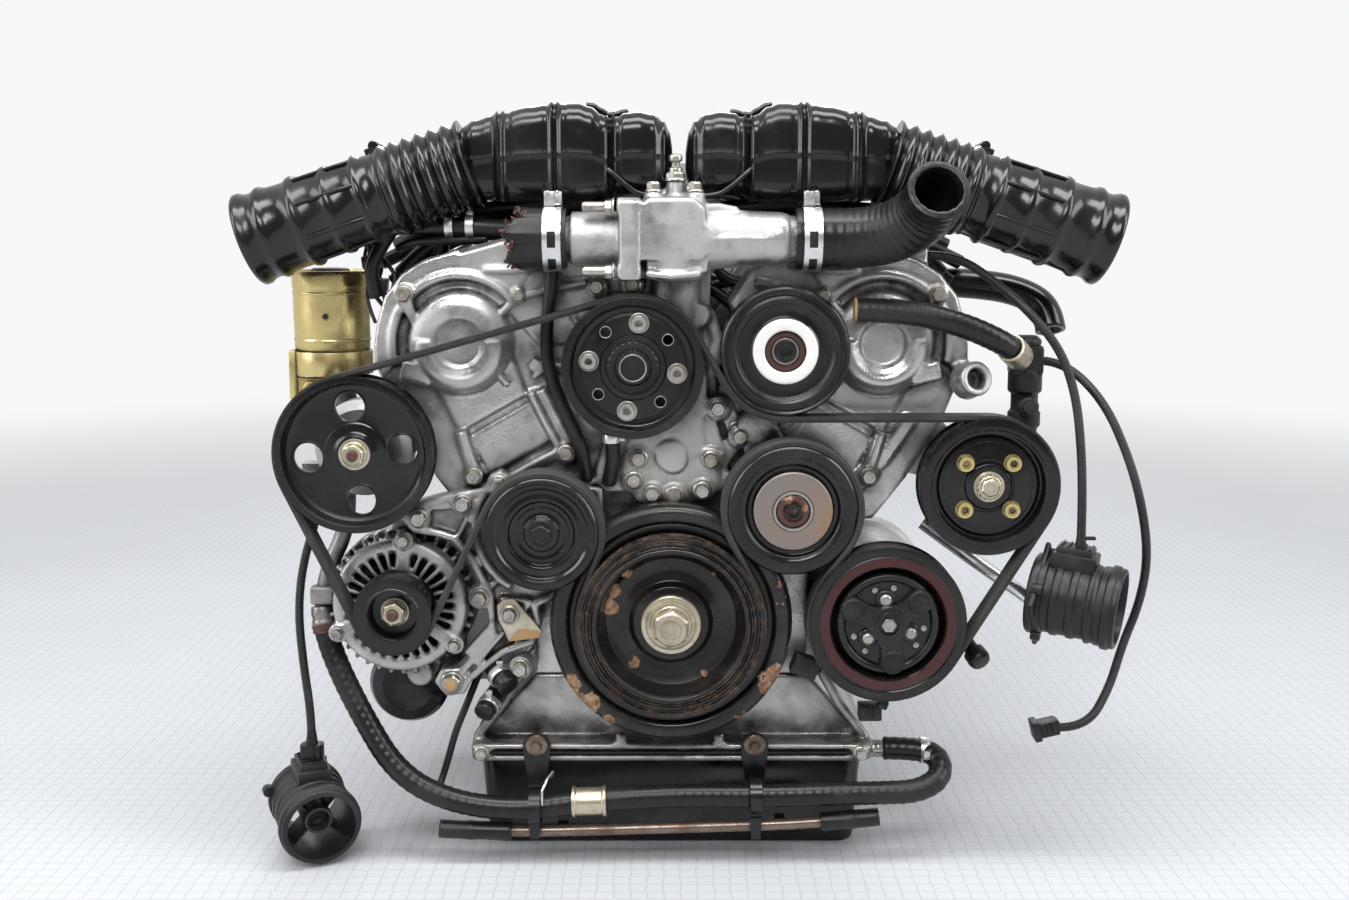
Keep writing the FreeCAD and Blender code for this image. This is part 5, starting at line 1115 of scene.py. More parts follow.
def turned_piece(name, finish, body, stands_for, centre, front, rim, back, holes=(), steps=112, reach=0.7):
    """One pulley: the front face from its middle outwards, the rim, and the back face inwards."""
    work = bmesh.new()
    profile = eased([(0, front[0][1])] + list(front), reach) + list(rim) + eased(list(back)
        + [(0, back[-1][1])], reach)
    lathe(work, profile, centre, steps)
    if not holes:
        return settle(work, name, finish, body, stands_for, 30)
    bmesh.ops.recalc_face_normals(work, faces=work.faces)
    data = bpy.data.meshes.new(name)
    work.to_mesh(data)
    work.free()
    data = drilled(data, [(around(centre, radius, turn), FRONT, size, 40) for radius, turn, size in holes])
    data.transform(Matrix.Scale(MM, 4))
    return place_piece(data, name, finish, body, stands_for, 30)


def around(centre, radius, turn, height=0.0):
    angle = radians(turn)
    return centre + RIGHT * radius * cos(angle) + UP * radius * sin(angle) + FRONT * height


HUB_TEETH = 24


def fan_wheel():
    centre, radius = wheel_at("fan_pulley")
    front = [(22, 8), (23, 5.5), (27, 5.5), (28, 3.6), (43, 3.6), (46, 2.6), (50, 3.4), (51.6, 12.4),
        (53, 14)]
    back = [(51, -12), (50, -4), (20, -4), (16, -12), (16, -40), (9, -40)]
    holes = [(37, 38 + 90 * quarter, 4.3) for quarter in range(4)]
    turned_piece("fan_pulley_dish", PULLEY_BLACK, "fan_pulley", "fan_pulley", centre, front,
        ribbed_rim(radius), back, holes)
    hub = bmesh.new()
    lathe(hub, [(0, 5), (21.5, 5), (21.5, 8), (20.4, 9), (16, 9), (15, 8.4), (14.2, 9), (13.6, 12),
        (10.4, 12.4), (9.8, 10.4), (0, 10)], centre, 96, FRONT, 0,
        lambda angle, height: 0.55 * cos(angle * HUB_TEETH) if 8.5 < height < 9.5 else 0)
    settle(hub, "fan_hub_nose", STEEL_BLACK, "fan_pulley", crease=28)
    bright = bmesh.new()
    for quarter in range(4):
        spot = around(centre, 37.2, 82 + 90 * quarter, 3.4)
        spun(bright, [(8.6, 0), (8.6, 1.6), (7.2, 1.8)], 0.4, spot, 32)
        socket_bolt(bright, spot + FRONT * 1.6, 6.4, 5.4, 0.5 + quarter)
    hoop(bright, oblong(10.4, 11.6, 10.6, 12.6), 0.3, centre, 48)
    settle(bright, "fan_pulley_bolts", BOLT_STEEL, "fan_pulley")
    for quarter in range(4):
        ring = bmesh.new()
        spot = around(centre, 37, 38 + 90 * quarter, 3.4)
        hoop(ring, [(4.3, -2), (4.3, 0.5), (5.2, 0.5), (5.2, -2)], 0.3, spot, 24)
        settle(ring, "fan_pulley_hole_lip_%d" % (quarter + 1), BARE_STEEL, "fan_pulley")


def steering_wheel():
    centre, radius = wheel_at("steering_pulley")
    front = [(15, 6), (16.5, 5), (19, 3.6), (25, 3.2), (27, 2.2), (54, 2.2), (58, 3.6), (59.6, 12), (61, 14)]
    back = [(60, -12), (59, -3), (22, -3), (17, -12), (17, -22), (8, -22)]
    turned_piece("steering_pulley_dish", PULLEY_BLACK, "steering_pulley", "steering_pulley", centre, front,
        ribbed_rim(radius), back, [(40, 5 + 90 * quarter, 12.7) for quarter in range(4)])
    lips = bmesh.new()
    for quarter in range(4):
        spot = around(centre, 40, 5 + 90 * quarter, 2.0)
        hoop(lips, [(12.5, -3.6), (12.5, 0.9), (14.2, 0.6), (14.8, -0.4), (14.8, -3.6)], 0.4, spot, 40)
    settle(lips, "steering_pulley_hole_lips", PULLEY_BLACK, "steering_pulley")
    nut = bmesh.new()
    hoop(nut, oblong(6, 13.4, 5, 7), 0.5, centre, 40)
    hex_bolt(nut, centre + FRONT * 6.8, 17, 7, 11)
    settle(nut, "steering_pulley_nut", ZINC, "steering_pulley")
    stud = bmesh.new()
    lathe(stud, [(0, 10), (4.2, 10)] + eased([(4.6, 12), (4.6, 17.6), (3.4, 18.2), (0, 17.6)], 0.5), centre,
        24)
    settle(stud, "steering_shaft_end", RAW_RUST, "steering_pulley")


def alternator_wheel():
    centre, radius = wheel_at("alternator_pulley")
    front = [(12, -3), (19.6, -3), (20.6, 12.6), (22, 14)]
    back = [(30, -14.5), (20, -15), (14, -16), (14, -22), (8, -22)]
    turned_piece("alternator_pulley_dish", PULLEY_BLACK, "alternator_rotor", "alternator_pulley", centre,
        front, ribbed_rim(radius), back, steps=96)
    ring = bmesh.new()
    hoop(ring, [(21.2, 12.5), (21.2, 14.5), (23, 14.8), (24, 13.6), (24, 12.5)], 0.4, centre, 80)
    settle(ring, "alternator_pulley_lip", PULLEY_BLACK, "alternator_rotor")
    nut = bmesh.new()
    hoop(nut, oblong(6, 12.5, -3, 0), 0.6, centre, 40)
    hex_bolt(nut, centre, 18, 10, 10.5)
    settle(nut, "alternator_pulley_nut", ZINC, "alternator_rotor")
    stud = bmesh.new()
    lathe(stud, [(0, 6), (4.8, 6)] + eased([(4.8, 12), (4.8, 15), (3.8, 16), (0, 15.6)], 0.5), centre, 24)
    settle(stud, "alternator_shaft_end", RAW_RUST, "alternator_rotor")


def hydraulic_wheel():
    centre, radius = wheel_at("hydraulic_pulley")
    front = [(17, 9), (19, 8.6), (20.4, 6), (41.5, 6), (43, 4), (45.6, 4), (47, 11.5), (49.4, 14)]
    back = [(52, -12), (46, -3), (20, -3), (16, -12), (16, -20), (8, -20)]
    turned_piece("hydraulic_pulley_dish", PULLEY_BLACK, "hydraulic_pulley", "hydraulic_pulley", centre,
        front, ribbed_rim(radius), back)
    lip = bmesh.new()
    for inner, outer, height in ((46.6, 49.2, 15.2), (22, 23.4, 7.0), (37.6, 38.6, 6.5)):
        hoop(lip, [(inner, height - 3), (inner, height), (outer, height), (outer, height - 3)], 0.5, centre,
            96)
    settle(lip, "hydraulic_pulley_rings", PULLEY_BLACK, "hydraulic_pulley")
    gold = bmesh.new()
    for quarter in range(4):
        spot = around(centre, 28, 45 + 90 * quarter, 6.2)
        spun(gold, [(7.6, 0), (7.6, 1.2)], 0.4, spot, 30)
        socket_bolt(gold, spot + FRONT, 6.6, 6, 0.2 + quarter * 1.3)
    settle(gold, "hydraulic_pulley_bolts", GOLD, "hydraulic_pulley")
    nose = bmesh.new()
    spun(nose, [(13, 8), (13, 10.5), (10, 11), (10, 14), (9, 15)], 0.6, centre, 40)
    hex_bolt(nose, centre + FRONT * 13, 14, 5)
    for step in range(14):
        block(nose, around(centre, 10.2, step * 360 / 14, 12.4), (2.4, 3.4, 2.4), 0.5, tilt(-step * 360 / 14))
    settle(nose, "hydraulic_shaft_nose", ZINC, "hydraulic_pulley")


def idler(name, finish, front, extras):
    centre, radius = wheel_at(name)
    back = [(radius - 5, -13), (radius - 8, -10), (28, -10), (22, -13), (10, -13)]
    turned_piece(name + "_roller", finish, name, name, centre, front, smooth_rim(radius), back)
    for label, made, profile in extras:
        ring = bmesh.new()
        hoop(ring, profile, 0.5, centre, 88)
        settle(ring, "%s_%s" % (name, label), made, name)
    return centre


def idlers():
    # upper one: a white dust ring round a rusty bearing
    centre = idler("upper_idler", PULLEY_BLACK, [(9, 6), (16, 6), (17, 10), (27, 10.6), (29, 9), (38.6, 9),
        (41, 11.6), (44, 13), (45.6, 12), (50, 12)],
        (("dust_ring", WHITE_SEAL, [(17.2, 10), (17.2, 12.6), (18.4, 13.4), (25.6, 13.4), (27.2, 12.4),
        (27.2, 10)]),
        ("rust_ring", RAW_RUST, [(11.6, 7), (11.6, 9), (12.6, 9.6), (16.4, 9.6), (17, 8.6), (17, 7)]),
        ("inner_ring", BARE_STEEL, [(8.8, 7), (8.8, 9.8), (11.2, 9.8), (11.2, 7)]),
        ("rim_ring", PULLEY_BLACK, [(47.4, 11.6), (47.4, 13.4), (48.8, 13.4), (48.8, 11.6)])))
    bolt = bmesh.new()
    socket_bolt(bolt, centre + FRONT * 7, 8.7, 8, 0.4)
    settle(bolt, "upper_idler_bolt", STEEL_BLACK)
    # tensioner: a wide worn face, grey on one side and tan on the other
    centre = idler("tensioner_pulley", PULLEY_BLACK,
        [(9, 6.4), (16, 6.4), (17, 11), (33.4, 11.6), (35, 8), (38, 8), (40, 11), (43, 13), (50, 13)],
        (("worn_face", TAN_SEAL, [(17.2, 11), (17.2, 12.6), (18, 13), (32, 13), (33.4, 12.2), (33.4, 11)]),
        ("bearing_ring", BARE_STEEL, [(14.6, 9), (14.6, 13.4), (17, 13.4), (17, 9)]),
        ("rim_ring", PULLEY_BLACK, [(44, 12.4), (44, 14), (45.6, 14), (45.6, 12.4)])))
    disc = bmesh.new()
    spun(disc, [(14.2, 7.4), (14.2, 12), (12, 13.4), (9, 13.4), (9, 12)], 0.6, centre, 56)
    settle(disc, "tensioner_bolt_disc", RAW_RUST)
    bolt = bmesh.new()
    socket_bolt(bolt, centre + FRONT * 11, 7.4, 4.4, 0.1)
    settle(bolt, "tensioner_bolt", STEEL_BLACK)
    # left one: pressed steel with raised rings round a dark bolt
    centre = idler("left_idler", PULLEY_BLACK, [(14, 10), (15.5, 8), (19, 7.4), (21, 8), (27, 8),
        (28.6, 10.4), (31, 11), (35, 10), (38, 10.4), (40.6, 13), (43, 13)],
        (("inner_ring", PULLEY_BLACK, [(21.4, 7.4), (21.4, 9.4), (23.4, 9.4), (23.4, 7.4)]),
        ("rim_ring", PULLEY_BLACK, [(42, 12.4), (42, 14), (44, 14), (44, 12.4)])))
    bolt = bmesh.new()
    spun(bolt, [(13.6, 8), (13.6, 10.6), (11, 11.4)], 0.6, centre, 48)
    hex_bolt(bolt, centre + FRONT * 10.6, 16, 6, 0, 0.5)
    settle(bolt, "left_idler_bolt", STEEL_BLACK)


def crank_wheel():
    centre, radius = wheel_at("crank_pulley")
    dish = [(26, 3), (32, 2), (36, -3.5), (44, -5.5), (50, -6), (56, -4), (60, 4), (62, 12), (64, 15),
        (67, 15.6), (68.4, 13), (70, 12.4), (71, 14.4), (73, 14.6), (74, 12), (76, 11.6), (76.8, 13.6)]
    back = [(76, -13), (72, -8), (30, -8), (28, -24), (16, -24)]
    turned_piece("crank_pulley_dish", FACE_BLACK, "crank", "crank_pulley", centre, dish, ribbed_rim(radius),
        back, steps=144)
    ring = bmesh.new()
    hoop(ring, [(88.4, -16), (88.4, 3), (90, 5.4), (97, 6.4), (100.6, 5), (103.6, 1), (104.4, -2),
        (104.4, -14), (102, -17), (92, -18)], 1.6, centre, 160)
    settle(ring, "damper_outer_ring", DAMPER_BLACK, "crank", "damper_ring")
    rubber = bmesh.new()
    hoop(rubber, [(79.5, -13), (79.5, -1), (82, 1.6), (86, 1.8), (88.6, 0), (88.6, -13)], 1.2, centre, 120)
    settle(rubber, "damper_rubber_ring", HOSE_RUBBER, "crank", "damper_rubber")
    nut = bmesh.new()
    hoop(nut, [(8, 3), (25.6, 3), (26, 4.2), (25.4, 7.6), (22, 8.4), (20.5, 7.6), (16, 8), (8, 8)], 0.6,
        centre, 72)
    lathe(nut, [(0, 8)] + eased([(17.4, 8), (17, 10), (15.5, 10.6), (0, 10.6)], 0.5), centre, 56)
    lathe(nut, [(0, 9), (16.4, 9), (16.4, 22.4), (14.2, 24.4), (0, 24.4)], centre, 6, FRONT, 0.42)
    lathe(nut, [(0, 22), (13.8, 24), (13, 25.2), (9, 25.2), (8.2, 23.4), (0, 23)], centre, 48)
    settle(nut, "crank_bolt_head", ZINC, "crank", "crank_bolt", 28)
    for place, turn in ((1, 222), (2, 318), (3, 96)):
        pit = bmesh.new()
        lathe(pit, [(0, -8), (3.4, -8), (3.6, -3.8), (3.2, -3.2), (0, -3.4)],
            around(centre, 48.0, turn, -2.2), 20)
        settle(pit, "crank_balance_plug_%d" % place, STEEL_BLACK, "crank")


# Where the clutch plate's caps and rivets stand, in degrees
CAP_TURNS = (37, 157, 277)
RIVET_TURNS = (97, 217, 337)


def compressor_clutch():
    centre, radius = wheel_at("compressor_pulley")
    front = [(21, -2), (45.6, -2), (46.6, 5), (48.6, 12), (50, 14), (58, 14), (59, 13.2), (60, 14), (62, 14)]
    back = [(60, -12), (54, -13), (40, -13), (22, -14), (21, -20), (10, -20)]
    turned_piece("compressor_rotor", PULLEY_BLACK, "compressor_pulley", "compressor_pulley", centre, front,
        ribbed_rim(radius), back, steps=128)
    worn = bmesh.new()
    closed_lathe(worn, [(45.9, 3), (46.9, 5.2), (48.9, 12.2), (50.2, 14.4), (57.6, 14.4), (57.6, 13.4),
        (50.6, 13.2), (49.4, 11.4), (47.4, 5), (46.6, 3)], centre, 112)
    settle(worn, "compressor_rotor_worn_ring", RED_BLACK, "compressor_pulley")

    plate = bmesh.new()
    hoop(plate, [(15, 6.6), (15, 9.0), (18, 9.2), (36, 9.2), (38, 12.4), (40, 13.2), (42.6, 12.6), (44, 10),
        (44, 6.6)], 0.7, centre, 96)
    # three sprung arms reach from the middle to the caps
    for turn in CAP_TURNS:
        arm = [(8, 13), (20, 8.4)]
        lead = radians(turn)
        tip = [(33 + 11 * cos(radians(angle)), 11 * sin(radians(angle))) for angle in range(75, -76, -15)]
        shape = [(centre.x + along * cos(lead) - off * sin(lead), centre.z + along * sin(lead) + off
            * cos(lead)) for along, off in arm + tip + [(reach, -half) for reach, half in reversed(arm)]]
        slab(plate, shape, BELT_PLANE - 9, BELT_PLANE - 15.4, 1.0)
    spun(plate, [(17, 9), (17, 14.6), (14, 16)], 0.9, centre, 48)
    spun(plate, [(11.4, 14), (11.4, 18), (8.4, 18.6), (8, 16.6), (0, 16.4)], 0.6, centre, 40)
    for turn in RIVET_TURNS:
        spun(plate, [(8.4, 8.6), (8.4, 11.4), (7, 12.4)], 0.7, around(centre, 21, turn), 28)
    settle(plate, "clutch_plate_star", STEEL_BLACK, "clutch_plate", "clutch_plate", 28)
    caps = bmesh.new()
    for turn in CAP_TURNS:
        spot = around(centre, 33, turn)
        spun(caps, [(10.4, 9), (10.4, 15.6), (9, 17.6), (7.4, 18.2)], 0.9, spot, 36)
        hoop(caps, [(7.6, 17), (7.6, 18.9), (9.2, 18.6), (9.2, 17)], 0.4, spot, 36)
    spot = around(centre, 33, CAP_TURNS[0], 18.0)
    for turn in (20, 110):
        block(caps, spot, (9.4, 2.0, 2.2), 0.5, tilt(-turn))
    settle(caps, "clutch_rubber_caps", DULL_BLACK, "clutch_plate")
    rivets = bmesh.new()
    for turn in RIVET_TURNS:
        spun(rivets, [(5.2, 12), (5.2, 13.6), (3.6, 14.8), (0, 15)], 0.7, around(centre, 21, turn), 24)
        for lean in (-15, 15):
            spun(rivets, [(2.6, 9), (2.6, 10.4), (0, 10.8)], 0.5, around(centre, 31, turn + lean), 16)
    settle(rivets, "clutch_rivets", BARE_STEEL, "clutch_plate")
    core = bmesh.new()
    spun(core, [(6.4, 16), (6.4, 18), (4, 18.4), (0, 17.6)], 0.5, centre, 6)
    settle(core, "clutch_centre_nut", BARE_STEEL, "clutch_plate")


fan_wheel()
steering_wheel()
alternator_wheel()
hydraulic_wheel()
idlers()
crank_wheel()
compressor_clutch()


# Front castings

COVER_FACE = -660.0


def strip(work, points, width, back, front, ease=1.0):
    """A straight-sided web that follows (across, up) points, with round joints."""
    for (x0, z0), (x1, z1) in zip(points, points[1:]):
        long = hypot(x1 - x0, z1 - z0)
        turn = tilt(-degrees(atan2(z1 - z0, x1 - x0)))
        block(work, ((x0 + x1) / 2, (back + front) / 2, (z0 + z1) / 2), (long + 0.5, abs(back - front),
            width), ease, turn)
    for spot in points:
        spun(work, [(width / 2, 0), (width / 2, back - front)], ease, (spot[0], back, spot[1]), 20)


def timing_cover(label, side):
    """One bank's cover, drawn for the left one and mirrored for the right one."""
    def flip(points):
        return [(-side * x, z) for x, z in points]

    face = COVER_FACE
    work = bmesh.new()
    rim = [(-254, 221), (-254, 236), (-251, 255), (-244, 278), (-229, 297), (-210, 309), (-180, 318)]
    outline = [(-18, 163), (-63, 111), (-115, 81), (-176, 84), (-204, 120), (-236, 175)] + rim
    outline += [(-143, 327), (-101, 331), (-66, 305), (-48, 275), (-60, 237)]
    slab(work, flip(outline), -607, face + 3, 3)
    bell = flip([(-180, 238)])[0]
    start, end = (40, 196) if side < 0 else (140, -16)
    # the brim outside the bell, the arm towards the middle and the panels stand above the face
    inner = ring_points(bell, 58, start, end, 8)
    outer = flip([(-98, 326), (-143, 325), (-180, 315)] + rim[::-1] + [(-247, 205)])
    slab(work, outer + inner[::-1], -640, face - 3, 2.5)
    rib(work, ring_points(bell, 58, start, end, 6), 4.2, face - 2)
    slab(work, flip([(-137, 262), (-112, 235), (-66, 240), (-50, 272), (-68, 302), (-100, 322),
        (-128, 296)]), -640, face - 1, 3)
    lathe(work, [(0, 0)] + eased([(47, 0), (45.5, 3), (42, 10), (34, 13.5), (21, 14.5), (18.5, 10), (0, 9)],
        2.0), (bell[0], face + 4, bell[1]), 72)
    lip = ring_points((bell[0], bell[1] - 2), 30, 172, 368, 7)
    rib(work, lip, 9.5, face - 4.5, 18)
    rib(work, flip([(-146, 262), (-134, 274)]), 4, face - 1)
    rib(work, flip([(-150, 214), (-140, 203)]), 3, face - 1)
    tube(work, [(x, face - y, z) for (x, z), y in zip(flip([(-226, 280), (-221, 264), (-217, 248)]),
        (7, 5, 0))], lambda run: 6.4 - 0.13 * run, 16)
    boss(work, flip([(-226, 280)])[0], 7.5, face, face - 10)
    block(work, (side * 217, face - 5, 213), (27, 12, 17), 2.2, tilt(-side * 14))
    # two panels split by a groove
    slab(work, flip([(-203, 203), (-183, 161), (-124, 194), (-136, 227), (-158, 200), (-180, 193)]), -650,
        face - 0.5, 1.2)
    slab(work, flip([(-174, 158), (-123, 187), (-104, 154), (-157, 124)]), -650, face - 0.5, 1.2)
    for bead, radius, proud, sides in (
            ([(-181, 162), (-176, 144), (-170, 126)], 6.0, 1.5, 14),
            ([(-120, 196), (-108, 172), (-95, 147)], 4.6, 2, 14),
            ([(-110, 199), (-98, 176), (-86, 152)], 4.6, 2, 14),
            ([(-144, 120), (-116, 136), (-86, 151)], 3.6, 3, 12),
            ([(-166, 110), (-140, 118), (-100, 140)], 2.6, 1, 12),
            ([(-132, 277), (-104, 284), (-72, 290)], 3.4, 3, 12),
            ([(-158, 300), (-130, 300), (-100, 306)], 3.0, 3, 12),
            ([(-84, 262), (-72, 246), (-66, 222)], 3.0, 2, 12)):
        rib(work, flip(bead), radius, face - proud, sides)
    for spot, radius, proud in (((-170, 124), 8.5, 8), ((-90, 144), 9.5, 6), ((-129, 279), 6.5, 5)):
        boss(work, flip([spot])[0], radius, face, face - proud)
    if side > 0:
        across, up, _ = WHEELS["upper_idler"]
        boss(work, (across, up), 19, face, face - 13, 2.0)
        strip(work, [(204, 170), (182, 138), (158, 116)], 13, face + 4, face - 5, 2)
        spun(work, [(17, 0), (15, 10), (15, 20), (9, 20), (8, 8)], 1.6, (252, face - 2, 206), 40,
            Vector((0.35, -0.9, 0.2)))
        block(work, (209, -640, 310), (22, 22, 22), 3)
    cast_piece(work, "timing_cover_%s_casting" % label, CAST["cover"], stands_for="timing_cover_" + label,
        grain=1.7, rounds=3)


def front_cover():
    work = bmesh.new()
    node_mesh(work, "front_cover")
    face = -668.0
    shield = [(-37, 230), (-33, 170), (-40, 150), (-44, 128), (-30, 102), (-12, 98), (14, 98), (32, 104),
        (44, 117), (43, 131), (33, 137), (29, 163), (33, 230)]
    slab(work, shield, -650, face - 1.5, 3)
    for across, up in FRONT_BOLTS:
        boss(work, (across, up), 10.5, face + 6, face - 3)
    boss(work, (2, 139), 11.5, face, face - 4.4)
    strip(work, [(44, 138), (58, 160), (46, 186)], 15, -652, face + 1, 2)
    rib(work, [(-44, 128), (-70, 118), (-100, 112)], 4, face + 3)
    rib(work, [(46, 124), (70, 122), (96, 128)], 4, face + 3)
    cast_piece(work, "front_cover_casting", CAST["cover"], stands_for="front_cover", grain=1.7, rounds=3)

    pump = bmesh.new()
    node_mesh(pump, "water_pump_housing")
    for spot in ((-63, 286), (-33, 288), (-14, 262), (24, 262)):
        boss(pump, spot, 10.5, -650, -663, 2)
    strip(pump, [(-63, 286), (-33, 288)], 14, -648, -658, 2)
    strip(pump, [(-63, 286), (-78, 262), (-92, 240), (-96, 220)], 12, -648, -656, 2)
    strip(pump, [(-118, 219), (-96, 218), (-84, 214)], 9, -652, -664, 2)
    rib(pump, [(-118, 224), (-104, 217), (-118, 209)], 3, -662)
    strip(pump, [(34, 262), (40, 240), (33, 214), (36, 190)], 10, -648, -657, 2)
    cast_piece(pump, "water_pump_casting", CAST["cover"], stands_for="water_pump_housing", grain=1.7,
        rounds=3)


BRACKET = [(-231, 90), (-222, 98), (-205, 103), (-173, 110), (-158, 112), (-153, 124), (-142, 124),
    (-136, 113), (-100, 116), (-62, 112), (-62, 60), (-100, 20), (-119, 12), (-116, -6), (-122, -22),
    (-147, -31), (-178, -56), (-183, -66), (-196, -68), (-204, -58), (-199, -49), (-182, -48), (-156, -14),
    (-157, 20), (-174, 54), (-187, 70), (-203, 75), (-222, 78)]


def bracket():
    """A flat web with a raised border, an arc round the idler, pads and open pockets."""
    work = bmesh.new()
    slab(work, BRACKET, -643, -664, 2)
    strip(work, BRACKET + BRACKET[:1], 6.5, -652, -673.5, 1.6)
    across, up, _ = WHEELS["left_idler"]
    boss(work, (across, up), 22, -650, -675, 2.5)
    strip(work, ring_points((across, up), 60, 128, 238, 10), 6.5, -652, -673.5, 1.6)
    for spot in BRACKET_BOLTS:
        boss(work, spot, 10.5, -655, -674.5, 2)
    strip(work, [(-206, 97), (-171, 98), (-183, 74)], 5, -655, -672, 1.2)
    strip(work, [(-148, 16), (-124, 14), (-130, 0)], 5, -655, -672, 1.2)
    for lean in (-4.5, 4.5):
        strip(work, [(-151 + lean, -9 - lean), (-174 + lean, -36 - lean)], 4, -655, -674.5, 1.2)
    slab(work, [(-142, -2), (-150, 6), (-186, -44), (-176, -50)], -643, -669, 2)
    strip(work, [(-142, -4), (-132, -24)], 6, -655, -672, 1.2)
    strip(work, [(-168, 16), (-150, 34), (-140, 30)], 5, -655, -671, 1.2)
    strip(work, [(-100, 20), (-90, 36), (-78, 46)], 5, -655, -671, 1.2)
    cast_piece(work, "accessory_bracket_casting", CAST["bright"], stands_for="accessory_bracket", grain=1.6,
        rounds=3)

    tab = bmesh.new()
    slab(tab, [(-151, 12), (-146, 17), (-136, 18), (-128, 8), (-112, -11), (-115, -17), (-141, -20),
        (-150, 0)], -674, -677.4, 0.9)
    settle(tab, "bracket_hose_tab", ZINC)
    edge = bmesh.new()
    slab(edge, [(-133, -9), (-112, -11), (-115, -17), (-141, -20)], -676, -678, 0.6)
    settle(edge, "bracket_hose_tab_worn", CUT_CORD)


def alternator():
    across, up, _ = WHEELS["alternator"]
    centre = Vector((across, -668, up))
    work = bmesh.new()
    hoop(work, [(47, -20), (47, 1), (50, 3), (57.5, 2), (59, -2), (59, -16), (56, -20)], 1.4, centre, 96)
    hoop(work, [(16, -12), (16, 3), (26, 3), (29, 0), (29, -12)], 1.4, centre, 64)
    for number in range(30):
        turn = 12.0 * number + 6
        spot = around(centre, 38, turn, -4)
        block(work, spot, (23, 14, 3.4), 0.8, tilt(-turn))
    for number in range(36):
        turn = 10.0 * number
        block(work, around(centre, 60.5, turn, -18), (9, 18, 4.2), 0.9, tilt(-turn))
    hoop(work, [(54, -48), (54, -24), (64, -24), (65, -30), (65, -46), (62, -48)], 1.2, centre, 96)
    for turn in (84, 204, 324):
        block(work, around(centre, 42, turn, -1), (34, 10, 13), 2.0, tilt(-turn))
        boss(work, tuple(around(centre, 59, turn).xz), 8.5, -660, -673, 1.6)
    hoop(work, [(50, -108), (56, -104), (59, -92), (59, -50), (50, -48)], 2, centre, 80)
    for spot, reach in (((4, 66), 48), ((14, -66), -48)):
        boss(work, (across + spot[0], up + spot[1]), 11.5, -622, -655, 2)
        block(work, (across + spot[0] * 0.9, -638, up + reach), (18, 24, 34), 2.5)
    cast_piece(work, "alternator_casting", CAST["bright"], stands_for="alternator_housing", grain=1.5,
        rounds=2)
    core = bmesh.new()
    lathe(core, oblong(0, 52, -100, -14), centre, 64)
    for number in range(24):
        turn = 15.0 * number
        block(core, around(centre, 40, turn, -12), (14, 6, 7), 1.6, tilt(-turn))
    settle(core, "alternator_windings", DULL_BLACK)
    nuts = bmesh.new()
    for turn in (84, 204, 324):
        hex_bolt(nuts, around(centre, 59, turn, 4), 9, 5, 6)
    settle(nuts, "alternator_through_bolts", BOLT_STEEL)


FRONT_BOLTS = [(-28, 140), (34, 139), (-32, 121), (-16, 109), (3, 108), (27, 112), (40, 183), (59, 159)]
PALE_BOLT = (-192, -58)
BRACKET_BOLTS = [(-217, 88), (-179, 101), (-148, 118), PALE_BOLT, (-166, 18), (-132, -45)]


def fasteners():
    work = bmesh.new()
    for number, (across, up) in enumerate(FRONT_BOLTS):
        hex_bolt(work, (across, -670.5, up), 11.5, 5.5, 8.4, number * 0.7)
    for number, (across, up) in enumerate(BRACKET_BOLTS):
        if (across, up) != PALE_BOLT:
            hex_bolt(work, (across, -674, up), 12, 6, 8.6, number * 0.5)
    for number, spot in enumerate(((-63, 286), (-33, 288), (-14, 262))):
        hex_bolt(work, (spot[0], -662.5, spot[1]), 11, 5, 8, number)
    for side in SIDES.values():
        for number, (across, up, size, face) in enumerate(((226, 280, 11.5, -668), (129, 279, 9, -664.5),
                (170, 124, 11.5, -668), (90, 144, 11.5, -668))):
            hex_bolt(work, (side * across, face, up), size, 5, size * 0.7, number)
    settle(work, "cover_bolt_heads", BOLT_STEEL, stands_for="cover_bolts")
    pale = bmesh.new()
    hex_bolt(pale, (-192, -674, -58), 15, 6, 10)
    hex_bolt(pale, (-140, -677, 4), 11, 5, 8.6)
    settle(pale, "bracket_plated_bolts", BOLT_STEEL)
    rusty = bmesh.new()
    spun(rusty, [(5.4, 5), (5, 9.2), (0, 9.6)], 0.5, (-192, -674, -58), 20)
    settle(rusty, "bracket_rusty_bolt_end", CUT_CORD)
    posts = bmesh.new()
    for name, back in (("left_idler", -645), ("upper_idler", -647), ("tensioner", -648)):
        across, up, _ = WHEELS[name]
        spun(posts, [(8.2, 0), (8.2, 46)], 0.6, (across, back, up), 28)
    settle(posts, "idler_posts", BARE_STEEL)


def tensioner_arm():
    work = bmesh.new()
    node_mesh(work, "tensioner_arm")
    strip(work, [(103, 100), (86, 140), (72, 168)], 24, -652, -669, 3)
    boss(work, (72, 168), 15, -655, -674, 2)
    rib(work, [(112, 120), (96, 150), (84, 178)], 4, -668)
    cast_piece(work, "tensioner_arm_casting", CAST["cover"], stands_for="tensioner_arm", grain=1.8)


for label, side in SIDES.items():
    timing_cover(label, side)
front_cover()
bracket()
alternator()
fasteners()
tensioner_arm()


# Sumps, lower hoses and the small fittings

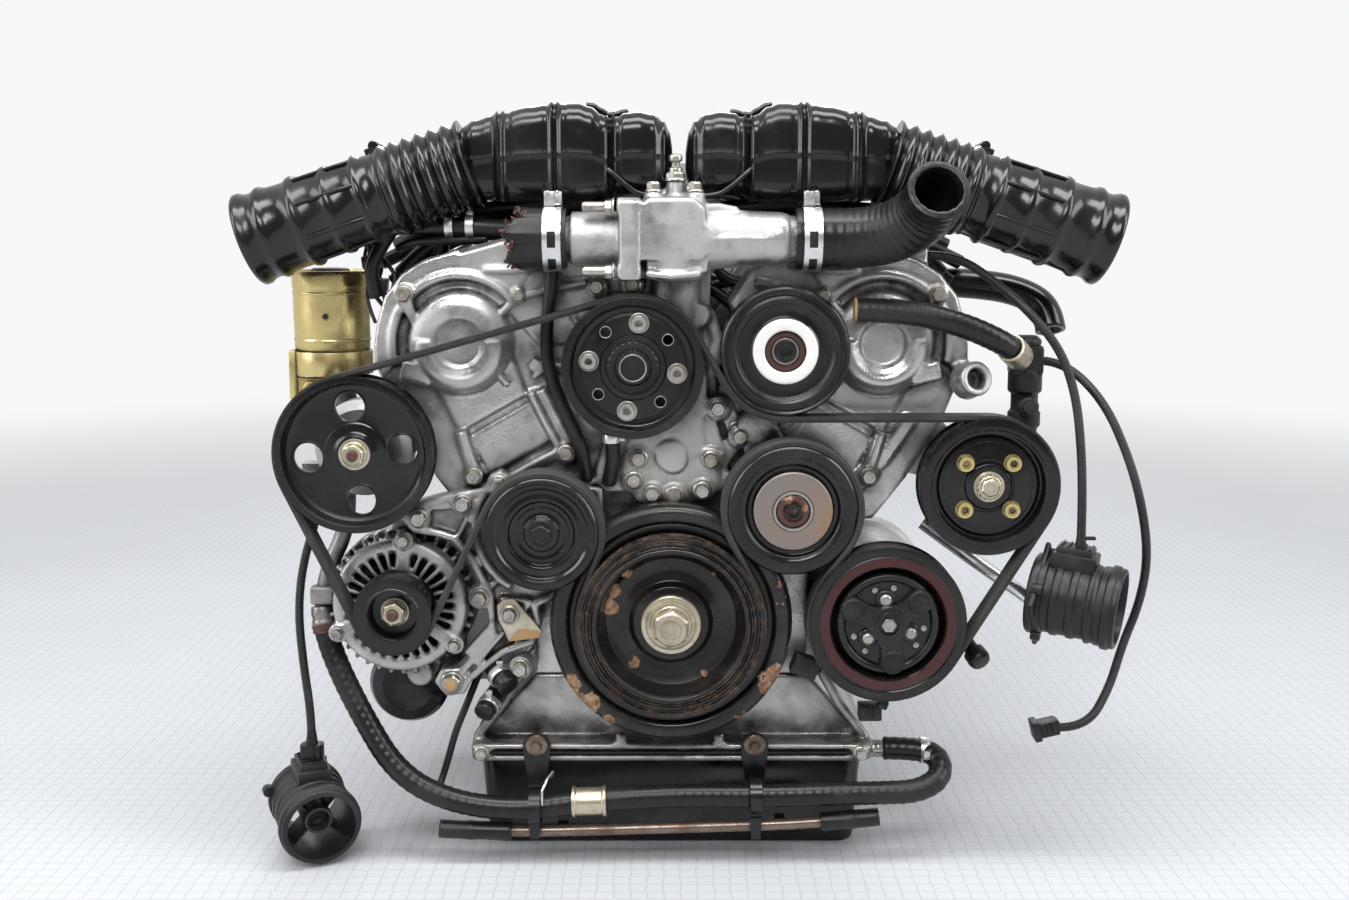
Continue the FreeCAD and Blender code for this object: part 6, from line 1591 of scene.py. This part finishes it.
COOLER_ROUTE = [(-284, -646, 104), (-284, -646, 76), (-303, -648, 38), (-310, -650, 0), (-300, -656, -38),
    (-274, -668, -88), (-240, -684, -138), (-192, -690, -162), (-132, -690, -169), (-71, -690, -160),
    (8, -690, -155), (78, -690, -156), (139, -690, -154), (185, -690, -153), (216, -690, -152),
    (238, -682, -142), (238, -664, -128), (216, -655, -125), (190, -655, -125)]
PIPE_ROUTE = [(-203, -690, -186), (-146, -690, -189), (-60, -690, -187), (40, -690, -184), (125, -690, -181),
    (182, -690, -175)]
HEATER_ROUTE = [(154, -688, 268), (191, -689, 268), (238, -689, 258), (276, -686, 242), (294, -674, 230),
    (302, -650, 222)]


def pans():
    work = bmesh.new()
    node_mesh(work, "upper_oil_pan")
    for across in (-168, 168):
        boss(work, (across, -125), 8.5, -655, -668, 1.6)
    for across in (-44, 42):
        rib(work, [(across, -108), (across * 1.02, -120)], 5, -664)
    rib(work, [(-172, -119.5), (172, -119.5)], 3.0, -665)
    rib(work, [(-172, -130.5), (172, -130.5)], 3.0, -665)
    for side in (-1, 1):
        rib(work, [(side * 174, -116), (side * 150, -84), (side * 132, -52)], 5, -652)
    cast_piece(work, "upper_oil_pan_casting", CAST["pan"], stands_for="upper_oil_pan", grain=2.2, rounds=3)
    gasket = bmesh.new()
    block(gasket, (0, -650, -125), (350, 36, 2.6), 0.8)
    settle(gasket, "pan_gasket", DULL_BLACK)
    bolts = bmesh.new()
    for number, across in enumerate((-168, 168)):
        hex_bolt(bolts, (across, -668, -125), 9.5, 5, 7, number * 0.4)
    settle(bolts, "pan_bolts", BOLT_STEEL)
    sump = bmesh.new()
    node_mesh(sump, "oil_sump")
    for up in (-150, -172, -198):
        rib(sump, [(-140, up), (-60, up), (60, up), (140, up)], 3.5, -646)
    for across in (-118, 0, 118):
        rib(sump, [(across, -140), (across, -208)], 3, -646)
    cast_piece(sump, "oil_sump_pressing", STEEL_BLACK, stands_for="oil_sump", grain=2.6, rounds=3, keep=0.3)


def banded(radius, pitch, depth):
    """A hose skin with a wound cover: its radius rises and falls along the run."""
    return lambda run: radius + depth * sin(2 * pi * run / pitch)


def lower_hoses():
    line = spaced(smooth_line(COOLER_ROUTE, 8), 2.0)
    joint = min(range(len(line)),
        key=lambda index: abs(line[index].z + 12) + (900 if line[index].x > -250 else 0))
    work = bmesh.new()
    tube(work, line[joint:], banded(10.2, 8.0, 0.25), 22, 0.68)
    settle(work, "cooler_hose_cover", HOSE_RUBBER, stands_for="cooler_hose", crease=0)
    metal = bmesh.new()
    tube(metal, line[:joint + 2], 7.4, 20)
    hoop(metal, [(6, -9), (10.2, -9), (10.8, -5), (9.8, -2), (10.8, 2), (10.2, 9), (6, 9)], 0.7,
        line[joint - 4], 30, line[joint - 6] - line[joint - 2])
    block(metal, line[joint - 14] + FRONT * 4, (20, 14, 16), 2)
    settle(metal, "cooler_hose_inlet_pipe", CAST["block"], crease=45)
    scale = bmesh.new()
    hoop(scale, [(9, -4), (11.6, -4), (11.2, 0), (12, 3), (9, 4)], 0.5, line[joint + 1], 26,
        line[joint] - line[joint + 3])
    settle(scale, "cooler_hose_rusty_collar", RAW_RUST, crease=50)
    ferrule = bmesh.new()
    spot = min(line, key=lambda point: abs(point.x + 71) + (0 if point.z < -100 else 900))
    hoop(ferrule, [(9.6, -15), (13.4, -15), (13.8, -12.6), (12.2, -11), (12.2, 11), (13.8, 12.6), (13.4, 15),
        (9.6, 15)], 0.8, spot, 40, Vector((1, 0, 0.03)))
    settle(ferrule, "cooler_hose_ferrule", ZINC, crease=40)
    clamps = bmesh.new()
    hoop(clamps, oblong(10, 11.8, -4, 4), 0.4, (226, -657, -126), 36, RIGHT)
    block(clamps, (226, -670, -126), (6, 8, 7), 0.8)
    settle(clamps, "cooler_hose_clamps", BRIGHT_STEEL)

    pipe = bmesh.new()
    line = spaced(smooth_line(PIPE_ROUTE, 8), 3.0)
    tube(pipe, line, 5.0, 18, 0.7)
    settle(pipe, "cooler_pipe_tube", RUSTY_PIPE, stands_for="cooler_pipe", crease=0)
    total = run_length(line)
    cuffs = bmesh.new()
    for low, high in ((0, 0.17), (0.86, 1.0)):
        part = [point for number, point in enumerate(line) if low <= number / (len(line) - 1) <= high]
        tube(cuffs, part, lambda run: 8.0 + 0.7 * exp(-((run - total * 0.07) / 3) ** 2), 20, 0.6)
    settle(cuffs, "cooler_pipe_cuffs", HOSE_RUBBER, crease=0)
    stems = bmesh.new()
    for across, up in ((-96, -188.5), (96, -182)):
        block(stems, (across, -680, up), (9, 22, 4), 0.8)
    settle(stems, "cooler_pipe_feet", STEEL_BLACK)

    straps = bmesh.new()
    for across in (-119, 74):
        shape = [(across - 7, -160), (across - 12, -124), (across - 12, -116), (across - 8, -109),
            (across, -106), (across + 8, -109), (across + 12, -116), (across + 12, -124), (across + 7, -160)]
        slab(straps, shape, -665, -669, 0.8)
        up = min(line_height(COOLER_ROUTE, across), -150)
        arc = [(-690 + 13.5 * cos(radians(turn)), up + 13.5 * sin(radians(turn)))
            for turn in range(40, 331, 15)]
        rows = []
        for half, grow in ((-5, 0), (5, 0), (5, 2.0), (-5, 2.0)):
            rows.append([straps.verts.new((across + half, -690 + (y + 690) * (1 + grow / 13.5),
                up + (z - up) * (1 + grow / 13.5))) for y, z in arc])
        skin(straps, rows + [rows[0]], closed=False)
        straps.faces.new([row[0] for row in rows])
        straps.faces.new([row[-1] for row in rows])
        block(straps, (across, -674, -151), (13, 16, 3), 0.8)
        low = [(across - 5, -172), (across + 5, -172), (across + 4, -192), (across - 4, -192)]
        slab(straps, low, -697, -700, 0.8)
    settle(straps, "hose_bracket_straps", STEEL_BLACK, stands_for="hose_brackets")
    bolts = bmesh.new()
    for across in (-119, 74):
        spun(bolts, [(9.6, 0), (9.6, 2.6), (6, 3.4)], 0.6, (across, -669, -117), 32)
        hex_bolt(bolts, (across, -671, -117), 8.5, 5, 0, 0.2)
    settle(bolts, "hose_bracket_bolts", RUSTY_PIPE)
    clip = bmesh.new()
    tube(clip, [(-106, -672, -146), (-104, -680, -138), (-108, -690, -140), (-112, -699, -148),
        (-112, -701, -160)], 1.2, 10)
    settle(clip, "hose_bracket_wire", BRIGHT_STEEL)


def line_height(route, across):
    """The height of a hose's route where it crosses a station on the engine's lower front."""
    low = [point for point in smooth_line(route, 8) if point.z < -140]
    return min(low, key=lambda point: abs(point.x - across)).z


def reservoir():
    centre = Vector((-306, -585, 0))
    work = bmesh.new()
    profile = [(0, 224), (30, 224), (33.4, 228), (33.8, 262), (33.8, 282), (34.4, 284), (34.4, 294),
        (33, 297.4), (31.6, 298), (31, 296), (0, 296)]
    spun(work, profile, 1.2, centre, 80, UP)
    for up in (236, 278):
        hoop(work, [(33, up - 2.4), (34.6, up), (33, up + 2.4)], 0.8, centre, 80, UP)
    settle(work, "fluid_reservoir_can", GOLD, stands_for="fluid_reservoir", crease=40)
    bracket_part = bmesh.new()
    hoop(bracket_part, oblong(33.6, 35.6, 205, 226), 0.5, centre, 80, UP)
    block(bracket_part, (-338, -592, 205), (7, 30, 44), 1.4)
    block(bracket_part, (-318, -602, 186), (34, 6, 34), 1.4)
    hex_bolt(bracket_part, (-322, -605, 192), 11, 6, 8)
    settle(bracket_part, "reservoir_bracket", GOLD)
    fill = bmesh.new()
    spun(fill, [(14, 290), (14, 294), (17, 295), (17, 298.6), (15, 299.6)], 0.6, centre, 40, UP, 0,
        lambda angle, height: 0.5 * cos(angle * 18) if 295.5 < height < 298.4 else 0)
    spun(fill, [(2.4, 0), (2.4, 1.6), (0, 1.0)], 0.3, (-304, -619, 258), 16)
    settle(fill, "reservoir_cap", DULL_BLACK)
    neck = bmesh.new()
    tube(neck, smooth_line([(-306, -585, 226), (-306, -588, 206), (-296, -600, 186), (-286, -612, 168)], 8),
        12, 24)
    settle(neck, "reservoir_neck", HOSE_RUBBER, crease=0)


def heater_parts():
    line = spaced(smooth_line(HEATER_ROUTE, 10), 2.0)
    work = bmesh.new()
    tube(work, line, banded(10.3, 7.0, 0.22), 22, 0.66)
    settle(work, "heater_hose_cover", HOSE_RUBBER, stands_for="heater_hose", crease=0)
    torn = bmesh.new()
    along = (line[0] - line[3]).normalized()
    hoop(torn, [(6.6, -3), (10.2, -3), (10.4, 0.5), (9.2, 1.6), (7.2, 1.2), (6.6, 0)], 0.5, line[0], 28,
        along)
    settle(torn, "heater_hose_cut_end", CUT_CORD, crease=50)
    crimp = bmesh.new()
    spot = line[-14]
    back = (line[-10] - line[-18]).normalized()
    hoop(crimp, [(9.8, -13), (12, -13), (12.4, -9), (11.6, -6), (12.4, -3), (11.6, 0), (12.4, 3), (11.6, 6),
        (12, 11), (9.8, 11)], 0.6, spot, 36, back)
    tube(crimp, [line[-1] - back * 2, line[-1] + back * 8, line[-1] + back * 20 + UP * -4], 7.0, 20)
    settle(crimp, "heater_hose_crimp", ZINC, crease=45)

    valve = bmesh.new()
    spun(valve, [(11.4, -46), (11.4, -30), (14, -28), (14, -16), (11.6, -14), (11.6, 0), (14.6, 2),
        (14.6, 20), (11.6, 22)], 1.4, (306, -650, 194), 32, UP)
    block(valve, (306, -650, 223), (27, 27, 27), 4)
    spun(valve, [(9, 0), (9, 12), (6, 14), (6, 20)], 1.0, (306, -656, 184), 28)
    spun(valve, [(13, 0), (13, 4), (9, 8)], 1.0, (306, -650, 236), 36, UP)
    settle(valve, "heater_valve", DULL_BLACK)
    elbow = bmesh.new()
    tube(elbow, smooth_line([(250, -560, 286), (290, -566, 284), (322, -574, 276), (340, -584, 262),
        (341, -592, 244)], 10), 13.5, 28, 0.7)
    settle(elbow, "heater_elbow", WET_BLACK, crease=0)
    pipes = bmesh.new()
    tube(pipes, smooth_line([(222, -640, 78), (250, -648, 58), (284, -652, 34), (306, -655, 20),
        (324, -658, 6)], 8), 6.2, 18, 0.6)
    spun(pipes, [(10, 0), (10, 9), (8, 11), (8, 16)], 0.8, (318, -656, 10), 26, Vector((1, 0, -0.8)))
    settle(pipes, "pale_coolant_pipe", BRIGHT_STEEL, crease=40)
    stub = bmesh.new()
    tube(stub, smooth_line([(238, -640, 2), (252, -650, -14), (262, -662, -28), (268, -672, -36)], 8), 6.5,
        18)
    spun(stub, [(9.6, 0), (10, 10), (8, 14)], 0.8, (265, -668, -32), 26, Vector((0.4, -0.7, -0.5)))
    settle(stub, "right_hose_stub", DULL_BLACK, crease=45)


def soft_hose(work, points, radius, sides=16):
    tube(work, spaced(smooth_line(points, 8), 2.5), radius, sides)


def small_hoses():
    work = bmesh.new()
    for points, radius in (
            ([(-98, -672, 322), (-100, -674, 290), (-106, -672, 250), (-104, -674, 214), (-88, -676, 176),
                     (-74, -674, 146), (-73, -668, 122)], 5.6),
            ([(-52, -676, 170), (-49, -676, 152), (-50, -672, 134), (-54, -668, 118)], 6.2),
            ([(-240, -628, 336), (-252, -632, 318), (-262, -634, 296), (-256, -632, 276)], 6.0),
            ([(-262, -612, 330), (-246, -618, 338), (-214, -630, 337), (-186, -640, 337), (-160, -644, 336),
                     (-134, -640, 334)], 8.4),
            ([(-238, -620, 318), (-220, -632, 326), (-190, -640, 324), (-158, -642, 326)], 4.2),
            ([(40, -640, 300), (52, -648, 288), (66, -650, 292), (84, -646, 302), (100, -640, 312)], 4.6),
            ([(30, -636, 286), (46, -646, 276), (58, -650, 264), (54, -648, 244)], 5.0),
            ([(-168, -646, -36), (-156, -664, -48), (-141, -680, -60)], 9.5),
            ([(-150, -646, -68), (-158, -664, -76), (-164, -680, -84)], 9.0),
            ([(-168, -646, -50), (-174, -650, -64), (-182, -656, -84), (-192, -660, -108), (-198, -662, -130),
                     (-204, -666, -150), (-208, -676, -162)], 3.2)):
        soft_hose(work, points, radius)
    # looms and pipes that fill the dark gap under the air boxes
    for side in (-1, 1):
        for number, (up, reach, size) in enumerate(((352, 250, 7.5), (342, 262, 6.5), (350, 230, 6),
                (334, 250, 5.5), (344, 240, 8), (356, 205, 7))):
            back = -560 + number * -9
            soft_hose(work, [(side * 40, back, up - 6), (side * 90, back - 4, up + 3),
                (side * 150, back + 4, up - 4), (side * 200, back - 5, up - 8),
                (side * reach, back - 2, up - 34 - number * 4)], size)
    settle(work, "small_hoses", HOSE_RUBBER, crease=0)
    wires = bmesh.new()
    rng = random.Random(11)
    for number in range(7):
        shift = number * 3.1
        points = [(-268 + rng.uniform(-4, 4), -600 - shift, 340 - shift)]
        for _ in range(5):
            last = points[-1]
            points.append((last[0] + rng.uniform(-6, 12), last[1] + rng.uniform(-8, 6),
                last[2] - rng.uniform(8, 20)))
        soft_hose(wires, points, rng.uniform(1.4, 2.6), 10)
    for number in range(6):
        points = [(34 + rng.uniform(-4, 6), -628, 296 - number * 3)]
        for _ in range(5):
            last = points[-1]
            points.append((last[0] + rng.uniform(6, 15), last[1] + rng.uniform(-6, 4),
                last[2] + rng.uniform(-9, 7)))
        soft_hose(wires, points, rng.uniform(1.3, 2.2), 10)
    for place, size in (((-262, -616, 306), (16, 18, 11)), ((-254, -622, 286), (12, 16, 12)),
            ((60, -646, 278), (20, 16, 12)), ((78, -640, 292), (14, 18, 12)),
            ((175, -668, -86), (20, 18, 14)), ((118, -662, -46), (24, 16, 18)),
            ((186, -672, -78), (9, 10, 8))):
        block(wires, place, size, 1.6, tilt(rng.uniform(-30, 30)))
        for shift in (-3, 0, 3):
            block(wires, (place[0] + shift, place[1] - size[1] / 2, place[2] + 2), (1.2, 3, size[2] * 0.7),
                0.4)
    settle(wires, "wiring_and_plugs", CONDUIT_BLACK, crease=40)
    clips = bmesh.new()
    for point, along, radius in (((-190, -640, 337), RIGHT, 8.6), ((-172, -643, 337), RIGHT, 8.6),
            ((-150, -671, -53), Vector((0.55, -0.7, -0.45)), 9.7),
            ((-160, -671, -80), Vector((-0.3, -0.8, -0.4)), 9.2), ((-51, -676, 158), UP, 6.4)):
        hoop(clips, oblong(radius - 0.4, radius + 1.2, -3.5, 3.5), 0.4, point, 30, along)
        block(clips, Vector(point) + (RIGHT if along == UP else UP) * (radius + 2.4), (6, 5, 4), 0.7)
    settle(clips, "small_hose_clamps", BRIGHT_STEEL)


pans()
lower_hoses()
reservoir()
heater_parts()
small_hoses()


FINISH_OF = {
    CAST["block"]: ["engine_block", "cylinder_head_left", "cylinder_head_right"],
    CAST["cover"]: ["timing_cover_left", "timing_cover_right", "front_cover", "water_pump_housing",
                    "accessory_bracket", "tensioner_arm"],
    CAST["pan"]: ["upper_oil_pan"],
    CAST["bright"]: ["cam_cover_left", "cam_cover_right", "water_outlet", "intake_manifold",
                     "throttle_body_left", "throttle_body_right", "alternator_housing", "steering_pump",
                     "hydraulic_pump", "ac_compressor"],
    PULLEY_BLACK: ["fan_pulley", "steering_pulley", "alternator_pulley", "hydraulic_pulley",
                   "compressor_pulley", "clutch_plate", "upper_idler", "left_idler", "tensioner_pulley"],
    DAMPER_BLACK: ["damper_ring"],
    FACE_BLACK: ["crank_pulley"],
    STEEL_BLACK: ["oil_sump", "oil_filter", "hose_brackets"],
    WET_BLACK: ["air_box_left", "air_box_right", "air_duct_left", "air_duct_right"],
    DULL_BLACK: ["airflow_meter_left", "airflow_meter_right", "sensor_plug", "oil_filler_cap"],
    HOSE_RUBBER: ["radiator_hose_left", "radiator_hose_right", "cooler_hose", "heater_hose", "damper_rubber"],
    BELT_RUBBER: ["drive_belt"],
    CONDUIT_BLACK: ["harness_left", "harness_right", "harness_sensor"],
    BARE_STEEL: ["crankshaft", "drive_plate", "throttle_plate_left", "throttle_plate_right"],
    BRIGHT_STEEL: ["hose_clamps"],
    BOLT_STEEL: ["cover_bolts"],
    ZINC: ["crank_bolt"],
    GOLD: ["fluid_reservoir"],
    RUSTY_PIPE: ["cooler_pipe"],
}
for finish, names in FINISH_OF.items():
    for name in names:
        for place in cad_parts[name].material_slots:
            place.material = finish


# Floor and lamps

FLOOR_GREY = tint(0.50, 0.515, 0.54)


def floor_material():
    """Pale rubber floor with a faint tread, which fades to white far from the object."""
    made, tree, shader = finish_named("pale_floor", Roughness=0.6, Specular_IOR_Level=0.25)
    soil = noise_field(tree, 3, 3)
    place = put(tree, "TexCoord").outputs["Object"]
    tread = put(tree, "TexVoronoi", {"feature": "DISTANCE_TO_EDGE"}, {"Vector": place, "Scale": 70.0,
        "Randomness": 0.15}).outputs[0]
    line = span(tree, tread, 0.02, 0.08)
    shade = mix_colour(tree, soil, FLOOR_GREY, dimmed(FLOOR_GREY, 0.88))
    edged = mix_colour(tree, line, dimmed(FLOOR_GREY, 0.8), shade)
    tree.links.new(edged, shader.inputs["Base Color"])
    bump(tree, shader, line, 0.25, 0.0006)
    away = put(tree, "VectorMath", {"operation": "LENGTH"}, {0: place}).outputs["Value"]
    far = span(tree, away, 1.1, 3.2)
    path = put(tree, "LightPath")
    seen = calculate(tree, "MAXIMUM", path.outputs["Is Camera Ray"], calculate(tree, "MAXIMUM",
        path.outputs["Is Glossy Ray"], path.outputs["Is Transmission Ray"]))
    white = put(tree, "Emission", {}, {"Color": tint(0.93, 0.935, 0.94), "Strength": 1.0}).outputs[0]
    both = put(tree, "MixShader", {}, {0: times(tree, far, seen), 1: shader.outputs[0], 2: white})
    tree.links.new(both.outputs[0], tree.nodes["Material Output"].inputs["Surface"])
    return made


floor_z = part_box("oil_sump")[0].z
ground = bmesh.new()
bmesh.ops.create_grid(ground, x_segments=24, y_segments=24, size=7)
floor_mesh = bpy.data.meshes.new("studio_floor")
ground.to_mesh(floor_mesh)
ground.free()
floor = bpy.data.objects.new("studio_floor", floor_mesh)
floor.location = (0, 0, floor_z)
scene.collection.objects.link(floor)
floor_mesh.materials.append(floor_material())

world = bpy.data.worlds.new("soft_room")
scene.world = world
world.use_nodes = True
wires = world.node_tree
sky = wires.nodes["Background"]
sky.inputs["Color"].default_value = tint(1, 1, 1)
# the side that the camera stands on is the room's dark side
heading = put(wires, "SeparateXYZ", {}, {0: put(wires, "TexCoord").outputs["Generated"]}).outputs["Y"]
wires.links.new(span(wires, heading, -0.9, 0.1, 0.24, 0.8), sky.inputs["Strength"])
backdrop = put(wires, "Background", {}, {"Color": tint(0.93, 0.935, 0.94), "Strength": 1.0})
sight = put(wires, "LightPath")
choice = put(wires, "MixShader", {}, {0: sight.outputs["Is Camera Ray"], 1: sky.outputs[0],
    2: backdrop.outputs[0]})
wires.links.new(choice.outputs[0], wires.nodes["World Output"].inputs["Surface"])


def lamp(name, at, towards, size, power):
    data = bpy.data.lights.new(name, "AREA")
    data.shape = "RECTANGLE"
    data.size, data.size_y = size
    data.energy = power
    made = bpy.data.objects.new(name, data)
    made.location = at
    made.rotation_euler = (Vector(towards) - Vector(at)).to_track_quat("-Z", "Y").to_euler()
    scene.collection.objects.link(made)


lamp("ceiling_panel", (0.0, -1.1, 2.2), (0, -0.4, 0.1), (2.6, 0.7), 52)
lamp("front_panel", (-0.3, -2.9, 2.0), (0, -0.5, 0.1), (1.6, 0.8), 44)
lamp("left_panel", (-2.0, -1.4, 1.1), (0, -0.5, 0.1), (0.8, 1.6), 22)
lamp("right_panel", (2.0, -1.4, 1.1), (0, -0.5, 0.1), (0.8, 1.6), 22)
lamp("rear_panel", (0.0, 2.2, 1.8), (0, 0, 0.1), (1.8, 0.8), 22)
